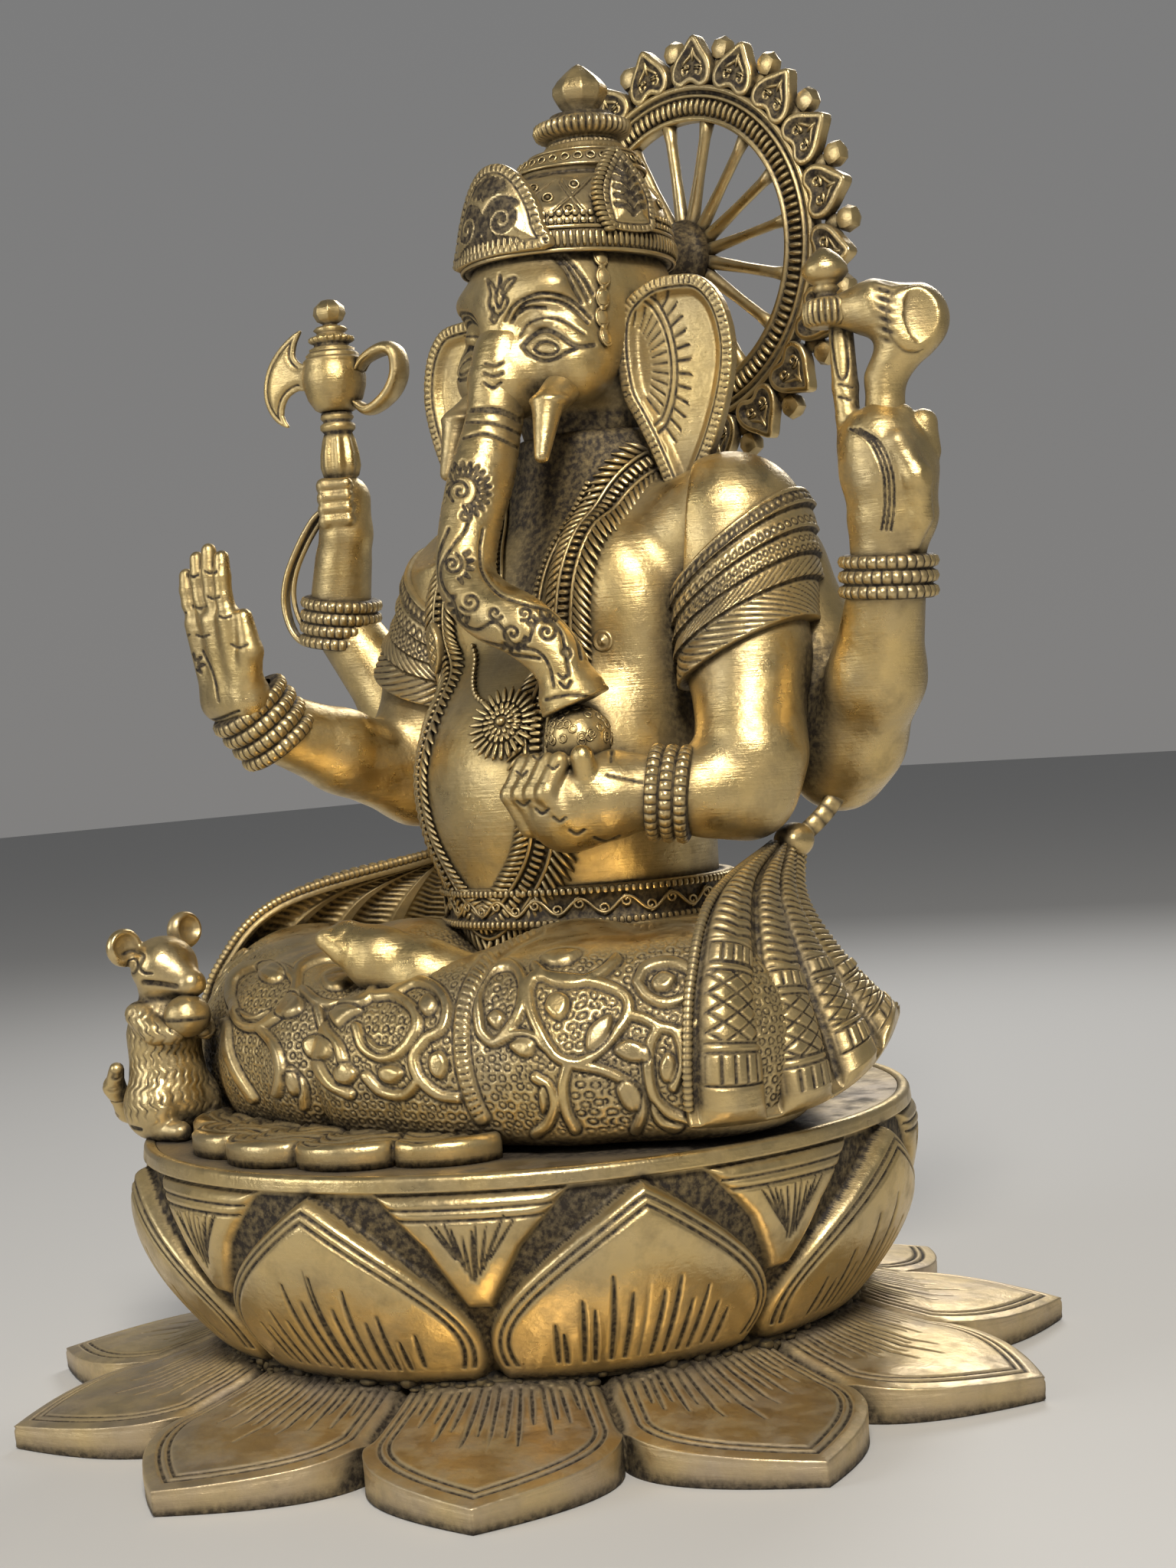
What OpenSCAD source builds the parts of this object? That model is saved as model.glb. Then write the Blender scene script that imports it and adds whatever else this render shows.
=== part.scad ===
// Seated four-armed Ganesha idol, cast brass, on a double lotus base.
// +Z is up, the figure faces -Y, and the origin is at the middle of the underside.
// Every casting is a node of its own and is trimmed to the ones it is brazed to.

/* [Lower lotus plate] */
// Radius from the centre to the petal tips
skirt_tip_radius = 165; // [145:1:200]
// Radius of the notches between the petals
skirt_notch_radius = 122; // [112:1:130]
// Number of petals on the lower plate
skirt_petals = 11; // [9:1:13]
// Height of the plate at the petal tips
skirt_edge_height = 7; // [4:0.5:9]

/* [Lotus bowl] */
// Outer radius of the bowl where it stands on the plate
seam_radius = 95; // [80:1:100]
// Height of that seam above the table
seam_height = 20; // [16:0.5:24]
// Height of the seat deck above the table
seat_height = 82; // [68:1:100]
// Outer radius of the bowl at its rim
rim_radius = 119; // [108:1:142]
// Wall of the hollow bowl
bowl_wall = 5; // [3:0.5:7]
// Number of raised petals in each row of the bowl
bowl_petals = 8; // [6:1:10]
// How far the raised petals stand out of the bowl
petal_relief = 4; // [2:0.5:6]
// Thickness of the seat deck
deck_thickness = 6; // [4:0.5:9]

/* [Legs and torso] */
// Distance from the middle to the centre of each knee
knee_spread = 86; // [72:1:90]
// Radius of the knees
knee_radius = 36; // [32:1:40]
// Half width of the waist
waist_half_width = 46; // [38:1:54]
// Half width of the belly
belly_half_width = 50; // [42:1:60]
// Half depth of the belly
belly_half_depth = 43; // [36:1:51]
// Half width of the chest
chest_half_width = 56; // [47:1:64]
// Height of the torso from its seat joint to the neck joint
torso_height = 156; // [130:1:187]
// Height of the hips between the deck and the torso
hips_height = 54; // [46:1:64]

/* [Head] */
// Half width of the head
head_half_width = 32; // [27:1:38]
// Half depth of the head
head_half_depth = 35; // [30:1:40]
// Radius of the trunk along most of its length
trunk_radius = 9.5; // [8:0.5:11]
// Reach of an ear from the side of the head
ear_reach = 36; // [30:1:43]

/* [Halo] */
// Outer radius of the beaded wheel rim
halo_rim_radius = 55; // [50:1:60]
// Radial width of the wheel rim
halo_rim_width = 9; // [7:0.5:11]
// Number of spokes
halo_spokes = 16; // [12:1:20]
// Number of leaves round the rim
halo_leaves = 21; // [18:1:24]
// Radial length of a leaf
halo_leaf_length = 25; // [19:0.5:28]

/* [Joints] */
// Radius of the wrists where the bracelets sit
wrist_radius = 11; // [9.5:0.5:12]
// Radial clearance of a bracelet, a dowel or a bolt
fit_gap = 0.2; // [0.1:0.05:0.4]
// Radius of the seat bolt
bolt_radius = 5; // [4:0.5:6]
// Radius of the neck and crown dowels
dowel_radius = 6; // [4:0.5:8]

/* [Hidden] */

$fn = 48;
// Facet counts of the modelled limbs and of the small cast trim.
limb_fn = 12;
trim_fn = 8;

hips_top = seat_height + hips_height;
neck_z = hips_top + torso_height;
figure_y = 34;
hips_radius = 40;
hips_side = waist_half_width - hips_radius + 12;

// Torso sections from the waist to the neck: share of the height, half width, half depth, middle y.
torso_rows = [
    [0.00, waist_half_width, 40, 34],
    [0.08, waist_half_width, 41, 32],
    [0.20, belly_half_width - 1, belly_half_depth, 29],
    [0.34, belly_half_width, belly_half_depth, 29],
    [0.46, belly_half_width, belly_half_depth - 3, 33],
    [0.58, chest_half_width, 37, 45],
    [0.70, chest_half_width, 35, 49],
    [0.80, chest_half_width - 6, 31, 51],
    [0.90, chest_half_width - 22, 26, 51],
    [1.00, 25, 22, 49]
];
function torso_z(share) = hips_top + share * torso_height;
function share_of(z) = (z - hips_top) / torso_height;
function column(k) = [for (row = torso_rows) [row[0], row[k]]];
function half_width(z) = lookup(share_of(z), column(1));
function half_depth(z) = lookup(share_of(z), column(2));
function middle_y(z) = lookup(share_of(z), column(3));
// A point on the front of the torso at x and z, standing out by lift.
function skin(x, z, lift = 0) = [
    x,
    middle_y(z) - half_depth(z) * sqrt(1 - pow(x / half_width(z), 2)) - lift,
    z
];

// Where the limbs are jointed, for the figure's left side, which is +X.
shoulder = [chest_half_width + 2, 51, torso_z(0.78)];
front_elbow = [76, 28, torso_z(0.27)];
left_wrist = [66, 6, torso_z(0.27)];
left_palm = [45, -9, torso_z(0.29)];
right_wrist = [-86, -26, torso_z(0.47)];
rear_elbow = [82, 66, torso_z(0.31)];
rear_left_wrist = [121, 47, torso_z(0.65)];
rear_left_fist = [124, 46, torso_z(0.84)];
rear_right_wrist = [-125, 42, torso_z(0.69)];
rear_right_fist = [-116, 41, torso_z(0.97)];

head_z = neck_z + 40;
head_mid = [0, 46, head_z];
band_z = head_z + 22;
band_height = 8;
crown_y = 57;
crown_top_z = band_z + 34;
collar_height = 12;
finial_height = 17;

halo_y = 104;
halo_z = band_z + 3;
halo_depth = 6;
hub_radius = 8;

function mirror_x(p) = [-p[0], p[1], p[2]];
function polar(radius, a) = radius * [cos(a), sin(a)];

// Places its children at p with their +Z turned towards q.
module aim(p, q) {
    d = q - p;
    translate(p) rotate([0, acos(d[2] / norm(d)), atan2(d[1], d[0])]) children();
}

// A modelled limb: a chain of hulls between spheres.
module limb(points, radii, sides = limb_fn) {
    for (k = [0:len(points) - 2]) hull() {
        translate(points[k]) sphere(radii[k], $fn = sides);
        translate(points[k + 1]) sphere(radii[k + 1], $fn = sides);
    }
}

// A closed skin through elliptical sections [z, half width, half depth, middle y].
module loft(rows, sides = 28) {
    rings = [for (row = rows) [for (k = [0:sides - 1]) let (a = 360 * k / sides)
        [row[1] * cos(a), row[3] + row[2] * sin(a), row[0]]]];
    last = (len(rows) - 1) * sides;
    polyhedron(
        points = [for (ring = rings) each ring],
        faces = concat(
            [[for (k = [0:sides - 1]) k]],
            [[for (k = [sides - 1:-1:0]) last + k]],
            [for (r = [0:len(rows) - 2], k = [0:sides - 1]) let (n = (k + 1) % sides)
                each [[r * sides + n, r * sides + k, (r + 1) * sides + k],
                      [r * sides + n, (r + 1) * sides + k, (r + 1) * sides + n]]]
        ),
        convexity = 4
    );
}

module torso_form(grow = 0) {
    loft([for (row = torso_rows) [torso_z(row[0]), row[1] + grow, row[2] + grow, row[3]]]);
}

// ---------------------------------------------------------------- base

// The edge of the lower plate: pointed petals, from notch to tip to notch.
module skirt_outline() {
    half = 180 / skirt_petals;
    notch = skirt_notch_radius * [cos(half), sin(half)];
    reach = skirt_tip_radius - notch[0];
    flank = [for (t = [0:0.12:0.96])
        [notch[0] + reach * t, notch[1] * (1 - pow(t, 1.9)) + 3 * sin(180 * t)]];
    petal = concat(
        [for (k = [0:len(flank) - 1]) [flank[k][0], -flank[k][1]]],
        [[skirt_tip_radius, 0]],
        [for (k = [len(flank) - 1:-1:1]) flank[k]]
    );
    polygon([for (k = [0:skirt_petals - 1], p = petal)
        let (a = 360 * k / skirt_petals + 15)
        [p[0] * cos(a) - p[1] * sin(a), p[0] * sin(a) + p[1] * cos(a)]]);
}

skirt_bore = seam_radius - bowl_wall - 4;

module base_skirt() {
    color("goldenrod") intersection() {
        rotate_extrude($fn = 96) polygon([
            [skirt_bore, 0], [skirt_tip_radius + 1, 0], [skirt_tip_radius + 1, skirt_edge_height],
            [skirt_notch_radius - 5, skirt_edge_height + 5],
            [seam_radius + 4, seam_height], [skirt_bore, seam_height]
        ]);
        translate([0, 0, -1]) linear_extrude(seam_height + 2) skirt_outline();
    }
}

// Rough bead of braze round the foot of the bowl.
bead_share = 0.06;
module base_seam_bead() {
    color("saddlebrown") rotate_extrude($fn = 96) polygon([
        bowl_point(0, 0), [seam_radius + 4, seam_height], bowl_point(bead_share * bowl_bands, 0)
    ]);
}

bowl_height = seat_height - seam_height;
bowl_bands = 6;
function bowl_radius(share) =
    seam_radius + (rim_radius - seam_radius) * sin(90 * share) + 3 * sin(180 * share);
function bowl_point(k, grow) =
    [bowl_radius(k / bowl_bands) + grow, seam_height + bowl_height * k / bowl_bands];

petal_half_width = rim_radius * sin(180 / bowl_petals) * 0.9;

// Pointed outline of a front petal in the plane of its face.
module front_petal_outline(height) {
    side = [for (t = [0:0.2:1])
        [petal_half_width * pow(1 - pow(t, 2.2), 0.8) * (0.86 + 0.2 * sin(180 * t)), height * t]];
    polygon(concat(side, [for (k = [len(side) - 2:-1:0]) [-side[k][0], side[k][1]]]));
}

// What shows of a rear petal between two front ones: a wedge under the rim.
module rear_petal_outline(height) {
    low = 0.1 * petal_half_width;
    high = 0.6 * petal_half_width;
    polygon([[-low, 0.42 * height], [low, 0.42 * height], [high, height], [-high, height]]);
}

// Raised petals round the bowl from a turn on; their roots end inside its wall.
module bowl_petal_row(turn, relief) {
    intersection() {
        rotate_extrude($fn = 96) polygon(concat(
            [for (k = [0:bowl_bands]) bowl_point(k, relief * (0.3 + 0.7 * sin(180 * k / bowl_bands)))],
            [for (k = [bowl_bands:-1:0]) bowl_point(k, -bowl_wall / 2)]
        ));
        for (k = [0:bowl_petals - 1]) rotate(360 * k / bowl_petals + turn)
            translate([0, 0, seam_height + bead_share * bowl_height]) rotate([90, 0, 90])
                linear_extrude(rim_radius + 20) children();
    }
}

deck_ledge = 3;

module lotus_bowl() {
    deck_bottom = seat_height - deck_thickness;
    color("darkgoldenrod") union() {
        rotate_extrude($fn = 96) polygon(concat(
            [for (k = [0:bowl_bands]) bowl_point(k, 0)],
            [[rim_radius - deck_ledge, seat_height], [rim_radius - deck_ledge, deck_bottom],
             [rim_radius - bowl_wall - 1, deck_bottom]],
            [for (k = [bowl_bands - 1:-1:0]) bowl_point(k, -bowl_wall)]
        ));
        bowl_petal_row(16, petal_relief) front_petal_outline(0.88 * bowl_height);
        bowl_petal_row(16 + 180 / bowl_petals, petal_relief / 2) rear_petal_outline(0.91 * bowl_height);
    }
}

module lotus_deck() {
    color("goldenrod") difference() {
        translate([0, 0, seat_height - deck_thickness])
            cylinder(h = deck_thickness, r = rim_radius - deck_ledge - fit_gap, $fn = 96);
        translate([0, figure_y, seat_height - deck_thickness - 1])
            cylinder(h = deck_thickness + 2, r = bolt_radius + fit_gap);
    }
}

// ---------------------------------------------------------------- dhoti apron and mouse

fan_thickness = 7;
fan_radius = 78;
fan_lobes = 5;
fan_spread = 122;
fan_centre = [0, -34];

module dhoti_fan() {
    steps = 12 * fan_lobes;
    color("goldenrod") translate([fan_centre[0], fan_centre[1], seat_height])
        linear_extrude(fan_thickness) polygon(concat([[0, 0]], [for (k = [0:steps])
            let (bulge = pow(abs(sin(180 * k / 12)), 0.5))
            polar(fan_radius - 7 + 7 * bulge, -90 + fan_spread * (k / steps - 0.5))]));
}

mouse_at = [-74, -83, seat_height];

module mouse() {
    color("darkgoldenrod") difference() {
        translate(mouse_at) {
            limb([[0, 0, 12], [-1, 0, 32], [1, 0, 44]], [13, 10, 7]);
            limb([[1, 0, 46], [5, -1, 53], [14, -2, 50]], [7, 8.5, 4]);
            for (side = [-1, 1]) {
                hull() {
                    translate([0, side * 6, 58]) sphere(3, $fn = trim_fn);
                    translate([-2, side * 10, 65]) sphere(2.5, $fn = trim_fn);
                }
                limb([[3, side * 8, 38], [11, side * 5, 33]], [4.5, 3.5], trim_fn);
                limb([[-2, side * 10, 8], [8, side * 10, 5]], [8, 5], trim_fn);
            }
            limb([[-10, 0, 10], [-16, 4, 8], [-17, 10, 5]], [4, 3, 2.5], trim_fn);
        }
        translate([-200, -200, seat_height - 50]) cube([400, 400, 50]);
        mouse_sweet_form(0.1);
        dhoti_fan();
    }
}

module mouse_sweet_form(grow = 0) {
    translate(mouse_at + [13, -2, 36]) sphere(6 + grow, $fn = 24);
}

module mouse_sweet() {
    color("goldenrod") mouse_sweet_form();
}

// ---------------------------------------------------------------- hips and legs

module hips_form(grow = 0) {
    translate([0, 0, seat_height]) linear_extrude(hips_height) {
        for (side = [-1, 1]) translate([side * hips_side, figure_y]) circle(r = hips_radius + grow);
        translate([-hips_side, figure_y - hips_radius - grow])
            square([2 * hips_side, 2 * (hips_radius + grow)]);
    }
}

module hips() {
    color("darkgoldenrod") difference() {
        hips_form();
        translate([0, figure_y, seat_height - 1]) cylinder(h = 26, r = bolt_radius + fit_gap);
    }
}

// One folded leg of the figure's left side: thigh, knee and shin, cut flat on the deck.
module leg_form() {
    knee = [knee_spread, -14, seat_height + 22];
    limb([[40, 30, seat_height + 24], knee], [32, knee_radius]);
    limb([knee, [64, -36, seat_height + 22], [38, -50, seat_height + 22], [12, -60, seat_height + 22]],
         [knee_radius, 33, 31, 27]);
    limb([[40, 30, seat_height + 24], [38, -10, seat_height + 24], [14, -34, seat_height + 22]],
         [32, 34, 30]);
    limb([[38, -10, seat_height + 24], [64, -30, seat_height + 24]], [34, 33]);
    limb([[38, -10, seat_height + 24], [38, -46, seat_height + 22]], [34, 31]);
}

module leg_trim() {
    hips_form(0.1);
    translate([-200, -200, seat_height - 90]) cube([400, 400, 90]);
    torso_form();
    belt();
    dhoti_fan();
}

module left_leg() {
    color("darkgoldenrod") difference() {
        intersection() {
            leg_form();
            translate([0, -200, 0]) cube([300, 400, 400]);
        }
        leg_trim();
        foot_form();
    }
}

module right_leg() {
    color("darkgoldenrod") difference() {
        intersection() {
            mirror([1, 0, 0]) leg_form();
            translate([-300, -200, 0]) cube([300, 400, 400]);
        }
        leg_trim();
        foot_form();
    }
}

// The bare left foot that comes out of the hem and lies on the right shin.
module foot_form() {
    ankle = [34, -50, seat_height + 42];
    ball = [10, -64, seat_height + 54];
    limb([ankle, (ankle + ball) / 2, ball, ball + [-9, -4, 5]], [12, 11, 9.5, 7]);
    for (k = [0:4]) hull() {
        translate(ball + [-6, 8 - 4 * k, 3]) sphere(4.4, $fn = trim_fn);
        translate(ball + [-17 + 1.4 * k, 3 - 3.4 * k, 7]) sphere(3.1, $fn = trim_fn);
    }
}

module left_foot() {
    color("goldenrod") foot_form();
}

// ---------------------------------------------------------------- torso and its jewels

module torso() {
    color("darkgoldenrod") difference() {
        torso_form();
        translate([0, 49, neck_z - 18]) cylinder(h = 19, r = dowel_radius + fit_gap);
    }
}

// A flat band wound round the torso between two heights.
module belt() {
    low = torso_z(0.015);
    high = torso_z(0.10);
    out = 4;
    sides = 28;
    ring = function (z, grow) [for (k = [0:sides - 1]) let (a = 360 * k / sides)
        [(half_width(z) + grow) * cos(a), middle_y(z) + (half_depth(z) + grow) * sin(a), z]];
    loops = [ring(low, 0.05), ring(low, out), ring(high, out), ring(high, 0.05)];
    color("goldenrod") polyhedron(
        points = [for (loop = loops) each loop],
        faces = [for (r = [0:3], k = [0:sides - 1])
            let (n = (k + 1) % sides, s = (r + 1) % 4)
            [r * sides + n, r * sides + k, s * sides + k, s * sides + n]],
        convexity = 4
    );
}

garland_radius = 4;
garland_half = [
    [23, 0.96], [20, 0.86], [16, 0.72], [18, 0.60], [22, 0.48], [25, 0.36], [25, 0.25],
    [21, 0.14], [12, 0.07], [0, 0.04]
];

module garland_form() {
    for (side = [-1, 1]) {
        spread = side < 0 ? 5 : 0;
        path = [for (k = [0:len(garland_half) - 1]) let (p = garland_half[k])
            skin(side * (p[0] + spread * sin(20 * k)), torso_z(p[1]), p[1] < 0.2 ? 5 : 1.6)];
        limb(path, [for (p = path) garland_radius], trim_fn);
    }
}

module garland() {
    color("goldenrod") difference() {
        garland_form();
        torso_form();
        belt();
        head_form();
    }
}

brooch_centre = skin(9, torso_z(0.42), 0);

module chest_brooch() {
    color("gold") difference() {
        translate(brooch_centre + [0, 3, 0]) rotate([84, 0, 0]) {
            cylinder(h = 7, r = 10);
            cylinder(h = 9, r = 5);
        }
        torso_form();
    }
}

module garland_clasp_form() {
    at = skin(-32, torso_z(0.60), 7);
    translate(at) rotate([80, 0, -30]) {
        translate([0, 0, -7]) cylinder(h = 8, r = 8, $fn = 6);
        cylinder(h = 3, r = 4, $fn = 12);
    }
}

module garland_clasp() {
    color("gold") difference() {
        garland_clasp_form();
        torso_form();
        garland_form();
    }
}

// ---------------------------------------------------------------- arms

module front_arm_form() {
    upper = (shoulder + front_elbow) / 2 + [4, 0, 0];
    limb([shoulder, shoulder + [4, -2, -14], upper, front_elbow + [2, 2, 10], front_elbow,
          (front_elbow + left_wrist) / 2, left_wrist],
         [24, 21, 18, 16, 15, 13, wrist_radius]);
}

module right_arm_form() {
    elbow = mirror_x(front_elbow) + [0, 2, 8];
    upper = (mirror_x(shoulder) + elbow) / 2 - [4, 0, 0];
    limb([mirror_x(shoulder), mirror_x(shoulder) + [-4, -2, -14], upper, elbow + [-1, 2, 10], elbow,
          (elbow + right_wrist) / 2, right_wrist],
         [24, 21, 18, 16, 15, 13.5, wrist_radius]);
}

// A rear arm from behind the shoulder, through the elbow, to the given wrist on side 1 or -1.
module rear_arm_form(wrist, side) {
    root = shoulder + [2, 12, -14];
    out = [wrist[0] * side, wrist[1], wrist[2]];
    scale([side, 1, 1]) {
        limb([root, (root + rear_elbow) / 2 + [3, 2, 0], rear_elbow, rear_elbow + [9, -3, 6],
              (rear_elbow + out) / 2 + [5, 0, -2], out],
             [19, 17, 15, 15, 14, wrist_radius]);
        limb([root, root + [-8, 0, -2], root + [-14, 0, -6]], [19, 18, 14]);
    }
}

module rear_left_arm_form() rear_arm_form(rear_left_wrist, 1);
module rear_right_arm_form() rear_arm_form(rear_right_wrist, -1);

// Removes everything past the wrist plane, which is where the hand begins.
module past_wrist(wrist, hand) {
    aim(wrist, hand) cylinder(h = 60, r = 60, $fn = 16);
}

// Removes everything on the arm's side of the wrist plane.
module before_wrist(wrist, hand) {
    aim(wrist, hand) translate([0, 0, -60]) cylinder(h = 60, r = 60, $fn = 16);
}

// Trims an arm or a hand to the bore of a bracelet of this width.
module bracelet_room(wrist, hand, width) {
    aim(wrist, hand) difference() {
        cylinder(h = width + 0.4, r = wrist_radius + 8, center = true, $fn = 24);
        cylinder(h = width + 2, r = wrist_radius + 0.05, center = true, $fn = 24);
    }
}

module front_left_arm() {
    color("goldenrod") difference() {
        front_arm_form();
        torso_form();
        past_wrist(left_wrist, left_palm);
        bracelet_room(left_wrist, left_palm, bracelet_width);
        leg_form();
    }
}

right_palm = right_wrist + [-4, -16, 21];

module front_right_arm() {
    color("goldenrod") difference() {
        right_arm_form();
        torso_form();
        past_wrist(right_wrist, right_palm);
        bracelet_room(right_wrist, right_palm, palm_bracelet_width);
        mirror([1, 0, 0]) leg_form();
    }
}

module rear_left_arm() {
    color("goldenrod") difference() {
        rear_left_arm_form();
        torso_form();
        front_arm_form();
        past_wrist(rear_left_wrist, rear_left_fist);
        bracelet_room(rear_left_wrist, rear_left_fist, bracelet_width);
    }
}

module rear_right_arm() {
    color("goldenrod") difference() {
        rear_right_arm_form();
        torso_form();
        right_arm_form();
        past_wrist(rear_right_wrist, rear_right_fist);
        bracelet_room(rear_right_wrist, rear_right_fist, axe_bracelet_width);
    }
}

bracelet_rows = 3;
bracelet_width = 13;
palm_bracelet_width = 20;
axe_bracelet_width = 18;

// Ribbed bracelet round a wrist plane; the hand and the arm both pass through it.
module bracelet(wrist, hand, width = bracelet_width, rows = bracelet_rows) {
    bore = wrist_radius + fit_gap;
    row = width / rows;
    ridge = [for (k = [0:2 * rows]) [bore + (k % 2 == 0 ? 3.2 : 4.4), (k / 2 - rows / 2) * row]];
    color("gold") aim(wrist, hand) rotate_extrude($fn = 40)
        polygon(concat([[bore, -width / 2]], ridge, [[bore, width / 2]]));
}

module front_left_bracelet() bracelet(left_wrist, left_palm);
module front_right_bracelet() bracelet(right_wrist, right_palm, palm_bracelet_width, 4);
module rear_left_bracelet() bracelet(rear_left_wrist, rear_left_fist);
module rear_right_bracelet() bracelet(rear_right_wrist, rear_right_fist, axe_bracelet_width, 4);

// A wrist stub that fills the bracelet on the hand's side of the wrist plane.
module wrist_stub(wrist, hand, length) {
    aim(wrist, hand) cylinder(h = length, r = wrist_radius - 0.4, $fn = 16);
}

// ---------------------------------------------------------------- hands and what they hold

sweet_radius = 10;
sweet_at = left_palm + [-1, 0, 15];

module cupped_hand_form() {
    wrist_stub(left_wrist, left_palm, 12);
    limb([left_palm + [4, 2, -3], left_palm + [-6, -3, -4], left_palm + [-13, -3, -2]], [13, 14, 10]);
    for (k = [0:3])
        limb([left_palm + [-12 + 5 * k, -12, -10 + k], left_palm + [-15 + 5 * k, -16, 0],
              left_palm + [-12 + 5 * k, -12, 9]], [3.6, 3.5, 3.2], trim_fn);
    limb([left_palm + [8, -6, 0], left_palm + [9, -9, 10]], [4, 3.6], trim_fn);
}

module front_left_hand() {
    color("goldenrod") difference() {
        cupped_hand_form();
        before_wrist(left_wrist, left_palm);
        bracelet_room(left_wrist, left_palm, bracelet_width);
        translate(sweet_at) sphere(sweet_radius, $fn = 24);
        torso_form(0.3);
        garland_form();
        trunk_form();
    }
}

module sweet_bowl() {
    color("gold") difference() {
        translate(sweet_at) sphere(sweet_radius, $fn = 24);
        trunk_form();
    }
}

// Open palm facing forward: palm, four fingers and a thumb.
module front_right_hand() {
    palm_base = right_wrist + [-1, -10, 8];
    palm_top = palm_base + [-1, -6, 26];
    color("goldenrod") difference() {
        union() {
            wrist_stub(right_wrist, right_palm, 14);
            hull() {
                translate(palm_base + [7, 0, 0]) sphere(6.5, $fn = limb_fn);
                translate(palm_base + [-8, 0, 0]) sphere(6, $fn = limb_fn);
                translate(palm_top + [9, 0, 0]) sphere(4.6, $fn = limb_fn);
                translate(palm_top + [-9, 0, 0]) sphere(4.2, $fn = limb_fn);
            }
            for (k = [0:3]) {
                root = palm_top + [8.4 - 5.6 * k, 0, 1];
                reach = [19, 22, 20, 15][k];
                limb([root, root + [-1 + 0.5 * (1 - k), -1, reach * 0.55],
                      root + [-1 + (1 - k), -1, reach]], [3.5, 3.2, 2.7], trim_fn);
            }
            limb([palm_base + [10, -2, 6], palm_base + [15, -4, 15], palm_base + [14, -5, 26]],
                 [4.6, 4, 3], trim_fn);
        }
        before_wrist(right_wrist, right_palm);
        bracelet_room(right_wrist, right_palm, palm_bracelet_width);
    }
}

raised_finger = [[-8, -5, 8], [-10, -4, 26], [-11, -3, 44]];
module finger_form(grow = 0) {
    limb([for (p = raised_finger) rear_left_fist + p], [4.4 + grow, 3.8 + grow, 3 + grow], trim_fn);
}

// The closed rear left hand with its first finger raised.
module rear_left_hand() {
    color("goldenrod") difference() {
        union() {
            wrist_stub(rear_left_wrist, rear_left_fist, 14);
            limb([rear_left_fist + [0, 0, -10], rear_left_fist, rear_left_fist + [1, -2, 8]],
                 [11.5, 13, 11]);
            for (k = [0:3])
                limb([rear_left_fist + [-9 + 6 * k, -9, 10], rear_left_fist + [-9 + 6 * k, -14, 3],
                      rear_left_fist + [-8 + 6 * k, -11, -5]], [3.8, 3.6, 3.2], trim_fn);
            finger_form();
        }
        before_wrist(rear_left_wrist, rear_left_fist);
        bracelet_room(rear_left_wrist, rear_left_fist, bracelet_width);
        goad_form();
    }
}

// The small closed rear right hand round the stem of the axe.
module rear_right_hand() {
    color("goldenrod") difference() {
        union() {
            wrist_stub(rear_right_wrist, rear_right_fist, 24);
            limb([rear_right_wrist + [1, 0, 10], rear_right_fist + [-1, 0, -12], rear_right_fist],
                 [10, 9, 9]);
            for (k = [0:3])
                limb([rear_right_fist + [-6, -5, 5 - 4.2 * k], rear_right_fist + [0, -9.5, 5 - 4.2 * k],
                      rear_right_fist + [7, -5, 5 - 4.2 * k]], [2.6, 2.6, 2.4], trim_fn);
        }
        before_wrist(rear_right_wrist, rear_right_fist);
        bracelet_room(rear_right_wrist, rear_right_fist, axe_bracelet_width);
        axe_stem_form(0.1);
    }
}

// The goad: a shaft in the fist, a hooked lobe, a ribbed disc and a bud over the finger.
goad_foot = rear_left_fist + [0, -1, 14];
module goad_form() {
    translate(goad_foot) {
        limb([[2, 0, 2], [2, 0, 14], [8, 0, 25], [10, 0, 33], [2, 0, 38]], [6, 5.5, 10, 9, 6]);
        limb([[2, 0, 38], [-8, 0, 37], [-11, -1, 37]], [6, 5, 5]);
        for (k = [0:1]) translate([-13, -2, 34 + 5 * k]) cylinder(h = 4, r = 8.5 - 1.5 * k, $fn = 20);
        limb([[-13, -2, 44], [-13, -2, 49], [-13, -2, 54]], [6, 6, 2]);
    }
}

module goad() {
    color("gold") difference() {
        goad_form();
        finger_form(0.3);
    }
}

// The axe: a stem through the fist, a pot-shaped socket, a crescent blade and a bud.
axe_foot = rear_right_fist + [0, -1, -8];
pot_z = 50;
module axe_stem_form(grow = 0) {
    turns = [[4.5, 0], [4.5, 16], [7.5, 20], [4.5, 25], [6.5, 30], [4.5, 34], [4.5, pot_z - 10]];
    translate(axe_foot) rotate_extrude($fn = 24)
        polygon(concat([[0, 0]], [for (p = turns) [p[0] + grow, p[1]]], [[0, pot_z - 10]]));
}

module axe_stem() {
    color("goldenrod") axe_stem_form();
}

module axe_pot() {
    color("goldenrod") translate(axe_foot + [0, 0, pot_z]) rotate_extrude($fn = 36) polygon([
        each pot_body, [7, 12.5], [9, 14.5], [7, 16.5], [8, 18], [5, 19.5], [3, 20.5], [4.5, 23], [0, 28]
    ]);
}

// The swelling body of the pot, which the blade and the handle are brazed to.
pot_body = [[0, -10], [6, -10], [10, -5], [11.5, 1], [10.5, 7], [7, 11]];
module pot_side(depth) {
    difference() {
        translate(axe_foot + [0, depth / 2, pot_z]) rotate([90, 0, 0]) linear_extrude(depth) children();
        translate(axe_foot + [0, 0, pot_z])
            rotate_extrude($fn = 36) polygon(concat(pot_body, [[0, 11]]));
    }
}

module axe_blade() {
    color("gold") pot_side(4) union() {
        translate([-8, 9]) difference() {
            circle(r = 19);
            translate([14, 0]) circle(r = 20);
        }
        translate([-25, -1]) square([18, 7]);
    }
}

module axe_handle() {
    color("gold") pot_side(5) translate([18, 1]) difference() {
        circle(r = 9);
        circle(r = 5.5);
    }
}

// ---------------------------------------------------------------- shawl

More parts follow.
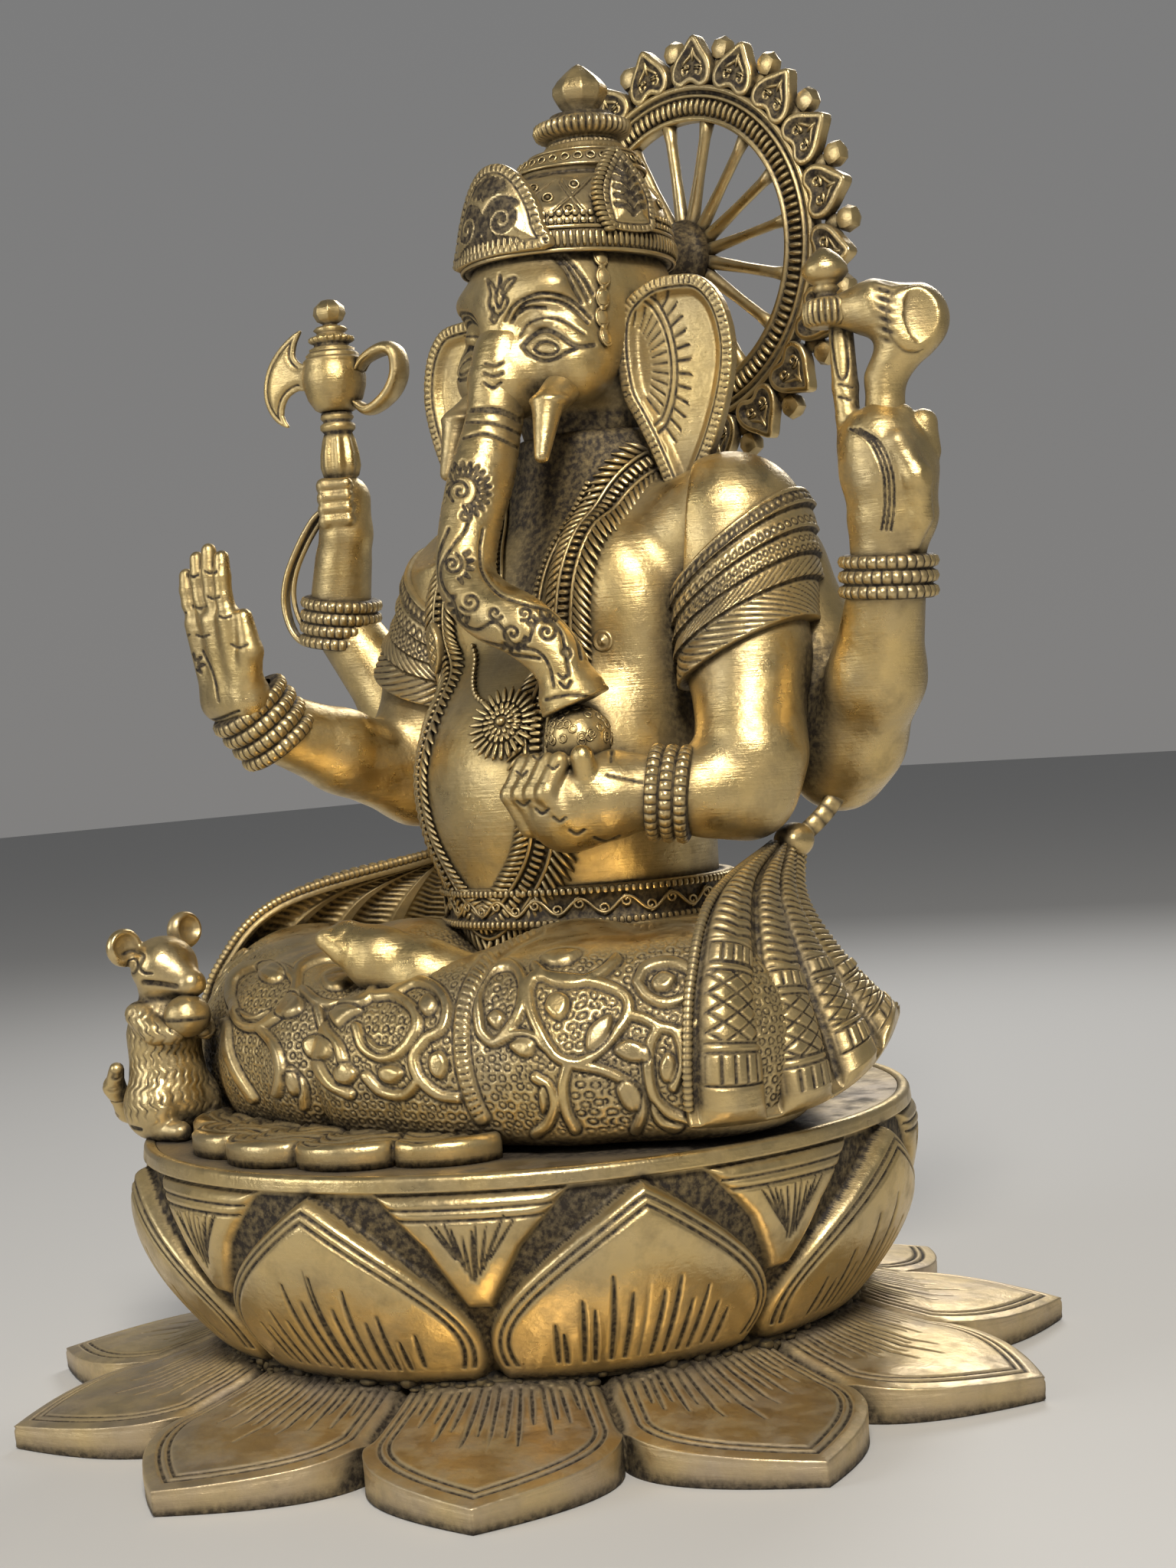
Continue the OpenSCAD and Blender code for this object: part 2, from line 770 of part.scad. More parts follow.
// Pleats over a shoulder, rolls of cloth laid side by side on its dome.
function shawl_point(outward, forward) = shoulder
    + 24.5 * [sin(outward), -cos(outward) * sin(forward), cos(outward) * cos(forward)];
module shawl_form(outward) {
    for (k = [0:3]) {
        lay = outward - 60 + 20 * k;
        limb(concat([for (forward = [-76:38:38]) shawl_point(lay, forward)],
                    [[46 + k, 25 - k, shoulder[2] - 12 - 8 * k]]), [4, 5, 5, 5, 4.5], trim_fn);
    }
}

module left_shawl() {
    color("peru") difference() {
        shawl_form(38);
        torso_form();
        front_arm_form();
        rear_left_arm_form();
        garland_form();
        head_form();
        ear_form();
    }
}

module right_shawl() {
    color("peru") difference() {
        mirror([1, 0, 0]) shawl_form(20);
        torso_form();
        right_arm_form();
        rear_right_arm_form();
        garland_form();
        head_form();
        garland_clasp_form();
        mirror([1, 0, 0]) ear_form();
    }
}

// The shawl end that falls behind the elbow and fans out over the knee.
tail_neck = [80, 44, torso_z(0.15)];
tail_pleats = 5;
function tail_foot(t) = [knee_spread + 28 + 8 * sin(180 * t) - 4 * t, -28 + 76 * t,
                         seat_height + 9 + 18 * t * t];
function tail_middle(t) = [knee_spread + 6 + 12 * t, -20 + 62 * t, seat_height + 56 - 2 * t];
module tail_form() {
    for (k = [0:tail_pleats - 1]) {
        t = k / (tail_pleats - 1);
        knee = (tail_middle(t) + tail_foot(t)) / 2 + [8 * sin(90 * (1 - t)) + 3, 0, 6];
        limb([tail_neck, tail_middle(t), knee, tail_foot(t)], [5, 6, 7, 7], trim_fn);
    }
    for (k = [0:tail_pleats - 2]) {
        from = k / (tail_pleats - 1);
        to = (k + 1) / (tail_pleats - 1);
        hull() for (p = [tail_neck, tail_middle(from), tail_middle(to)])
            translate(p) sphere(4, $fn = trim_fn);
        hull() for (p = [tail_middle(from), tail_middle(to), tail_foot(from), tail_foot(to)])
            translate(p) sphere(4, $fn = trim_fn);
    }
    limb([tail_neck, [80, 62, torso_z(0.30)]], [5, 5], trim_fn);
}

module tail_trim() {
    leg_form();
    hips_form();
    torso_form(4.2);
    translate([-300, -300, seat_height - 100]) cube([600, 600, 100]);
}

module left_shawl_tail() {
    color("peru") difference() {
        tail_form();
        tail_trim();
        front_arm_form();
        rear_left_arm_form();
    }
}

module right_shawl_tail() {
    color("peru") difference() {
        mirror([1, 0, 0]) {
            tail_form();
        }
        mirror([1, 0, 0]) tail_trim();
        right_arm_form();
        rear_right_arm_form();
    }
}

// ---------------------------------------------------------------- head

// Head sections from the neck to the crown: share of the height and share of the full width.
head_rows = [[0, 0.62], [0.08, 0.74], [0.22, 0.92], [0.40, 1], [0.60, 1], [0.80, 0.97], [1, 0.92]];
module head_form() {
    loft([for (row = head_rows) [neck_z + row[0] * (band_z - 2 - neck_z), head_half_width * row[1],
          head_half_depth * row[1], head_mid[1] + 3 * (1 - row[1])]], 24);
}

module head() {
    color("goldenrod") difference() {
        head_form();
        translate([0, 49, neck_z - 20]) cylinder(h = 40, r = dowel_radius + fit_gap);
        translate([0, crown_y - 8, band_z - 20]) cylinder(h = 30, r = dowel_radius + fit_gap);
        stub_room();
    }
}

trunk_path = [
    [0, 20, head_z - 16], [0, 9, head_z - 24], [0, 0, head_z - 36], [1, -7, head_z - 52],
    [2, -12, head_z - 68], [6, -17, head_z - 84], [17, -18, head_z - 94], [31, -16, head_z - 101],
    [40, -12, head_z - 111], [left_palm[0] - 1, left_palm[1], sweet_at[2] + 8]
];
module trunk_form() {
    r = trunk_radius;
    limb(trunk_path, [r + 4, r + 2.5, r + 1, r - 0.5, r - 0.5, r, r, r - 0.5, r - 1, r - 0.5]);
}

module trunk() {
    color("goldenrod") difference() {
        trunk_form();
        head_form();
        torso_form(0.3);
        garland_form();
        tusk_form();
        mirror([1, 0, 0]) tusk_form();
        translate(sweet_at) translate([0, 0, -16]) cube([60, 60, 20], center = true);
    }
}

module tusk_form() {
    limb([[19, 20, head_z - 26], [21, 11, head_z - 32], [22, 6, head_z - 48]], [6, 5, 2.4], limb_fn);
}

module left_tusk() {
    color("gold") difference() {
        tusk_form();
        head_form();
    }
}

module right_tusk() {
    color("gold") difference() {
        mirror([1, 0, 0]) tusk_form();
        head_form();
    }
}

ear_thickness = 5;
// Fan-shaped ear in its own plane: x is outward, y is up.
module ear_plate() {
    s = ear_reach;
    linear_extrude(ear_thickness) polygon([
        [-4, -14], [-4, 12], [0.28 * s, 19], [0.72 * s, 20], [0.94 * s, 12], [s, -3],
        [0.86 * s, -26], [0.44 * s, -56], [0.2 * s, -38], [0.04 * s, -24]
    ]);
}

module ear_form() {
    translate([head_half_width - 3, 44, head_z - 14]) rotate([90, 0, 18]) ear_plate();
}

module left_ear() {
    color("goldenrod") difference() {
        ear_form();
        head_form();
        torso_form();
        left_shoulder_room();
    }
}

// The ears clear the shoulders and the shawl below them.
module left_shoulder_room() {
    translate(shoulder) sphere(24.5, $fn = 48);
}

module right_ear() {
    color("goldenrod") difference() {
        mirror([1, 0, 0]) ear_form();
        head_form();
        torso_form();
        mirror([1, 0, 0]) left_shoulder_room();
    }
}

// ---------------------------------------------------------------- crown

crown_half_width = head_half_width - 1;
crown_half_depth = head_half_depth;

module crown_band() {
    color("gold") difference() {
        loft([
            [band_z - band_height + 2, crown_half_width + 2, crown_half_depth + 1, head_mid[1]],
            [band_z - 2, crown_half_width + 3, crown_half_depth + 2, head_mid[1]],
            [band_z + 2, crown_half_width + 2, crown_half_depth + 1, head_mid[1]]
        ], 24);
        head_form();
        crown_dome_form();
        stub_room();
    }
}

module crown_dome_form() {
    loft([
        [band_z - 2, crown_half_width - 1, crown_half_depth - 2, head_mid[1]],
        [band_z + 8, crown_half_width - 1, crown_half_depth - 2, head_mid[1] + 2],
        [band_z + 18, crown_half_width - 6, crown_half_depth - 7, head_mid[1] + 5],
        [band_z + 27, crown_half_width - 12, crown_half_depth - 15, crown_y - 4],
        [crown_top_z, 13, 13, crown_y]
    ], 24);
}

module crown_dome() {
    color("goldenrod") difference() {
        crown_dome_form();
        translate([0, crown_y - 8, band_z - 20]) cylinder(h = 30, r = dowel_radius + fit_gap);
        stub_room();
    }
}

// Front plaque: a round-topped shield standing on the band.
module crown_plaque() {
    color("gold") difference() {
        translate([0, head_mid[1] - crown_half_depth + 12, band_z + 2.2]) rotate([96, 0, 0])
            linear_extrude(9) {
                translate([0, 9]) circle(r = 16, $fn = 40);
                translate([-16, 0]) square([32, 9]);
            }
        crown_dome_form();
        translate([-60, -60, band_z - 60]) cube([120, 200, 62]);
    }
}

module crown_leaf_form() {
    translate([crown_half_width - 6, head_mid[1] - 4, band_z + 2.2]) rotate([90, 0, 78])
        linear_extrude(9) {
            translate([0, 11]) circle(r = 10, $fn = 32);
            polygon([[-8, 0], [8, 0], [9.5, 14], [0, 27], [-9.5, 14]]);
        }
}

module left_crown_leaf() {
    color("gold") difference() {
        crown_leaf_form();
        crown_dome_form();
        translate([-60, -60, band_z - 60]) cube([120, 200, 62]);
    }
}

module right_crown_leaf() {
    color("gold") difference() {
        mirror([1, 0, 0]) crown_leaf_form();
        crown_dome_form();
        translate([-60, -60, band_z - 60]) cube([120, 200, 62]);
    }
}

module crown_collar() {
    color("gold") translate([0, crown_y, crown_top_z]) rotate_extrude($fn = 48) polygon([
        [0, 0], [11, 0], [15, 3], [15, 6], [12, 8], [13, 10], [9, collar_height], [0, collar_height]
    ]);
}

module crown_finial() {
    color("gold") translate([0, crown_y, crown_top_z + collar_height]) rotate_extrude($fn = 32) polygon([
        [0, 0], [5, 0], [6.5, 2], [9.5, 5], [8.5, 9], [4, 15], [0, finial_height]
    ]);
}

// ---------------------------------------------------------------- halo

// A pointed leaf, widest a third of the way up.
module halo_leaf() {
    flank = [for (t = [0:0.2:0.8]) [8.5 * (0.6 + 0.4 * sin(270 * t)) * (1 - pow(t, 4)),
                                    halo_leaf_length * t]];
    polygon(concat(flank, [[0, halo_leaf_length]],
                   [for (k = [len(flank) - 1:-1:0]) [-flank[k][0], flank[k][1]]]));
}

module halo_plate() {
    inner = halo_rim_radius - halo_rim_width;
    difference() {
        union() {
            linear_extrude(halo_depth) difference() {
                circle(r = halo_rim_radius, $fn = 96);
                circle(r = inner, $fn = 96);
            }
            translate([0, 0, 1]) linear_extrude(halo_depth - 2) for (k = [0:halo_leaves - 1])
                rotate(360 * (k + 0.5) / halo_leaves) translate([0, halo_rim_radius - 3]) halo_leaf();
            translate([0, 0, halo_depth / 2]) for (k = [0:halo_spokes - 1])
                rotate([-90, 0, 360 * (k + 0.25) / halo_spokes]) translate([0, 0, hub_radius - 3])
                    cylinder(h = inner - hub_radius + 4.5, r1 = 2, r2 = 1.6, $fn = 16);
            cylinder(h = halo_depth, r = hub_radius);
        }
        translate([0, 0, -1]) cylinder(h = halo_depth + 2, r = 2.5 + fit_gap);
    }
}

module halo() {
    color("goldenrod") translate([0, halo_y + halo_depth / 2, halo_z]) rotate([90, 0, 0]) halo_plate();
}

// Stub between the back of the crown and the hub of the wheel.
stub_start = crown_y + 18;
module stub_room() {
    translate([0, stub_start, halo_z]) rotate([-90, 0, 0]) cylinder(h = 60, r = 6.5 + fit_gap);
}

module halo_stub() {
    length = halo_y - halo_depth / 2 - stub_start;
    color("goldenrod") difference() {
        translate([0, stub_start + fit_gap, halo_z]) rotate([-90, 0, 0]) cylinder(h = length - fit_gap, r = 6.5);
        translate([0, stub_start + 4, halo_z]) rotate([-90, 0, 0]) cylinder(h = length, r = 2.5 + fit_gap);
    }
}

module halo_screw() {
    color("darkkhaki") translate([0, halo_y + halo_depth / 2, halo_z]) rotate([90, 0, 0]) {
        translate([0, 0, -3]) cylinder(h = 3, r = 5);
        cylinder(h = halo_depth + 12, r = 2.5);
    }
}

// ---------------------------------------------------------------- hidden joinery

bolt_head = 6;
module seat_bolt() {
    length = 24 + deck_thickness + 14;
    color("silver") translate([0, figure_y, seat_height + 24 - length]) cylinder(h = length, r = bolt_radius);
}

module seat_washer() {
    color("silver") translate([0, figure_y, seat_height - deck_thickness - 2]) difference() {
        cylinder(h = 2, r = 16);
        translate([0, 0, -1]) cylinder(h = 4, r = bolt_radius + fit_gap);
    }
}

module seat_nut() {
    color("silver") translate([0, figure_y, seat_height - deck_thickness - 2 - bolt_head])
        difference() {
            cylinder(h = bolt_head, r = bolt_radius * 1.9, $fn = 6);
            translate([0, 0, -1]) cylinder(h = bolt_head + 2, r = bolt_radius + fit_gap);
        }
}

module neck_dowel() {
    color("silver") translate([0, 49, neck_z - 17.5]) cylinder(h = 37, r = dowel_radius);
}

module crown_dowel() {
    color("silver") translate([0, crown_y - 8, band_z - 19.5]) cylinder(h = 29, r = dowel_radius);
}

base_skirt();
base_seam_bead();
lotus_bowl();
lotus_deck();
dhoti_fan();
mouse();
mouse_sweet();
hips();
left_leg();
right_leg();
left_foot();
torso();
belt();
garland();
chest_brooch();
garland_clasp();
left_shawl();
right_shawl();
left_shawl_tail();
right_shawl_tail();
front_left_arm();
front_right_arm();
rear_left_arm();
rear_right_arm();
front_left_hand();
front_right_hand();
rear_left_hand();
rear_right_hand();
front_left_bracelet();
front_right_bracelet();
rear_left_bracelet();
rear_right_bracelet();
sweet_bowl();
goad();
axe_stem();
axe_pot();
axe_blade();
axe_handle();
head();
trunk();
left_tusk();
right_tusk();
left_ear();
right_ear();
crown_band();
crown_plaque();
left_crown_leaf();
right_crown_leaf();
crown_dome();
crown_collar();
crown_finial();
halo();
halo_stub();
halo_screw();
seat_bolt();
seat_washer();
seat_nut();
neck_dowel();
crown_dowel();
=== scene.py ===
"""Looks of the seated elephant-headed idol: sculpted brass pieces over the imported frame."""

import math

import bpy
import numpy as np
import openvdb
from mathutils import Matrix, Vector


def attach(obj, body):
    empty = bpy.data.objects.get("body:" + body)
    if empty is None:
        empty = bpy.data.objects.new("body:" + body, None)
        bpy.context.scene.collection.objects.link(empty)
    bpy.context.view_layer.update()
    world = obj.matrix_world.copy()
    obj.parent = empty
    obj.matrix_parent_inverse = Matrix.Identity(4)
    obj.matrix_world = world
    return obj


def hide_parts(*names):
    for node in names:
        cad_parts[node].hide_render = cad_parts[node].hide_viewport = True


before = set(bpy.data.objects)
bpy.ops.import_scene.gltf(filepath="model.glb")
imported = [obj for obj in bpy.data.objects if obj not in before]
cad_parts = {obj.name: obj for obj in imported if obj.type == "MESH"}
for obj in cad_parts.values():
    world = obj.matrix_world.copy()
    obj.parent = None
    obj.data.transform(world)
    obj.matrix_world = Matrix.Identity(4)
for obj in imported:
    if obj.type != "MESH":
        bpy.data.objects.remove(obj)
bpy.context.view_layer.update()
QUICK = 1.0
rng = np.random.default_rng(7)
A = np.array
PI = math.pi


# ------------------------------------------------------------------ fields (millimetres)
def unit(v):
    """Vectors of length 1."""
    v = np.asarray(v, float)
    return v / np.maximum(np.linalg.norm(v, axis=-1, keepdims=True), 1e-9)


def smin(a, b, k):
    """Smooth union; k is the width of the blend."""
    h = np.clip(0.5 + 0.5 * (b - a) / k, 0, 1)
    return b + (a - b) * h - k * h * (1 - h)


def smax(a, b, k):
    """Smooth cut."""
    return -smin(-a, -b, k)


def bell(d, width):
    """1 on a line, falling to nothing a width or two away from it."""
    return np.exp(-(d / width) ** 2)


def ripple(x):
    """Cosine from 0 to 1."""
    return 0.5 + 0.5 * np.cos(x)


def cone(p, a, b, ra, rb):
    """Rounded cone from a to b."""
    a, b = A(a, float), A(b, float)
    ba = b - a
    pa = p - a
    h = np.clip(pa @ ba / (ba @ ba), 0, 1)
    q = pa - h[:, None] * ba
    return np.sqrt((q * q).sum(1)) - (ra + (rb - ra) * h)


def ball(p, c, r):
    """Ellipsoid; r is one radius or three."""
    r = A(r, float) * np.ones(3)
    q = p - A(c, float)
    k0 = np.sqrt(((q / r) ** 2).sum(1))
    k1 = np.sqrt(((q / r ** 2) ** 2).sum(1)) + 1e-9
    return k0 * (k0 - 1) / k1


def turned(p, c, rot):
    """Points in a frame at c whose axes are the rows of rot."""
    return (p - A(c, float)) @ A(rot, float).T


def turn_z(angle):
    """Turns row vectors about +Z by an angle in radians."""
    c, s = math.cos(angle), math.sin(angle)
    return A([[c, s, 0], [-s, c, 0], [0, 0, 1]])


def frame_of(normal, up=(0, 0, 1)):
    """Rows: right, up, normal."""
    n = unit(A(normal, float))
    u = A(up, float)
    r = unit(np.cross(u, n))
    return A([r, np.cross(n, r), n])


def chain(p, pts, radii, k=4.0):
    """Rounded cones through the points, blended over a width k."""
    d = None
    for i in range(len(pts) - 1):
        e = cone(p, pts[i], pts[i + 1], radii[i], radii[i + 1])
        d = e if d is None else smin(d, e, k)
    return d


def poly_dist(uv, poly):
    """Signed distance to a closed 2-D polygon, negative inside."""
    poly = A(poly, float)
    a, b = poly, np.roll(poly, -1, 0)
    best = np.full(len(uv), 1e9)
    inside = np.zeros(len(uv), bool)
    for (ax, ay), (bx, by) in zip(a, b):
        ex, ey = bx - ax, by - ay
        wx, wy = uv[:, 0] - ax, uv[:, 1] - ay
        t = np.clip((wx * ex + wy * ey) / (ex * ex + ey * ey + 1e-12), 0, 1)
        best = np.minimum(best, (wx - ex * t) ** 2 + (wy - ey * t) ** 2)
        cross = ((ay <= uv[:, 1]) & (by > uv[:, 1])) | ((by <= uv[:, 1]) & (ay > uv[:, 1]))
        with np.errstate(divide="ignore", invalid="ignore"):
            xi = ax + (uv[:, 1] - ay) * ex / (ey if ey else 1e-12)
        inside ^= cross & (uv[:, 0] < xi)
    best = np.sqrt(best)
    return np.where(inside, -best, best)


def line_dist(uv, line, pad=6.0):
    """Distance to an open polyline in 2-D or 3-D, capped at pad."""
    line = A(line, float)
    out = np.full(len(uv), pad)
    lo, hi = line.min(0) - pad, line.max(0) + pad
    near = np.nonzero(((uv >= lo) & (uv <= hi)).all(1))[0]
    if len(near) == 0:
        return out
    q = uv[near]
    best = np.full(len(q), pad * pad)
    for i in range(len(line) - 1):
        e = line[i + 1] - line[i]
        w = q - line[i]
        t = np.clip(w @ e / (e @ e + 1e-12), 0, 1)
        best = np.minimum(best, ((w - t[:, None] * e) ** 2).sum(1))
    out[near] = np.sqrt(best)
    return out


def smooth_line(pts, n=6, closed=False):
    """Catmull-Rom through the points."""
    pts = A(pts, float)
    if closed:
        ext = np.vstack([pts[-1], pts, pts[0], pts[1]])
        count = len(pts)
    else:
        ext = np.vstack([2 * pts[0] - pts[1], pts, 2 * pts[-1] - pts[-2]])
        count = len(pts) - 1
    out = []
    for i in range(count):
        a, b, c, d = ext[i:i + 4]
        for t in np.arange(n) / n:
            out.append(0.5 * (2 * b + (c - a) * t + (2 * a - 5 * b + 4 * c - d) * t * t
                              + (3 * b - a - 3 * c + d) * t ** 3))
    if not closed:
        out.append(pts[-1])
    return A(out)


def resample(line, step, closed=False):
    """The same line with points at even steps."""
    line = A(line, float)
    if closed:
        line = np.vstack([line, line[:1]])
    seg = np.linalg.norm(np.diff(line, axis=0), axis=1)
    s = np.concatenate([[0], np.cumsum(seg)])
    n = max(2, int(round(s[-1] / step)))
    t = np.arange(n) / n * s[-1] if closed else np.linspace(0, s[-1], n + 1)
    return np.stack([np.interp(t, s, line[:, k]) for k in range(line.shape[1])], 1)


# ------------------------------------------------------------------ meshes
def field_mesh(f, lo, hi, h):
    """Surface of f = 0 in a box: only the blocks near the surface are evaluated."""
    h = h * QUICK
    lo, hi = A(lo, float) - 2 * h, A(hi, float) + 2 * h
    B = 8
    nb = np.ceil((hi - lo) / (h * B)).astype(int)
    gi = np.stack(np.meshgrid(*[np.arange(n) for n in nb], indexing="ij"), -1).reshape(-1, 3)
    d = f(lo + (gi + 0.5) * B * h)
    far = 3 * h
    arr = np.empty((nb[0], B, nb[1], B, nb[2], B), np.float32)
    arr[:] = (np.sign(d) * far).reshape(nb)[:, None, :, None, :, None]
    act = gi[np.abs(d) < B * h * 1.25 + 1.5]
    off = np.stack(np.meshgrid(*[np.arange(B)] * 3, indexing="ij"), -1).reshape(-1, 3)
    for s in range(0, len(act), 400):
        blk = act[s:s + 400]
        p = (lo + (blk[:, None, :] * B + off[None]) * h).reshape(-1, 3)
        v = np.clip(f(p), -far, far).reshape(len(blk), B, B, B)
        arr[blk[:, 0], :, blk[:, 1], :, blk[:, 2], :] = v
    arr = arr.reshape(nb * B)
    arr[0], arr[-1] = far, far
    arr[:, 0], arr[:, -1] = far, far
    arr[:, :, 0], arr[:, :, -1] = far, far
    g = openvdb.FloatGrid(background=far)
    g.copyFromArray(np.ascontiguousarray(arr))
    v, q = g.convertToQuads(isovalue=0.0)
    return v.astype(float) * h + lo, q.astype(np.int64)


def normals(v, f):
    """Unit normals at the vertices of a quad mesh."""
    a, b, c, d = (v[f[:, k]] for k in range(4))
    fn = np.cross(c - a, d - b)
    n = np.zeros_like(v)
    for k in range(4):
        for ax in range(3):
            n[:, ax] += np.bincount(f[:, k], fn[:, ax], len(v))
    return unit(n)


def relax(v, f, rounds=2, amount=0.5):
    """Laplacian smoothing."""
    e = np.vstack([f[:, [0, 1]], f[:, [1, 2]], f[:, [2, 3]], f[:, [3, 0]]])
    e = np.vstack([e, e[:, ::-1]])
    deg = np.bincount(e[:, 0], minlength=len(v)).astype(float)
    for _ in range(rounds):
        m = np.stack([np.bincount(e[:, 0], v[e[:, 1], k], len(v)) for k in range(3)], 1)
        v = v + amount * (m / np.maximum(deg, 1)[:, None] - v)
    return v


def grid_faces(nu, nv, wrap_u=False, wrap_v=False):
    """Quads of a grid of nu by nv vertices."""
    i = np.arange(nu if wrap_u else nu - 1)
    j = np.arange(nv if wrap_v else nv - 1)
    i, j = np.meshgrid(i, j, indexing="ij")
    i, j = i.ravel(), j.ravel()
    i2, j2 = (i + 1) % nu, (j + 1) % nv
    return np.stack([i * nv + j, i2 * nv + j, i2 * nv + j2, i * nv + j2], 1)


def merge(parts):
    """One mesh from several (vertices, faces[, groove])."""
    vs, fs, ats, n = [], [], [], 0
    for part in parts:
        v, f = part[0], part[1]
        vs.append(v)
        fs.append(f + n)
        n += len(v)
        ats.append(part[2] if len(part) > 2 else np.zeros(len(v)))
    return np.vstack(vs), np.vstack(fs), np.concatenate(ats)


def tube(path, rad, sides=8, closed=False):
    """Round tube along a path; its ends are closed to a point."""
    path = A(path, float)
    n = len(path)
    rad = np.ones(n) * rad
    t = np.roll(path, -1, 0) - np.roll(path, 1, 0) if closed else np.gradient(path, axis=0)
    t = unit(t)
    ref = np.where(np.abs(t[:, 2:3]) < 0.9, A([[0, 0, 1.0]]), A([[1.0, 0, 0]]))
    u = unit(np.cross(ref, t))
    for i in range(1, n):
        w = u[i - 1] - (u[i - 1] @ t[i]) * t[i]
        u[i] = w / max(np.linalg.norm(w), 1e-9)
    w = np.cross(t, u)
    a = np.arange(sides) / sides * 2 * PI
    ring = np.cos(a)[None, :, None] * u[:, None] + np.sin(a)[None, :, None] * w[:, None]
    v = path[:, None] + rad[:, None, None] * ring
    if closed:
        return v.reshape(-1, 3), grid_faces(n, sides, True, True)
    tip0 = np.repeat(path[:1] - t[:1] * rad[0] * 0.6, sides, 0)[None]
    tip1 = np.repeat(path[-1:] + t[-1:] * rad[-1] * 0.6, sides, 0)[None]
    v = np.concatenate([tip0, v, tip1])
    return v.reshape(-1, 3), grid_faces(n + 2, sides, False, True)


def unit_ball(n=3):
    """Cube sphere of quads."""
    parts = []
    s = np.tan(np.linspace(-PI / 4, PI / 4, n + 1))
    g = np.stack(np.meshgrid(s, s, indexing="ij"), -1).reshape(-1, 2)
    one = np.ones(len(g))
    f = grid_faces(n + 1, n + 1)
    for ax in range(3):
        for sg in (1, -1):
            q = np.zeros((len(g), 3))
            q[:, ax] = sg * one
            q[:, (ax + 1) % 3] = g[:, 0]
            q[:, (ax + 2) % 3] = g[:, 1]
            parts.append((unit(q), f if sg > 0 else f[:, ::-1]))
    v, f, _ = merge(parts)
    return v, f


BALL = unit_ball(3)
BALL2 = unit_ball(2)


def torus_unit(r, n=10, m=5):
    """Ring of radius 1 with a wire of radius r."""
    a = np.arange(n) / n * 2 * PI
    b = np.arange(m) / m * 2 * PI
    v = np.stack([np.cos(a)[:, None] * (1 + r * np.cos(b)), np.sin(a)[:, None] * (1 + r * np.cos(b)),
                  np.ones(n)[:, None] * r * np.sin(b)], -1)
    return v.reshape(-1, 3), grid_faces(n, m, True, True)


def stamp(base, centres, scale=1.0, frames=None):
    """Copies of a small mesh; frames are rows right, up, normal."""
    bv, bf = base
    centres = A(centres, float).reshape(-1, 3)
    n = len(centres)
    sc = np.ones((n, 3)) * (A(scale, float).reshape(n, -1) if np.ndim(scale) else scale)
    local = bv[None] * sc[:, None]
    if frames is not None:
        local = np.einsum("nij,njk->nik", local, A(frames, float))
    v = (centres[:, None] + local).reshape(-1, 3)
    f = (bf[None] + (np.arange(n) * len(bv))[:, None, None]).reshape(-1, 4)
    return v, f


def ring_row(radius, z, angles):
    """One row of vertices round the axis."""
    return np.stack([radius * np.cos(angles), radius * np.sin(angles), np.full(len(angles), z)], -1)[None]


def spokes(angles):
    """Outward and sideways unit vectors in the XY plane."""
    out = np.stack([np.cos(angles), np.sin(angles), 0 * angles], 1)
    return out, np.stack([-np.sin(angles), np.cos(angles), 0 * angles], 1)


def frames_at(nrm, up=(0, 0, 1)):
    """Rows right, up, normal for each normal."""
    nrm = unit(A(nrm, float).reshape(-1, 3))
    r = unit(np.cross(np.broadcast_to(A(up, float), nrm.shape), nrm))
    return np.stack([r, np.cross(nrm, r), nrm], 1)


def lathe(profile, centre, n=64, bump=None):
    """Solid of revolution about +Z through centre; profile is [radius, z] from low to high."""
    profile = A(profile, float)
    a = np.arange(n) / n * 2 * PI
    r = profile[:, 0][:, None] * np.ones(n)
    if bump is not None:
        r = r + bump(profile[:, 0][:, None], profile[:, 1][:, None], a[None])
    v = np.stack([r * np.cos(a), r * np.sin(a), profile[:, 1][:, None] * np.ones(n)], -1)
    v = v.reshape(-1, 3) + A(centre, float)
    return v, grid_faces(len(profile), n, False, True)[:, ::-1]


def face_out(v, f):
    """Turns each loose part of a mesh so that its faces look outwards."""
    part = np.arange(len(v))
    while True:
        low = part[f].min(1)
        new = part.copy()
        np.minimum.at(new, part[f].ravel(), np.repeat(low, 4))
        new = new[new]
        if (new == part).all():
            break
        part = new
    a, b, c, d = (v[f[:, i]] for i in range(4))
    size = (a * np.cross(b, c)).sum(1) + (a * np.cross(c, d)).sum(1)
    total = np.bincount(part[f[:, 0]], size, len(v))
    turned = total[part[f[:, 0]]] < 0
    return np.where(turned[:, None], f[:, ::-1], f)


def build(name, mesh, nodes, material=None):
    """Blender object from (vertices in mm, quads[, groove]) that takes the nodes' place."""
    v, f = mesh[0], face_out(mesh[0], mesh[1])
    groove = mesh[2] if len(mesh) > 2 else None
    me = bpy.data.meshes.new(name)
    me.vertices.add(len(v))
    me.loops.add(len(f) * 4)
    me.polygons.add(len(f))
    me.vertices.foreach_set("co", (v * 0.001).astype(np.float32).ravel())
    me.loops.foreach_set("vertex_index", f.astype(np.int32).ravel())
    me.polygons.foreach_set("loop_start", np.arange(len(f), dtype=np.int32) * 4)
    me.update(calc_edges=True)
    me.validate()
    me.polygons.foreach_set("use_smooth", np.full(len(me.polygons), True))
    at = me.attributes.new("groove", "FLOAT", "POINT")
    if groove is not None and len(me.vertices) == len(v):
        at.data.foreach_set("value", np.clip(groove, 0, 1).astype(np.float32))
    me.materials.append(material or chased)
    ob = bpy.data.objects.new(name, me)
    bpy.context.scene.collection.objects.link(ob)
    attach(ob, "root")
    if nodes:
        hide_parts(*nodes)
    return ob


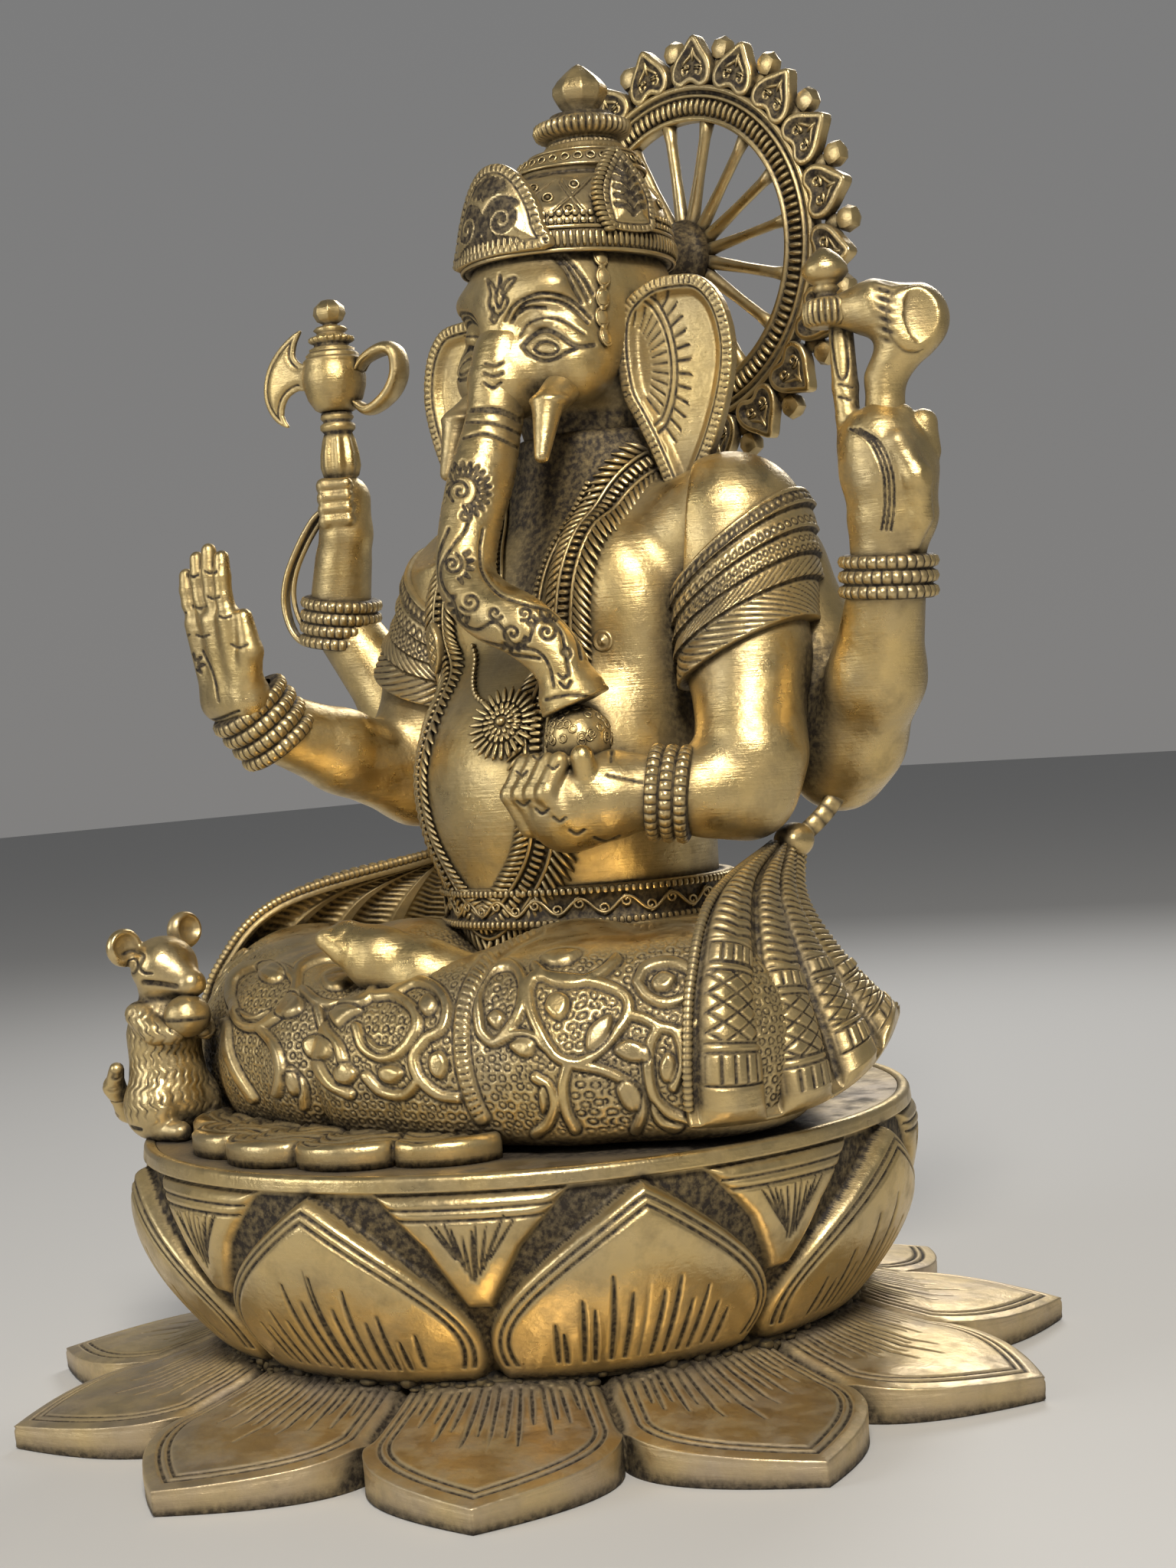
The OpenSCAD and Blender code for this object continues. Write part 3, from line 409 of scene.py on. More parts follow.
# ------------------------------------------------------------------ the eye (millimetres)
CAM = A([569.0, -528.0, 199.0])
YAW, PITCH, ROLL = math.radians(45.19), math.radians(1.282), math.radians(-4.261)
FOCAL, VIEW_WIDTH = 3224.5, 1536      # focal length and width of the view in the same unit
SENSOR = 36
fw = A([-math.sin(YAW) * math.cos(PITCH), math.cos(YAW) * math.cos(PITCH), -math.sin(PITCH)])
rt = A([math.cos(YAW), math.sin(YAW), 0])
up = np.cross(rt, fw)
rt, up = rt * math.cos(ROLL) + up * math.sin(ROLL), up * math.cos(ROLL) - rt * math.sin(ROLL)


REACH = 778.0      # from the eye to the figure's axis


def drawing_plane(p):
    """Ornament is drawn on the upright plane through the figure's axis that faces the eye.

    Gives millimetres right and up from the eye's line, and how much larger or smaller they are at p."""
    d = A(p, float) - CAM
    z = d @ fw
    return np.stack([REACH * (d @ rt) / z, REACH * (d @ up) / z], -1), z / REACH


# ------------------------------------------------------------------ materials
def brass(name, gold, dark, rough, dirt_and_shade, scratch, tone=0.0, cavity=0.006):
    """Cast brass, darkened where ambient occlusion finds it enclosed within cavity metres (dark patina in
    the hollows, and painted shade in armpits, under the chin and between pieces), with a blotchy dark film
    and engraved lines.
    """
    m = bpy.data.materials.new(name)
    m.use_nodes = True
    tree = m.node_tree
    tree.nodes.clear()
    node = tree.nodes.new
    link = tree.links.new
    out = node("ShaderNodeOutputMaterial")
    shader = node("ShaderNodeBsdfPrincipled")
    link(shader.outputs[0], out.inputs[0])
    coords = node("ShaderNodeTexCoord")

    def noise(scale, detail=3.0, rough_share=0.55, stretch=None):
        n = node("ShaderNodeTexNoise")
        n.inputs["Scale"].default_value = scale
        n.inputs["Detail"].default_value = detail
        n.inputs["Roughness"].default_value = rough_share
        if stretch:
            mapping = node("ShaderNodeMapping")
            mapping.inputs["Scale"].default_value = stretch
            mapping.inputs["Rotation"].default_value = (0.35, 0.5, 0.9)
            link(coords.outputs["Object"], mapping.inputs[0])
            link(mapping.outputs[0], n.inputs["Vector"])
        else:
            link(coords.outputs["Object"], n.inputs["Vector"])
        return n.outputs[0]

    def ramp(fac, stops):
        r = node("ShaderNodeValToRGB")
        stops_made = r.color_ramp.elements
        while len(stops_made) < len(stops):
            stops_made.new(0.5)
        for e, (pos, c) in zip(stops_made, stops):
            e.position = pos
            e.color = (c, c, c, 1) if np.isscalar(c) else (*c, 1)
        link(fac, r.inputs[0])
        return r.outputs[0]

    def calc(op, a, b=None, clamp=False):
        n = node("ShaderNodeMath")
        n.operation = op
        n.use_clamp = clamp
        for i, x in enumerate((a, b)):
            if x is None:
                continue
            if isinstance(x, (int, float)):
                n.inputs[i].default_value = x
            else:
                link(x, n.inputs[i])
        return n.outputs[0]

    def mix(fac, a, b):
        n = node("ShaderNodeMix")
        n.data_type = "RGBA"
        link(fac, n.inputs[0])
        for sock, x in ((n.inputs[6], a), (n.inputs[7], b)):
            if isinstance(x, tuple):
                sock.default_value = (*x, 1)
            else:
                link(x, sock)
        return n.outputs[2]

    # Ambient occlusion darkens the colour: dark patina in small hollows, and painted shade wherever the
    # surface is enclosed, as in armpits, under the chin and between pieces.
    ao = node("ShaderNodeAmbientOcclusion")
    ao.samples = 6
    ao.inputs["Distance"].default_value = cavity
    cavities = ramp(ao.outputs["AO"], [(0.48, 1.0), (0.93, 0.0)])
    groove = node("ShaderNodeAttribute")
    groove.attribute_name = "groove"
    blotches = noise(95, 4, 0.6)
    fine = noise(520, 3, 0.6)
    lines = calc("MULTIPLY", groove.outputs["Fac"], 1.35, True)
    dark_share = calc("MAXIMUM", cavities, lines)
    dark_share = calc("MULTIPLY", dark_share, ramp(fine, [(0.25, 0.72), (0.6, 1.0)]))
    film = ramp(blotches, [(0.46, 0.0), (0.74, 0.45)])
    film = calc("MULTIPLY", film, dirt_and_shade)
    dark_share = calc("MAXIMUM", dark_share, film, True)
    tint = mix(ramp(noise(38, 3, 0.6), [(0.35, 0.0), (0.7, 1.0)]), gold,
               (gold[0] * 0.80, gold[1] * 0.84, gold[2] * (1.02 + tone)))
    colour = mix(dark_share, tint, dark)
    link(colour, shader.inputs["Base Color"])
    link(ramp(dark_share, [(0.0, 1.0), (1.0, 0.30)]), shader.inputs["Metallic"])
    roughness = calc("ADD", calc("MULTIPLY", noise(210, 4, 0.65), 0.22), rough - 0.08)
    roughness = calc("ADD", roughness, calc("MULTIPLY", dark_share, 0.38), True)
    link(roughness, shader.inputs["Roughness"])
    scratches = node("ShaderNodeBump")
    scratches.inputs["Strength"].default_value = 0.35 * scratch
    scratches.inputs["Distance"].default_value = 0.0006
    link(noise(60, 5, 0.7, (1.0, 1.0, 22.0)), scratches.inputs["Height"])
    dents = node("ShaderNodeBump")
    dents.inputs["Strength"].default_value = 0.35
    dents.inputs["Distance"].default_value = 0.0008
    link(noise(240, 4, 0.6), dents.inputs["Height"])
    link(scratches.outputs[0], dents.inputs["Normal"])
    link(dents.outputs[0], shader.inputs["Normal"])
    return m


GOLD = (0.74, 0.55, 0.245)
DARK = (0.022, 0.015, 0.009)
# The 14 mm occlusion distance of polished brass paints shade into armpits, under the chin and under the
# arms.
polished = brass("polished_brass", (0.72, 0.53, 0.225), DARK, 0.26, 1.1, 0.9, 0.0, 0.014)
chased = brass("chased_brass", GOLD, DARK, 0.27, 1.0, 0.35, 0.0, 0.007)
worn = brass("worn_brass", (0.74, 0.57, 0.30), DARK, 0.38, 0.9, 0.9, 0.12, 0.008)
dull = brass("dull_brass", (0.40, 0.31, 0.175), DARK, 0.46, 1.5, 0.9, 0.05, 0.010)
black = brass("blackened_brass", (0.22, 0.16, 0.07), (0.010, 0.008, 0.006), 0.5, 2.0, 0.3)


def steel_material():
    """Plain steel of the bolts and dowels."""
    """Plain steel of the bolts and dowels."""
    m = bpy.data.materials.new("fastener_steel")
    m.use_nodes = True
    tree = m.node_tree
    shader = tree.nodes["Principled BSDF"]
    shader.inputs["Metallic"].default_value = 1.0
    noise = tree.nodes.new("ShaderNodeTexNoise")
    noise.inputs["Scale"].default_value = 400
    coords = tree.nodes.new("ShaderNodeTexCoord")
    tree.links.new(coords.outputs["Object"], noise.inputs["Vector"])
    shades = tree.nodes.new("ShaderNodeValToRGB")
    shades.color_ramp.elements[0].color = (0.30, 0.30, 0.30, 1)
    shades.color_ramp.elements[1].color = (0.48, 0.47, 0.46, 1)
    tree.links.new(noise.outputs[0], shades.inputs[0])
    tree.links.new(shades.outputs[0], shader.inputs["Base Color"])
    roughness = tree.nodes.new("ShaderNodeMapRange")
    roughness.inputs[3].default_value = 0.25
    roughness.inputs[4].default_value = 0.5
    tree.links.new(noise.outputs[0], roughness.inputs[0])
    tree.links.new(roughness.outputs[0], shader.inputs["Roughness"])
    return m


def paint(name, material):
    """Gives a CAD piece that stays visible its material."""
    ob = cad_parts[name]
    ob.data.materials.clear()
    ob.data.materials.append(material)


steel = steel_material()
for name in ("seat_bolt", "seat_washer", "seat_nut", "neck_dowel", "crown_dowel", "halo_screw"):
    paint(name, steel)
paint("lotus_deck", dull)

# ------------------------------------------------------------------ sizes shared with the frame
HIPS = 136.0       # height of the waist
NECK = 292.0
TORSO = NECK - HIPS
DECK = 83.2        # height at which the cloth rests on the deck


def tz(s):
    """Height at a share of the torso."""
    return HIPS + TORSO * s


# share of the torso's height, half width, half depth, middle along Y
TORSO_ROWS = A([[-0.02, 46, 40, 34], [0.08, 46, 41, 32], [0.20, 49, 43, 29], [0.34, 50, 43, 29],
                [0.46, 50, 40, 33], [0.58, 56, 37, 45], [0.70, 56, 35, 49], [0.80, 50, 31, 51],
                [0.90, 34, 26, 51], [1.02, 25, 22, 49]])


def torso_profile():
    """Heights, and the smoothed half width, half depth and middle of the torso at them."""
    rows_z = tz(TORSO_ROWS[:, 0])
    z = np.linspace(rows_z[0], rows_z[-1], 200)
    soft = np.exp(-0.5 * (np.arange(-15, 16) / 6.0) ** 2)
    soft /= soft.sum()
    curves = []
    for k in (1, 2, 3):
        row = np.interp(z, rows_z, TORSO_ROWS[:, k])
        curves.append(np.convolve(np.pad(row, 15, mode="edge"), soft, mode="valid"))
    return z, curves


TORSO_Z, TORSO_CURVES = torso_profile()


def torso_d(p):
    """Plain torso, cut flat at the waist and the neck."""
    a, b, m = (np.interp(p[:, 2], TORSO_Z, r) for r in TORSO_CURVES)
    x, y = p[:, 0], p[:, 1] - m
    k0 = np.sqrt((x / a) ** 2 + (y / b) ** 2)
    k1 = np.sqrt((x / a ** 2) ** 2 + (y / b ** 2) ** 2) + 1e-9
    d = k0 * (k0 - 1) / k1
    return smax(d, np.maximum(HIPS - 4 - p[:, 2], p[:, 2] - NECK - 2), 3)


def torso_full(p):
    """Torso with the chest, the shoulders and the round belly."""
    d = torso_d(p)
    for s in (1, -1):
        d = smin(d, ball(p, (27 * s, 25, 236), (24, 15, 27)), 9)
        d = smin(d, ball(p, (50 * s, 50, 256), (20, 22, 22)), 10)
    d = smin(d, ball(p, (0, 27, 184), (47, 43, 40)), 8)
    return d


def on_front(fn, xz, y0=-80.0, y1=60.0):
    """Marches from the front (-Y) onto a field: points [x, z] -> surface points."""
    xz = A(xz, float).reshape(-1, 2)
    p = np.stack([xz[:, 0], np.full(len(xz), y0), xz[:, 1]], 1)
    for _ in range(60):
        d = fn(p)
        p[:, 1] += np.clip(d, -2, 6) * 0.8
        p[:, 1] = np.minimum(p[:, 1], y1)
    return p


def grad(fn, p, e=0.4):
    """Unit normals of a field at points."""
    g = np.stack([fn(p + e * A(ax)) - fn(p - e * A(ax)) for ax in ([1, 0, 0], [0, 1, 0], [0, 0, 1])], 1)
    return unit(g)


# limb points of the figure's left side
SHOULDER = A([58, 51, 257.7])
ELBOW, LEFT_WRIST, LEFT_PALM = A([76, 28, 178.0]), A([66, 6, 178.0]), A([45, -9, 181.0])
RIGHT_WRIST = A([-86, -26, 209.0])
RIGHT_PALM = RIGHT_WRIST + A([-4, -16, 21.0])
REAR_ELBOW = A([82, 66, 184.0])
REAR_LEFT_WRIST, REAR_LEFT_FIST = A([121, 47, 237.0]), A([124, 46, 267.0])
REAR_RIGHT_WRIST, REAR_RIGHT_FIST = A([-125, 42, 244.0]), A([-116, 41, 287.0])
MIRROR = A([-1.0, 1.0, 1.0])


def side_of(side):
    """Factor that mirrors a left piece to the right."""
    return MIRROR if side == "right" else A([1.0, 1, 1])


def front_left_d(p):
    """Arm bent at the elbow, its hand before the belly."""
    upper = (SHOULDER + ELBOW) / 2 + [4, 0, 0]
    d = chain(p, [SHOULDER, SHOULDER + [4, -2, -14], upper, ELBOW + [2, 2, 10], ELBOW],
              [24, 21.5, 18.5, 16, 15], 5)
    d = smin(d, chain(p, [ELBOW, (ELBOW + LEFT_WRIST) / 2, LEFT_WRIST], [15, 13.5, 11], 4), 5)
    return d


def front_right_d(p):
    """Arm raised with its palm open."""
    e = ELBOW * MIRROR + [0, 2, 8]
    s = SHOULDER * MIRROR
    upper = (s + e) / 2 - [4, 0, 0]
    d = chain(p, [s, s + [-4, -2, -14], upper, e + [-1, 2, 10], e], [24, 21.5, 18.5, 16, 15], 5)
    return smin(d, chain(p, [e, (e + RIGHT_WRIST) / 2, RIGHT_WRIST], [15, 13.8, 11], 4), 5)


def rear_d(p, wrist):
    """Rear arm up to the given wrist, on the left side."""
    root = SHOULDER + [2, 12, -14]
    d = chain(p, [root, (root + REAR_ELBOW) / 2 + [3, 2, 0], REAR_ELBOW, REAR_ELBOW + [9, -3, 6],
                  (REAR_ELBOW + wrist) / 2 + [5, 0, -2], wrist],
              [19, 17.5, 15, 15, 14, 11], 5)
    return smin(d, chain(p, [root, root + [-8, 0, -2], root + [-14, 0, -6]], [19, 18, 14], 4), 4)


def box_of(pts, pad):
    """Box round the points, wider by pad."""
    pts = A(pts, float)
    return pts.min(0) - pad, pts.max(0) + pad


def body_piece(name, f, lo, hi, h, nodes, mat, slot, carve=None):
    """Meshes a field in a box, engraves it with carve(vertices, normals) and builds it."""
    v, q = field_mesh(f, lo, hi, h)
    v = relax(v, q, 1, 0.5)
    g = np.zeros(len(v))
    if carve is not None:
        v, g = carve(v, normals(v, q))
    return build(name, (v, q, g), nodes, mat)


# ------------------------------------------------------------------ hips, legs, foot
def leg_d(p):
    """Folded left leg."""
    k = A([86, -14, 104.0])
    d = cone(p, (40, 30, 106), k, 31.5, 35.5)
    d = smin(d, chain(p, [k, (64, -36, 104), (38, -50, 104), (12, -60, 104)], [35.5, 32.5, 30.5, 26.5], 4),
             5)
    d = smin(d, chain(p, [(40, 30, 106), (38, -10, 106), (14, -34, 104)], [31.5, 33.5, 29.5], 4), 6)
    d = smin(d, cone(p, (38, -10, 106), (64, -30, 106), 33.5, 32.5), 6)
    d = smin(d, cone(p, (38, -10, 106), (38, -46, 104), 33.5, 30.5), 6)
    d = smax(d, -4 - p[:, 0], 1)
    return smax(d, DECK - p[:, 2], 7)


def leg_right_d(p):
    """The same leg on the right."""
    return leg_d(p * MIRROR)


def hips_d(p):
    """Seat of the figure."""
    q = p.copy()
    d = cone(q, (-20, 34, 100), (20, 34, 100), 42, 42)
    d = smin(d, cone(q, (-16, 34, 130), (16, 34, 130), 38, 38), 10)
    d = smin(d, smin(cone(q, (-46, 40, 102), (-30, 30, 100), 33, 30),
                     cone(q, (46, 40, 102), (30, 30, 100), 33, 30), 4), 8)
    return smax(smax(d, DECK - p[:, 2], 5), p[:, 2] - 140, 3)


def foot_d(p):
    """Foot with five toes."""
    an, ba = A([34, -50, 124.0]), A([10, -64, 136.0])
    d = chain(p, [an, (an + ba) / 2, ba, ba + [-9, -4, 5]], [12, 11, 9.5, 7], 3)
    for k in range(5):
        d = smin(d, cone(p, ba + [-6, 8 - 4 * k, 3], ba + [-17 + 1.4 * k, 3 - 3.4 * k, 7], 4.2, 3.1), 1.2)
    return d


def make_legs():
    """Legs, hips and the foot that shows."""
    for node, f, lo, hi, h, carve in (
            ("left_leg", leg_d, (-6, -92, 80), (124, 66, 146), 0.6, carve_leg),
            ("right_leg", leg_right_d, (-124, -92, 80), (6, 66, 146), 0.6, carve_leg),
            ("hips", hips_d, (-82, -12, 80), (82, 80, 144), 1.0, carve_hips)):
        body_piece(node + "_cloth", f, lo, hi, h, [node], chased, "chased_brass", carve)
    skin_piece("left_foot", foot_d, box_of([(34, -50, 124), (10, -64, 136), (-10, -70, 146)], 15), 0.7)


def carve_hips(v, n):
    """Pleats of cloth round the back of the hips."""
    a = np.degrees(np.arctan2(v[:, 0], v[:, 1] - 20))
    w = 0.5 + 0.5 * np.sin(a * 0.6 + 0.10 * v[:, 2])
    back = np.clip((v[:, 1] - 30) / 12, 0, 1)
    d = back * (w ** 3) * 1.4
    return v - n * d[:, None], back * w ** 6 * 0.8


# ------------------------------------------------------------------ torso and arms
def make_body():
    """Torso and the four arms."""
    skin_piece("torso", torso_full, (A([-76, -24, 128]), A([76, 92, 296])), 1.0, carve_torso)
    skin_piece("front_left_arm", lambda p: smax(front_left_d(p), past(p, LEFT_WRIST, LEFT_PALM), 0.5),
               box_of([SHOULDER, ELBOW, LEFT_WRIST], 27), 0.9)
    skin_piece("front_right_arm", lambda p: smax(front_right_d(p), past(p, RIGHT_WRIST, RIGHT_PALM), 0.5),
               box_of([SHOULDER * MIRROR, ELBOW * MIRROR, RIGHT_WRIST], 27), 0.9)
    roots = [SHOULDER + [0, 12, -14], SHOULDER + [-14, 12, -20], REAR_ELBOW]
    skin_piece("rear_left_arm",
               lambda p: smax(rear_d(p, REAR_LEFT_WRIST), near_wrist(p, REAR_LEFT_WRIST, REAR_LEFT_FIST),
                              0.5),
               box_of(roots + [REAR_LEFT_WRIST], 30), 0.9)
    skin_piece("rear_right_arm",
               lambda p: smax(rear_d(p * MIRROR, REAR_RIGHT_WRIST * MIRROR),
                              near_wrist(p, REAR_RIGHT_WRIST, REAR_RIGHT_FIST), 0.5),
               box_of([q * MIRROR for q in roots] + [REAR_RIGHT_WRIST], 30), 0.9)


def past(p, w, h):
    """Positive past the wrist plane, towards the hand."""
    return (p - w) @ unit(h - w) - 2.0


def near_wrist(p, w, h):
    """The wrist plane, kept within 35 mm of the wrist so that it leaves the shoulder whole."""
    return np.minimum(past(p, w, h), 35 - np.linalg.norm(p - w, axis=1))


def skin_piece(node, f, box, h, carve=None, ending="_skin"):
    """Polished casting that takes the place of one node."""
    body_piece(node + ending, f, *box, h, [node], polished, "skin_brass", carve)


def bracelet_piece(name, node, w, h, width, rows):
    """Rows of ribs round the wrist w, across the line to the hand h."""
    ax = unit(h - w)
    fr = frame_of(ax, (0.1, 0.2, 1) if abs(ax[2]) < 0.9 else (0, 1, 0))
    row = width / rows
    prof = [[10.6, -width / 2]]
    for k in range(rows):
        z0 = -width / 2 + row * k
        prof += [[13.0, z0 + 0.15], [14.2, z0 + row * 0.18], [14.7, z0 + row * 0.5],
                 [14.2, z0 + row * 0.82], [13.0, z0 + row - 0.15]]
    prof.append([10.6, width / 2])

    def rib(r, z, ang):
        ph = np.floor((z + width / 2) / row)
        return np.where(r > 13.5, 0.55 * np.abs(np.cos(ang * 15 + ph * PI / 2)) - 0.35, 0)

    v, f = lathe(prof, (0, 0, 0), 360, rib)
    ang = np.arctan2(v[:, 1], v[:, 0])
    ph = np.floor((v[:, 2] + width / 2) / row)
    g = np.clip((13.6 - np.linalg.norm(v[:, :2], axis=1)) / 0.5, 0, 1)
    g = np.maximum(g, np.abs(np.sin(ang * 15 + ph * PI / 2)) ** 14)
    build(name, (v @ fr + w, f, g), [node])


# ------------------------------------------------------------------ hands
def cupped_d(p):
    """Hand cupped under the sweet."""
    d = cone(p, LEFT_WRIST, LEFT_WRIST + (LEFT_PALM - LEFT_WRIST) * 0.7, 10.8, 12)
    d = smin(d, chain(p, [LEFT_PALM + [6, 2, -3], LEFT_PALM + [-4, -3, -4], LEFT_PALM + [-11, -3, -2]],
                      [13, 14, 10.5], 3), 4)
    for k in range(4):
        d = smin(d, chain(p, [LEFT_PALM + [-12 + 5 * k, -12, -10 + k], LEFT_PALM + [-15 + 5 * k, -16, 0],
                              LEFT_PALM + [-12 + 5 * k, -12.5, 9]],
                          [3.5, 3.4, 3.0], 1), 1.0)
    d = smin(d, cone(p, LEFT_PALM + [8, -6, 0], LEFT_PALM + [9, -9, 10], 4, 3.5), 1.2)
    return smax(d, -((p - LEFT_WRIST) @ unit(LEFT_PALM - LEFT_WRIST)) - 1.0, 0.5)


def palm_d(p):
    """Upright open hand."""
    base = RIGHT_WRIST + [-1, -10, 8]
    top = base + [-1, -6, 26]
    d = smin(cone(p, RIGHT_WRIST, RIGHT_WRIST + (RIGHT_PALM - RIGHT_WRIST) * 0.5, 10.5, 9),
             cone(p, base + [7, 0, 0], base + [-8, 0, 0], 6.5, 6), 4)
    d = smin(d, smin(cone(p, base + [7, 0, 0], top + [9, 0, 0], 6.3, 4.5),
                     cone(p, base + [-8, 0, 0], top + [-9, 0, 0], 6, 4.2), 3), 4)
    d = smin(d, cone(p, base, top, 6.0, 4.5), 4)
    for k in range(4):
        root = top + [8.4 - 5.6 * k, 0, 1]
        reach = [19, 22, 20, 15][k]
        d = smin(d, chain(p, [root, root + [-1 + .5 * (1 - k), -1, reach * .36],
                              root + [-1 + .7 * (1 - k), -1.2, reach * .68],
                              root + [-1 + (1 - k), -1, reach]], [3.3, 2.9, 2.95, 2.5], 0.7), 1.2)
    d = smin(d, chain(p, [base + [10, -2, 6], base + [15, -4, 15], base + [14, -5, 26]], [4.6, 4, 3], 1.5),
             2)
    return smax(d, -((p - RIGHT_WRIST) @ unit(RIGHT_PALM - RIGHT_WRIST)) - 1.0, 0.5)


FINGER = [A([-8, -5, 8.0]), A([-10, -4, 26.0]), A([-11, -3, 44.0])]


def fist_left_d(p):
    """Fist with one raised finger."""
    F = REAR_LEFT_FIST
    d = smin(cone(p, REAR_LEFT_WRIST, REAR_LEFT_WRIST + (F - REAR_LEFT_WRIST) * 0.5, 10.8, 11.5),
             chain(p, [F + [0, 0, -10], F, F + [1, -2, 8]], [11.5, 13, 11], 3), 4)
    out, near = A([0.705, 0.709, 0]), A([0.709, -0.705, 0])

    def at(a, b, c=0.0):
        return F + out * a + near * c + A([0, 0, b])

    d = smin(d, chain(p, [at(-3, 8), at(1, 2), at(3, -12)], [10.5, 13, 11], 3), 4)
    for a, b in ((-2, 16), (4.5, 15), (11, 13)):
        d = smin(d, chain(p, [at(a + 0.5, b - 8, 3), at(a, b, 3), at(a - 0.5, b + 1, -4)], [4.2, 4.0, 3.4],
                          1), 0.9)
    d = smin(d, chain(p, [at(-5, 10, 9), at(2, 7, 12), at(6.5, -3, 12.5), at(7, -14, 9), at(5, -22, 7)],
                      [2.4, 3.6, 4.6, 4.0, 2.2], 1.5), 1.0)
    fp = [F + q for q in FINGER]
    d = smin(d, chain(p, [fp[0], (fp[0] + fp[1]) / 2 + [0, -.6, 0], fp[1], fp[2]], [4.4, 3.5, 3.9, 3.6],
                      0.8), 1.5)
    return smax(d, -((p - REAR_LEFT_WRIST) @ unit(F - REAR_LEFT_WRIST)) - 1.0, 0.5)


def fist_right_d(p):
    """Fist closed round the axe's stem."""
    F, W = REAR_RIGHT_FIST, REAR_RIGHT_WRIST
    d = smin(cone(p, W, W + (F - W) * 0.5, 10.5, 9.5),
             chain(p, [W + [1, 0, 10], F + [-1, 0, -12], F], [10, 9, 9], 3), 3)
    for k in range(4):
        d = smin(d, chain(p, [F + [-6, -5, 5 - 4.2 * k], F + [0, -9.5, 5 - 4.2 * k],
                              F + [7, -5, 5 - 4.2 * k]],
                          [2.6, 2.6, 2.4], 1), 0.6)
    return smax(d, -((p - W) @ unit(F - W)) - 1.0, 0.5)


def make_hands():
    """Four hands and their bracelets."""
    skin_piece("front_left_hand", cupped_d,
               box_of([LEFT_WRIST, LEFT_PALM + [-15, -16, 0], LEFT_PALM + [8, -9, 10]], 15), 0.6,
               carve_hand)
    skin_piece("front_right_hand", palm_d,
               box_of([RIGHT_WRIST, RIGHT_WRIST + [10, -18, 60], RIGHT_WRIST + [-16, -18, 56]], 12), 0.55,
               carve_hand)
    skin_piece("rear_left_hand", fist_left_d,
               box_of([REAR_LEFT_WRIST, REAR_LEFT_FIST, REAR_LEFT_FIST + FINGER[2]], 17), 0.6, carve_hand)
    skin_piece("rear_right_hand", fist_right_d,
               box_of([REAR_RIGHT_WRIST, REAR_RIGHT_FIST + [0, -10, 5]], 14), 0.6, carve_hand)
    for arm, wrist, hand, width, rows in (("front_left", LEFT_WRIST, LEFT_PALM, 13, 3),
                                          ("front_right", RIGHT_WRIST, RIGHT_PALM, 20, 4),
                                          ("rear_left", REAR_LEFT_WRIST, REAR_LEFT_FIST, 13, 3),
                                          ("rear_right", REAR_RIGHT_WRIST, REAR_RIGHT_FIST, 18, 4)):
        bracelet_piece(arm + "_bracelet_rows", arm + "_bracelet", wrist, hand, width, rows)


def sweet_ball():
    """Ball sweet dotted with rings."""
    c = LEFT_PALM + [-1, 0, 15]
    v, f = stamp(unit_ball(14), [c], 10.0)
    th = rng.uniform(0, 2 * PI, 90)
    ct = rng.uniform(-0.2, 1, 90)
    dirs = np.stack([np.sqrt(1 - ct ** 2) * np.cos(th), np.sqrt(1 - ct ** 2) * np.sin(th), ct], 1)
    t = stamp(torus_unit(0.32, 8, 4), c + dirs * 10, 1.15, frames_at(dirs))
    build("sweet_ball", merge([(v, f), t]), ["sweet_bowl"])


# ------------------------------------------------------------------ head and trunk
TRUNK = A([[0, 15, 319], [0, 10.5, 308], [0, 7, 296], [0.5, 0, 280], [2, -8, 264], [6, -14.5, 248],
           [17, -17, 238], [31, -16, 231], [40, -12, 221],
           [44, -9, 207]], float)
TRUNK_RADII = A([10.4, 9.0, 8.7, 10.0, 9.3, 8.9, 9.3, 9.0, 8.0, 7.6])
TRUNK_LINE = smooth_line(np.hstack([TRUNK, TRUNK_RADII[:, None]]), 4)


def trunk_d(p):
    """Trunk that hangs down and bends to the figure's left."""
    d = None
    for i in range(len(TRUNK_LINE) - 1):
        a, b = TRUNK_LINE[i], TRUNK_LINE[i + 1]
        e = cone(p, a[:3], b[:3], a[3], b[3])
        d = e if d is None else smin(d, e, 1.5)
    tip, back = TRUNK[-1], unit(TRUNK[-2] - TRUNK[-1])
    d = smin(d, cone(p, tip + back * 1.5, tip + back * 0.5, 10.6, 10.9), 1.5)
    return smax(d, (p - tip) @ (-back) - 0.5, 0.8)


def skull_d(p):
    """Head with cheeks, brows and eyes."""
    d = ball(p, (0, 48, 334), (31, 35, 34))
    d = smin(d, ball(p, (0, 34, 334), (25, 25, 25)), 8)
    d = smin(d, cone(p, (0, 48, 300), (0, 47, 320), 21, 27), 8)
    for s in (1, -1):
        d = smin(d, ball(p, (19 * s, 27, 315), (11.5, 13, 13)), 6)
        d = smin(d, ball(p, (14 * s, 19.5, 338), (10, 6.5, 5)), 5)
    d = smin(d, cone(p, (0, 22, 322), (0, 14, 310), 12.5, 12.5), 7)
    for s in (1, -1):
        d = smax(d, 4.5 - np.sqrt(((p[:, 0] - 14.5 * s) / 1.7) ** 2 + (p[:, 1] - 9.5) ** 2
                                  + ((p[:, 2] - 327) / 1.1) ** 2), 3)
        d = smin(d, ball(p, (14.5 * s, 18.8, 327), (6.4, 5.2, 4.0)), 0.8)
    return smax(d, 290 - p[:, 2], 2)


def tusk_d(p):
    """Horn with a ringed root."""
    horn = chain(p, [(19, 20, 306), (21, 11, 300), (22, 6, 284)], [5.8, 4.9, 2.4], 1)
    return smin(horn, ball(p, (20.6, 12.5, 301.5), (6.6, 6.6, 2.6)), 0.6)


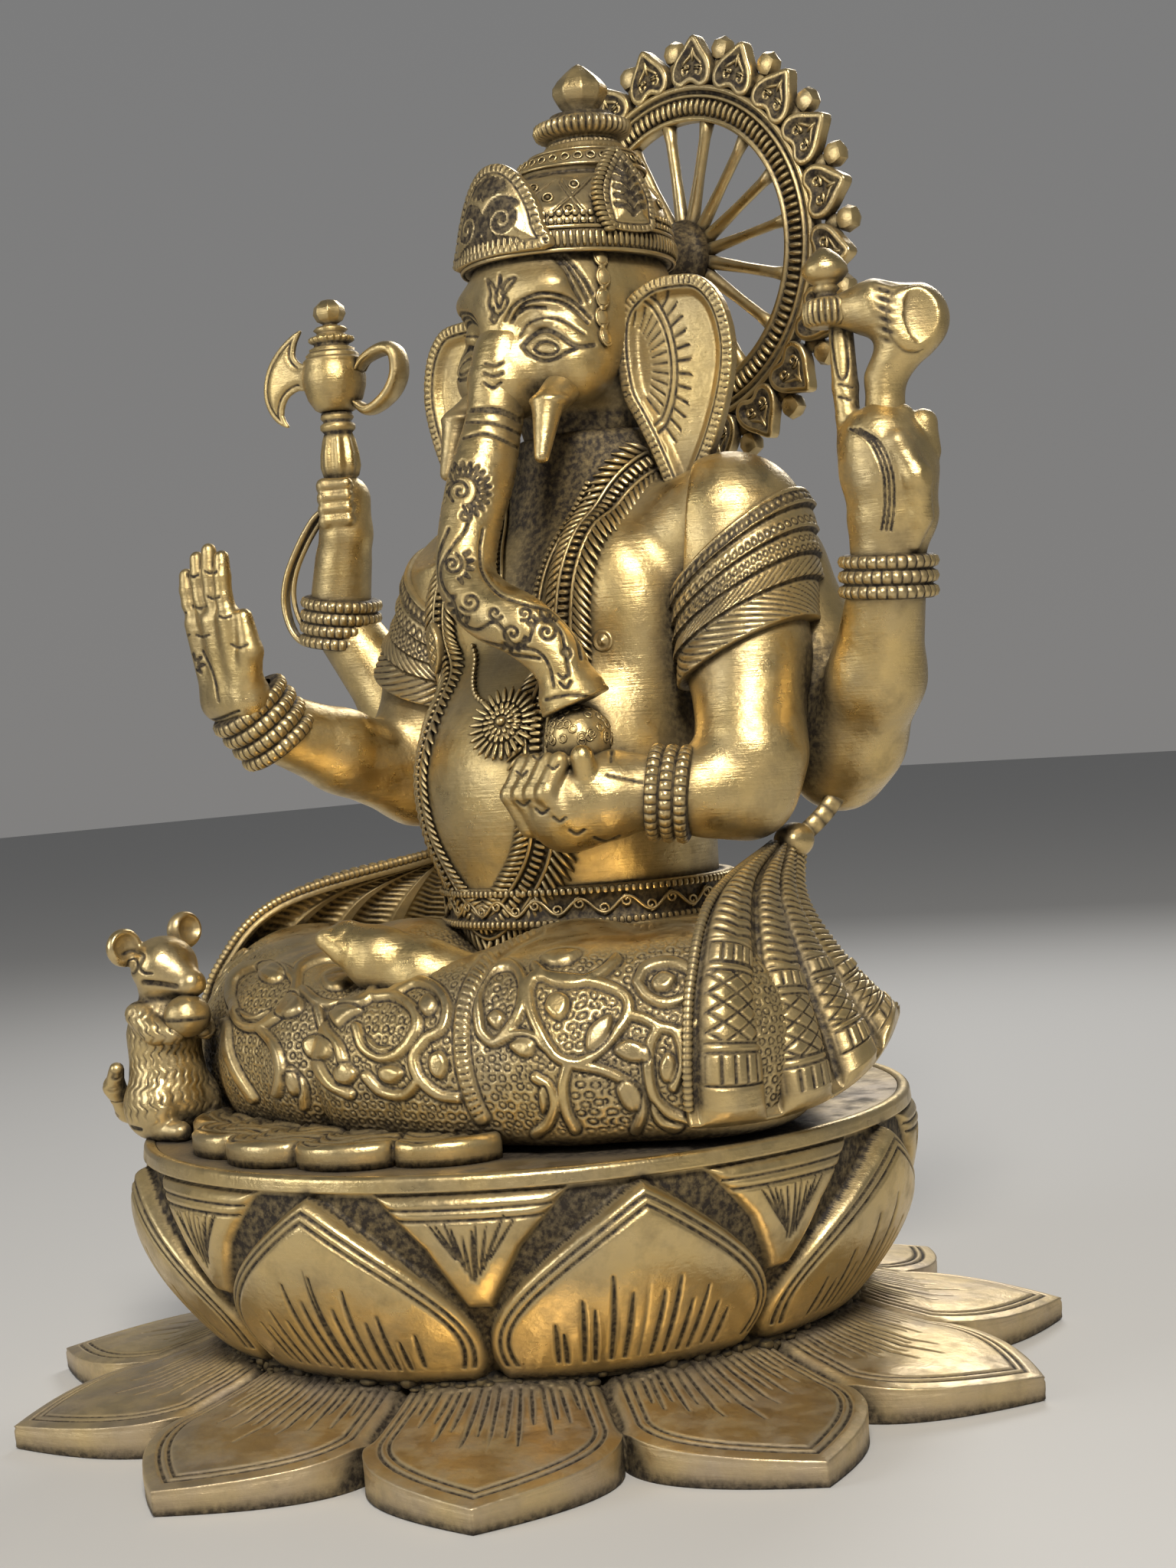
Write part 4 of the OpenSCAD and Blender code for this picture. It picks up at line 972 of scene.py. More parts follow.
def make_head():
    """Head, trunk and tusks."""
    skin_piece("head", skull_d, (A([-34, 2, 288]), A([34, 86, 372])), 0.55, carve_head)
    skin_piece("trunk", trunk_d, box_of(TRUNK, 15), 0.55, carve_trunk)
    for s, side in ((1, "left"), (-1, "right")):
        m = A([s, 1.0, 1.0])
        box = box_of([A([19, 20, 306]) * m, A([22, 6, 284]) * m], 7)
        skin_piece(side + "_tusk", lambda p: tusk_d(p * m), box, 0.5, ending="_horn")


# ------------------------------------------------------------------ plates with a drawn outline
def plate(outline, t_mid, t_rim, rim=3.0, dish=0.0, h=0.6, depth=8.0):
    """Closed thin plate on a drawn outline: thicker along its rim, dished inside."""
    outline = A(outline, float)
    lo = np.append(outline.min(0) - 2, -depth)
    hi = np.append(outline.max(0) + 2, depth)

    def f(p):
        d2 = poly_dist(p[:, :2], outline)
        inner = np.clip((-d2 - rim) / 4.0, 0, 1)
        inner = inner * inner * (3 - 2 * inner)
        w = p[:, 2] + dish * inner
        t = t_rim + (t_mid - t_rim) * inner
        return smax(d2, np.abs(w) - t, 0.8)

    v, q = field_mesh(f, lo, hi, h)
    v = relax(v, q, 1, 0.4)
    d2 = poly_dist(v[:, :2], outline)
    return v, q, d2


def place(v, fr, at):
    """Vertices from a frame with rows right, up, normal into the part's frame."""
    return v @ A(fr, float) + A(at, float)


EAR = smooth_line([[-3, -14], [-4, 2], [-1, 13], [8, 19.5], [18, 20.5], [27, 18.5], [33.5, 10], [36, -3],
                   [34, -16], [29, -30], [22, -44], [16, -56], [13.5, -56], [9.5, -44], [5, -32],
                   [1, -23]], 4, True)


def make_ears():
    """Two leaf-shaped ears with a hatched rim."""
    for s, side in ((1, "left"), (-1, "right")):
        a = math.radians(18 if s > 0 else -5)
        right = A([math.cos(a), math.sin(a), 0])
        fr = A([right, [0, 0, 1], [math.sin(a), -math.cos(a), 0]])
        v, q, d2 = plate(EAR, 1.5, 2.5, 3.2, 2.2, 0.5)
        n = normals(v, q)
        front = (n[:, 2] > 0.3)
        g = np.zeros(len(v))
        # hatched rim
        hatch = 0.5 + 0.5 * np.cos(resample_angle(v[:, :2], EAR) * 2 * PI / 2.1)
        band = (np.clip((d2 + 3.4) / 0.5, 0, 1) * np.clip(-d2 / 0.4, 0, 1)) * front
        g = np.maximum(g, band * hatch ** 4)
        line = bell(d2 + 3.9, 0.45) * front
        g = np.maximum(g, line)
        # inner arc with strokes
        r = np.hypot(v[:, 0] + 2, (v[:, 1] + 6) / 1.55)
        arc = bell(r - 17.5, 0.5) * front * (v[:, 1] > -38)
        arc2 = bell(r - 15.5, 0.45) * front * (v[:, 1] > -38)
        th = np.arctan2((v[:, 1] + 6) / 1.55, v[:, 0] + 2)
        st = ripple(th * 46) ** 5 * ((r > 18) & (r < 22.5 + 1.5 * np.sin(th * 23))) * front
        st2 = ripple(th * 40) ** 5 * ((r > 9) & (r < 14.5)) * front
        inn = np.clip((-d2 - 4.4) / 0.6, 0, 1)
        g = np.maximum(g, np.maximum.reduce([arc, arc2, st, st2]) * inn)
        v = v - n * (g * 0.45)[:, None]
        v = place(v, fr, (32 - 3, 41.5, 318)) * A([s, 1, 1])
        if s < 0:
            q = q[:, ::-1]
        build(side + "_ear_leaf", (v, q, g), [side + "_ear"], polished)


def resample_angle(uv, outline):
    """Arc length along the outline of the outline point nearest each vertex."""
    pts = resample(outline, 0.5, True)
    out = np.zeros(len(uv))
    for s in range(0, len(uv), 4000):
        d = ((uv[s:s + 4000, None] - pts[None]) ** 2).sum(2)
        out[s:s + 4000] = d.argmin(1) * 0.5
    return out


# ------------------------------------------------------------------ lotus base
def stroke(uv, a, b, width, bend=0.0):
    """Chisel stroke from a to b, widest near its start: 0 to 1."""
    a, b = A(a, float), A(b, float)
    e = b - a
    ln = np.linalg.norm(e)
    t = e / ln
    q = uv - a
    s = q @ t
    o = q @ A([-t[1], t[0]]) - bend * np.clip(s / ln, 0, 1) ** 2
    u = np.clip(s / ln, 0, 1)
    w = width * (0.35 + 0.65 * np.sin(PI * np.clip(u * 0.8 + 0.16, 0, 1)))
    over = np.maximum(np.maximum(-s, s - ln), 0)
    return np.exp(-((o / w) ** 2 + (over / (0.5 * width)) ** 2))


SKIRT_PETALS = 11
SKIRT_INNER = 88       # radius where the plate passes under the bowl
SKIRT_NOTCH = 122      # radius of the notch between two petals
SKIRT_TIP = 165        # radius of a petal's point
PETAL_COLUMNS = 132


def skirt_strokes(q):
    """Chisel strokes fanning out along one petal: 0 to 1."""
    acc = np.zeros(len(q))
    m = (q[:, 0] > 96) & (q[:, 0] < 148)
    for i in range(-7, 8):
        j = rng.uniform(-1, 1, 4)
        a = (100.5 + 1.2 * j[0], i * 2.75 + 0.5 * j[1])
        ln = (34 - 2.9 * abs(i)) * (1.0 if i % 2 == 0 else 0.72) + 2.5 * j[2]
        b = (a[0] + max(ln, 8), a[1] * (1.0 + 0.016 * ln) + 0.6 * j[3])
        acc[m] = np.maximum(acc[m], stroke(q[m], a, b, 0.72))
    return acc


def skirt():
    """Lower lotus plate with pointed petals."""
    half = PI / SKIRT_PETALS
    nx, ny = SKIRT_NOTCH * math.cos(half), SKIRT_NOTCH * math.sin(half)
    t = np.linspace(0, 1, 60)
    fx, fy = nx + (SKIRT_TIP - nx) * t, ny * (1 - t ** 1.9) + 3 * np.sin(PI * t)
    fx[-1], fy[-1] = SKIRT_TIP, 0
    n = SKIRT_PETALS * PETAL_COLUMNS
    th = np.arange(n) / n * 2 * PI
    ph = (th + half) % (2 * half) - half
    edge_r = np.interp(np.abs(ph), np.arctan2(fy, fx)[::-1], np.hypot(fx, fy)[::-1])
    root = SKIRT_INNER * A([math.cos(half), math.sin(half)])
    petal = np.vstack([root * A([1, -1]), np.stack([fx, -fy], 1)[::2], np.stack([fx, fy], 1)[::-2], root])
    s = np.linspace(0, 1, 118)
    r = SKIRT_INNER + (edge_r[None] - SKIRT_INNER) * s[:, None]
    uv = np.stack([r * np.cos(ph)[None], r * np.sin(ph)[None]], -1)
    z = np.interp(r, [SKIRT_INNER, 99, 108, SKIRT_NOTCH, SKIRT_TIP], [20.5, 19.5, 16.2, 12.2, 7.2])
    # the outline's distance is worked out on one petal, and the strokes differ from petal to petal
    first = -poly_dist(uv[:, :PETAL_COLUMNS].reshape(-1, 2), petal).reshape(len(s), PETAL_COLUMNS)
    d = np.tile(first, (1, SKIRT_PETALS))
    g = np.maximum(bell(d - 4.6, 0.62), bell(d - 7.2, 0.62)) * (r > 97)
    top = z + 1.7 * np.clip(d / 14, 0, 1) ** 0.6 - 0.4
    # dark valley between neighbours, where the plate dips: painted shade, fading out beyond the bowl's rim
    vd = np.abs(r * np.sin(half - np.abs(ph))[None])
    val = bell(vd, 1.9) * np.clip((128 - r) / 10, 0, 1)
    g = np.maximum(g, val)
    top -= 2.2 * val
    strokes = np.zeros(r.shape)
    for k in range(SKIRT_PETALS):
        cols = slice(k * PETAL_COLUMNS, (k + 1) * PETAL_COLUMNS)
        strokes[:, cols] = skirt_strokes(uv[:, cols].reshape(-1, 2)).reshape(len(s), PETAL_COLUMNS)
    g = np.maximum(g, strokes)
    top -= 0.75 * np.clip(g, 0, 1) * (1 - val)
    rows = [np.stack([r * np.cos(th), r * np.sin(th), top], -1)]
    gg = [g]
    # rounded edge, flat underside and the wall inside
    edge = np.stack([edge_r * np.cos(th), edge_r * np.sin(th)], -1)
    ztop = top[-1]
    n2 = unit(np.stack([np.cos(th), np.sin(th)], -1))
    wob = 0.25 * np.sin(th * 37) + 0.2 * np.sin(th * 83 + 1)
    for dz, dr in ((-0.5, 0.0), (-1.4, 0.35), (-3.0, 0.3), (-4.8, 0.1)):
        e = edge - n2 * (0.35 - dr) + n2 * (wob * 0.35)[:, None]
        rows.append(np.concatenate([e, (ztop + dz)[:, None]], 1)[None])
        gg.append(np.zeros((1, n)))
    for zb, dr in ((0.7, 0.2), (0.0, 1.0), (0.0, 20.0)):
        e = edge - n2 * dr
        rows.append(np.concatenate([e, np.full((n, 1), zb)], 1)[None])
        gg.append(np.zeros((1, n)))
    # The wall inside is painted 0.4 dark as shade under the bowl.
    for rad, zb in ((86.5, 0.0), (86.0, 10.0), (86.2, 20.0)):
        rows.append(ring_row(rad, zb, th))
        gg.append(np.ones((1, n)) * 0.4)
    v = np.concatenate(rows)
    v = v @ turn_z(math.radians(15))
    f = grid_faces(v.shape[0], n, True, True)[:, ::-1]
    build("lower_lotus_plate", (v.reshape(-1, 3), f[:, ::-1], np.concatenate(gg).ravel()), ["base_skirt"],
          worn)


BOWL_PETALS = 8        # in the front row, with as many between them in the rear row
BOWL_BASE = 20         # height of the bowl's foot
BOWL_HEIGHT = 61.5
BOWL_FOOT = 95         # radius at the foot
BOWL_RIM = 119
PETAL_HEIGHT = 0.93    # share of the bowl's height that a front petal takes
BOWL_ROWS, BOWL_COLUMNS = 116, 160


def bowl_r(t):
    """Radius at a share of the height."""
    return BOWL_FOOT + (BOWL_RIM - BOWL_FOOT) * np.sin(PI / 2 * t) + 3 * np.sin(PI * t)


def step_in(d):
    """0 outside an outline, 1 inside it."""
    return 1 / (1 + np.exp(-d / 0.35))


def front_strokes(q):
    """Chisel strokes that rise from the foot of one front petal."""
    acc = np.zeros(len(q))
    for i in range(-6, 7):
        j = rng.uniform(-1, 1, 4)
        a = (i * 3.6 + 0.6 * j[0], 5.0 + 0.9 * abs(i) * 0.3 + 1.0 * j[1])
        ln = max((33 - 3.6 * abs(i)) * (1.0 if i % 2 == 0 else 0.7) + 2.5 * j[2], 7)
        b = (a[0] * (1 + 0.010 * ln) + 0.5 * j[3], a[1] + ln)
        acc = np.maximum(acc, stroke(q, a, b, 0.8))
    return acc


def rear_strokes(q):
    """Short strokes that fan out on one rear petal."""
    acc = np.zeros(len(q))
    for i in range(-5, 6):
        j = rng.uniform(-1, 1, 4)
        a = (i * 0.9 + 0.3 * j[0], 33 + 1.4 * abs(i) + j[1])
        ln = (15 - 1.0 * abs(i)) + 1.5 * j[2]
        acc = np.maximum(acc, stroke(q, a, (a[0] * 2.6, a[1] + ln), 0.6))
    return acc


def bowl():
    """Hollow bowl with a bulging front row of petals and a flat row between them."""
    step = 2 * PI / BOWL_PETALS
    per, nz = BOWL_COLUMNS, BOWL_ROWS
    n = BOWL_PETALS * per
    th = np.arange(n) / n * 2 * PI
    t = np.linspace(0, 1, nz)
    z = BOWL_BASE + BOWL_HEIGHT * t
    high = (z - BOWL_BASE)[:, None]
    base = bowl_r(t)
    pw = BOWL_RIM * math.sin(step / 2) * 0.93
    tt = np.linspace(0, 1, 26)
    wid = pw * np.clip(1 - tt ** 2.1, 0, 1) ** 0.85 * (0.80 + 0.27 * np.sin(PI * tt ** 0.9))
    side = np.stack([wid, BOWL_HEIGHT * PETAL_HEIGHT * tt], 1)
    fpoly = np.vstack([side, (side * A([-1, 1]))[-2::-1]])
    rpoly = A([[-3.5, 25], [3.5, 25], [13, 42], [27.5, 57.6], [-27.5, 57.6], [-13, 42]], float)

    def petal_uv(across, cols):
        """Places on the unrolled wall: across from the petal's middle, and up from the foot."""
        return np.stack([across[:, cols], np.broadcast_to(high, (nz, per))], -1).reshape(-1, 2)

    y = base[:, None] * ((th + step / 2) % step - step / 2)[None]
    y2 = base[:, None] * (th % step - step / 2)[None]
    one = slice(0, per)
    df = np.tile(-poly_dist(petal_uv(y, one), fpoly).reshape(nz, per), (1, BOWL_PETALS))
    dr = np.tile(-poly_dist(petal_uv(y2, one), rpoly).reshape(nz, per), (1, BOWL_PETALS))
    inside, in_r = step_in(df), step_in(dr)
    w_at = np.interp(t, tt * PETAL_HEIGHT, wid)[:, None] + 1e-6
    across_bulge = np.clip(1 - (y / w_at) ** 2, 0, 1) ** 0.75
    up_bulge = (np.sin(PI * np.clip(t * 0.86 + 0.12, 0, 1)) ** 0.8)[:, None]
    lift = 2.6 * (1 - np.exp(-np.clip(df, 0, 99) / 1.6)) + 4.2 * across_bulge * up_bulge
    flat = -1.6 + 2.4 * (1 - np.exp(-np.clip(dr, 0, 99) / 1.4)) + np.clip(1 - (y2 / 24) ** 2, 0, 1)
    rear = flat * in_r - 2.2 * (1 - in_r)
    off = np.where(df > -0.8, lift * inside + rear * (1 - inside), rear)
    gf = np.maximum(bell(df - 3.2, 0.62), bell(df - 5.5, 0.62)) * inside * (z > 26)[:, None]
    gfs = np.zeros_like(y)
    grs = np.zeros_like(y)
    for k in range(BOWL_PETALS):
        cols = slice(k * per, (k + 1) * per)
        gfs[:, cols] = front_strokes(petal_uv(y, cols)).reshape(nz, per)
        grs[:, cols] = rear_strokes(petal_uv(y2, cols)).reshape(nz, per)
    gr = np.maximum(bell(high - 53.5, 0.5), bell(high - 50.6, 0.5)) * (dr > 0.8) * (1 - inside)
    g = np.maximum(gf, gfs * inside * (df > 6.2))
    g = np.maximum(g, np.maximum(gr, grs * (dr > 1.2) * (1 - inside)))
    # Painted shade in the gaps between the petals, and just outside each front petal's raised edge.
    gap = (1 - inside) * (1 - in_r) * np.clip((58 - high) / 2, 0, 1)
    edge_shade = bell(np.clip(-df, 0, 99), 2.6) * (df < 0.2)
    dirt_and_shade = np.maximum(gap, edge_shade * 0.85)
    off = off - 0.8 * g
    g = np.maximum(g, dirt_and_shade)
    # Painted shade at the foot of the bowl, darker towards where it meets the plate.
    low = np.clip((25 - z) / 5, 0, 1)[:, None] * 0.6
    g = np.maximum(g, low)
    off = np.where((z > 78.2)[:, None], 0.5, off)
    r = base[:, None] + off
    rows = [np.stack([r * np.cos(th), r * np.sin(th), np.broadcast_to(z[:, None], r.shape)], -1)]
    gg = [g]
    # Rim, then the hollow inside, whose groove values paint shade inside the bowl, darker below the lip.
    for rad, zb, gv in ((119.2, 82.0, 0), (118.4, 82.6, 0), (116.4, 82.5, 0), (115.9, 81.9, .6),
                        (115.9, 76, 1), (113, 75.5, 1), (109, 50, 1),
                        (98, 28, 1), (90.5, 20, 1)):
        rows.append(ring_row(rad, zb, th))
        gg.append(np.full((1, n), float(gv)))
    v = np.concatenate(rows)
    v = v @ turn_z(math.radians(16))
    f = grid_faces(v.shape[0], n, True, True)
    build("lotus_bowl_petals", (v.reshape(-1, 3), f, np.concatenate(gg).ravel()), ["lotus_bowl"])


def seam():
    """Rough beads of braze between the plate and the bowl."""
    n = 620
    a = rng.uniform(0, 2 * PI, n)
    r = 97.3 + rng.uniform(-1.8, 2.2, n)
    z = 20.3 + rng.uniform(-0.6, 2.6, n) - (r - 96) * 0.45
    c = np.stack([r * np.cos(a), r * np.sin(a), z], 1)
    sc = rng.uniform(0.9, 2.5, (n, 1)) * np.concatenate([rng.uniform(0.8, 1.3, (n, 2)),
                                                         rng.uniform(0.5, 0.9, (n, 1))], 1)
    balls = stamp(BALL, c, sc)
    ring, f = lathe([[94, 20.1], [99, 20.1], [98.2, 21.6], [95.5, 23.4], [94, 23.6]], (0, 0, 0), 240)
    build("seam_braze", merge([balls, (ring, f)]), ["base_seam_bead"], black)


def fan():
    """Scalloped fan of cloth in front of the legs."""
    lobes, spread = 5, math.radians(122)
    n = 5 * 64 + 1
    u = np.linspace(0, 1, n)
    lob = np.abs(np.sin(PI * u * lobes)) ** 0.5
    R = 71 + 7 * lob
    a = -PI / 2 + spread * (u - 0.5)
    s = np.linspace(0.05, 1, 90)
    r = R[None] * s[:, None]
    e = R[None] - r
    cyc = u * lobes % 1
    wave = e + 2.5 * np.sin(2 * PI * cyc)[None]
    g = np.zeros_like(r)
    for k in range(1, 9):
        g = np.maximum(g, bell(wave - (3.6 * k + 0.9), 0.75))
    g = np.maximum(g, np.exp(-((np.minimum(cyc, 1 - cyc) / lobes * spread)[None] * r / 0.9) ** 2)
                   * (e < 26))
    z = 89 - 0.9 * g - 1.2 * np.clip(1 - e / 2.0, 0, 1) ** 2 + 0.5 * np.sin(e * 0.5)
    rows = [np.stack([r * np.cos(a), r * np.sin(a) - 34, z], -1)]
    gg = [g]
    for rr, zb in ((R - 0.1, 86.5), (R, 84.5), (R - 0.5, 82.2), (R * 0.5, 82.1), (R * 0.05, 82.1)):
        rows.append(np.stack([rr * np.cos(a), rr * np.sin(a) - 34, np.full(n, zb)], -1)[None])
        gg.append(np.zeros((1, n)))
    v = np.concatenate(rows)
    f = grid_faces(v.shape[0], n, True, False)
    build("apron_fan", (v.reshape(-1, 3), f, np.concatenate(gg).ravel()), ["dhoti_fan"])


skirt()
bowl()
seam()
fan()


# ------------------------------------------------------------------ halo
def spiral(cx, cy, r0, r1, turns, start, hand=1, n=30):
    """Points on a spiral round (cx, cy)."""
    t = np.linspace(0, 1, n)
    r = r0 + (r1 - r0) * t
    a = start + hand * turns * 2 * PI * t
    return np.stack([cx + r * np.cos(a), cy + r * np.sin(a)], 1)


def halo():
    """Beaded wheel with spokes, hub and leaves."""
    HUB = A([0, 104, 357.0])
    fr = A([[1, 0, 0], [0, 0, 1], [0, -1, 0]], float)      # right, up, normal towards the front
    parts = []
    ring = [[45.4, -2.4], [45.8, -3.0], [46.9, -3.0], [47.3, -1.6], [53.2, -1.6], [53.4, -2.8],
            [54.2, -2.8], [54.4, -1.4], [55.6, -1.4], [55.8, -3.0], [57.2, -3.0], [57.6, -2.4], [57.6, 2.4],
            [57.2, 3.0], [55.8, 3.0], [55.6, 1.4], [54.4, 1.4], [54.2, 2.8], [53.4, 2.8], [53.2, 1.6],
            [47.3, 1.6], [46.9, 3.0], [45.8, 3.0], [45.4, 2.4]]
    n = 200
    a = np.arange(n) / n * 2 * PI
    pr = A(ring)
    v = np.stack([pr[:, 0][:, None] * np.cos(a), pr[:, 0][:, None] * np.sin(a),
                  pr[:, 1][:, None] * np.ones(n)], -1)
    g = np.broadcast_to((np.abs(pr[:, 1]) < 2.0)[:, None], (len(pr), n)).astype(float)
    parts.append((v.reshape(-1, 3), grid_faces(len(pr), n, True, True)[:, ::-1], g.ravel()))
    m = 122
    a = np.arange(m) / m * 2 * PI
    for sgn in (1, -1):
        c = np.stack([50.2 * np.cos(a), 50.2 * np.sin(a), np.full(m, 1.9 * sgn)], 1)
        frames = np.stack([*spokes(a), np.tile(A([0, 0, 1.0]), (m, 1))], 1)
        parts.append(stamp(BALL, c, np.tile(A([2.9, 1.0, 1.7]), (m, 1)), frames))
    for k in range(16):
        b = (k + 0.25) / 16 * 2 * PI + rng.uniform(-0.02, 0.02)
        e = A([-math.sin(b), math.cos(b), 0])
        path = [e * 5, e * 14, e * 28, e * 40, e * 46.8]
        parts.append(tube(path, A([3.4, 2.3, 1.8, 1.9, 2.7]) * rng.uniform(0.92, 1.1), 10))
    parts.append(lathe([[0.1, -3], [8, -3], [8.6, -1.5], [8.6, 1.5], [7.2, 3.4], [5.2, 4.6], [4.2, 6.6],
                        [0.1, 7.4]], (0, 0, 0), 40))
    half = [[4.2, -0.6], [7.8, 0.8], [9.0, 4.6], [7.6, 8.8], [4.4, 12.8]]
    out = smooth_line([[0, 1.2]] + half + [[0, 17.2]] + [[-x, y] for x, y in half[::-1]], 4, True)
    leaf_v, leaf_q, d2 = plate(out, 1.1, 2.4, 1.5, 0.0, 0.4, 4)
    lg = np.clip((-d2 - 1.5) / 0.5, 0, 1) * (np.abs(leaf_v[:, 2]) > 0.5)
    leaf = [(leaf_v, leaf_q, lg)]
    for sg in (1, -1):
        for face in (1, -1):
            sp = spiral(2.8 * sg, 4.8, 2.3, 0.7, 1.05, PI if sg > 0 else 0, -sg, 18)
            stem = A([[0, 12.0], [1.0 * sg, 10.2], [3.2 * sg, 8.4], [5.0 * sg, 6.4]])
            line = smooth_line(np.vstack([stem, sp[2:]]), 2)
            leaf.append(tube(np.column_stack([line, np.full(len(line), 1.2 * face)]), 0.75, 6))
    for face in (1, -1):
        leaf.append(tube([(0, 8.5, 1.2 * face), (0, 10.5, 1.5 * face), (0, 12.6, 1.3 * face),
                          (0, 15, 1.0 * face)], A([.4, .8, .8, .3]), 6))
    lv, lq, lg = merge(leaf)
    bud = [(BALL2[0] * A([4.6, 4.6, 3.6]) + A([0, 14.6, 0]), BALL2[1]),
           (BALL2[0] * A([3.4, 3.6, 2.6]) + A([0, 8.6, 0]), BALL2[1])]
    bv, bq, bg = merge(bud)
    for k in range(20):
        turn = (k + 0.5) / 20 * 2 * PI + rng.uniform(-0.012, 0.012)
        rng.random()       # an unused draw, which keeps the later ones as they are
        w = lv * A([1, rng.uniform(0.96, 1.0), 1]) + A([0, 57.0, 1.0])
        parts.append((w @ turn_z(turn), lq, lg))
        parts.append(((bv + A([0, 55.0, -1.6])) @ turn_z(k / 20 * 2 * PI), bq, bg))
    v, f, g = merge(parts)
    build("halo_wheel", (v @ fr + HUB, f, g), ["halo"])


halo()


# ------------------------------------------------------------------ jewels on the body
def rope(path, nrm, rib=(1.5, 0.85, 1.1), step=2.0, ridges=(2.6,), ridge_r=0.75):
    """Row of ribs along a surface path, with smooth ridges beside it."""
    line = resample(np.hstack([path, nrm]), step)
    p, n = line[:, :3], unit(line[:, 3:])
    t = unit(np.gradient(p, axis=0))
    side = unit(np.cross(n, t))
    F = np.stack([side, t, n], 1)
    parts = [stamp(BALL2, p + n * 0.9, np.tile(A(rib, float), (len(p), 1)), F)]
    for off in ridges:
        parts.append(tube(p + side * off + n * 0.7, ridge_r, 6))
    return parts


def fringe(path, nrm, near, far, step=2.6, slant=0.8, sign=1):
    """Feathered strokes leaning away from a path."""
    line = resample(np.hstack([path, nrm]), step)
    p, n = line[:, :3], unit(line[:, 3:])
    t = unit(np.gradient(p, axis=0))
    side = unit(np.cross(n, t)) * sign
    down = np.where(t[:, 2:3] < 0, 1.0, -1.0)
    parts = []
    for i in range(len(p)):
        lean = t[i] * down[i] * slant
        a = p[i] + side[i] * near + n[i] * 0.6
        b = p[i] + side[i] * far + lean * (far - near) - n[i] * 0.2
        parts.append(tube([a, (a + b) / 2 + n[i] * 0.5, b], A([0.85, 0.95, 0.3]), 6))
    return parts


def skin_path(xz, lift=0.0):
    """Points [x, z] laid on the front of the torso, with their normals."""
    line = resample(smooth_line(A(xz, float), 6), 1.0)
    p = on_front(torso_full, line)
    n = grad(torso_full, p, 1.5)
    return p + n * lift, n


GARLAND = [[31, 282], [27, 270], [26, 256], [24, 240], [23, 224], [24, 206], [26, 190], [27, 175],
           [22, 161], [11, 148], [0, 140], [-8, 140], [-19, 150], [-27, 168], [-29, 187], [-27, 203],
           [-30, 218], [-36, 232], [-35, 250], [-31, 266],
           [-31, 282]]


def garland():
    """Ribbed rope with a feathered border, and the two chains inside it."""
    p, n = skin_path(GARLAND)
    parts = rope(p, n, (2.3, 0.95, 1.5), 2.3, (3.4, -3.3))
    parts += fringe(p, n, 4.2, 11.5, sign=1) + fringe(p, n, 4.0, 9.5, sign=-1)
    for s in (1, -1):
        q, m = skin_path([[19 * s, 276], [15 * s, 262], [11 * s, 250], [9 * s, 238]])
        parts += rope(q, m, (1.3, 0.8, 1.0), 1.9, (2.2,), 0.6)
    q, m = skin_path([[-18, 228], [-12, 220], [-3, 212], [6, 208]])
    parts.append(stamp(BALL2, q[::2] + m[::2] * 0.8, 0.95))
    build("garland_rope", merge(parts), ["garland"])


def breast_discs():
    """One ringed disc on each side of the chest."""
    for s in (1, -1):
        c = on_front(torso_full, [[37 * s, 225.5]])
        m = grad(torso_full, c, 2.0)
        v, f = lathe([[3.5, -1.0], [3.4, 0.4], [2.7, 0.8], [2.2, 0.3], [1.6, 0.5], [1.2, 1.4], [0.1, 1.7]],
                     (0, 0, 0), 28)
        build(("left" if s > 0 else "right") + "_breast_disc",
              (v @ frames_at(m)[0] + c[0], f, np.zeros(len(v))), [])


def brooch():
    """Rosette of three rings of petals."""
    c = on_front(torso_full, [[14, 202]])
    fr = frames_at(grad(torso_full, c, 3.0))[0]
    parts = [lathe([[5.6, -3.0], [5.8, 0.6], [5.0, 1.5], [3.6, 1.6], [0.1, 1.5]], (0, 0, 0), 30)]
    parts.append((BALL[0] * 1.6 + A([0, 0, 2.2]), BALL[1]))
    for count, r, size, z in ((12, 3.4, (0.75, 1.3, 1.0), 1.8), (18, 5.6, (0.8, 1.5, 1.0), 1.2),
                              (26, 9.4, (0.8, 3.3, 1.0), 0.7)):
        a = np.arange(count) / count * 2 * PI
        out, across = spokes(a)
        frames = np.stack([across, out, np.tile(A([0, 0, 1.0]), (count, 1))], 1)
        parts.append(stamp(BALL2, out * r + A([0, 0, z]), np.tile(A(size), (count, 1)), frames))
    v, f, g = merge(parts)
    build("chest_rosette", (v @ fr + c[0] + fr[2] * 0.5, f, g), ["chest_brooch"])


def clasp():
    """Woven knot at the garland's side."""
    c = on_front(torso_full, [[-37, 229]])
    fr = frames_at(grad(torso_full, c, 2.0))[0]
    out = smooth_line([[0, -8.5], [4, -4], [4.2, 3], [0, 8.5], [-4.2, 3], [-4, -4]], 4, True)
    v, q, d2 = plate(out, 2.6, 1.6, 1.0, 0.0, 0.4, 5)
    weave = np.maximum(np.cos((v[:, 0] + v[:, 1]) * 2 * PI / 3.0),
                       np.cos((v[:, 0] - v[:, 1]) * 2 * PI / 3.0)) ** 6
    g = weave * (v[:, 2] > 0.5) * (d2 < -0.9)
    v[:, 2] -= 0.5 * g
    build("garland_knot", (v @ fr + c[0] + fr[2] * 2.2, q, g), ["garland_clasp"])


def oval(a, b, cy, n):
    """Points round an oval and their angles."""
    t = np.arange(n) / n * 2 * PI
    p = np.stack([a * np.cos(t), b * np.sin(t) + cy, 0 * t], 1)
    return resample(p, np.linalg.norm(np.diff(p, axis=0), axis=1).mean(), True), t


def oval_normals(p, a, b, cy):
    """Outward normals of an oval."""
    return unit(np.stack([p[:, 0] / a ** 2, (p[:, 1] - cy) / b ** 2, 0 * p[:, 0]], 1))


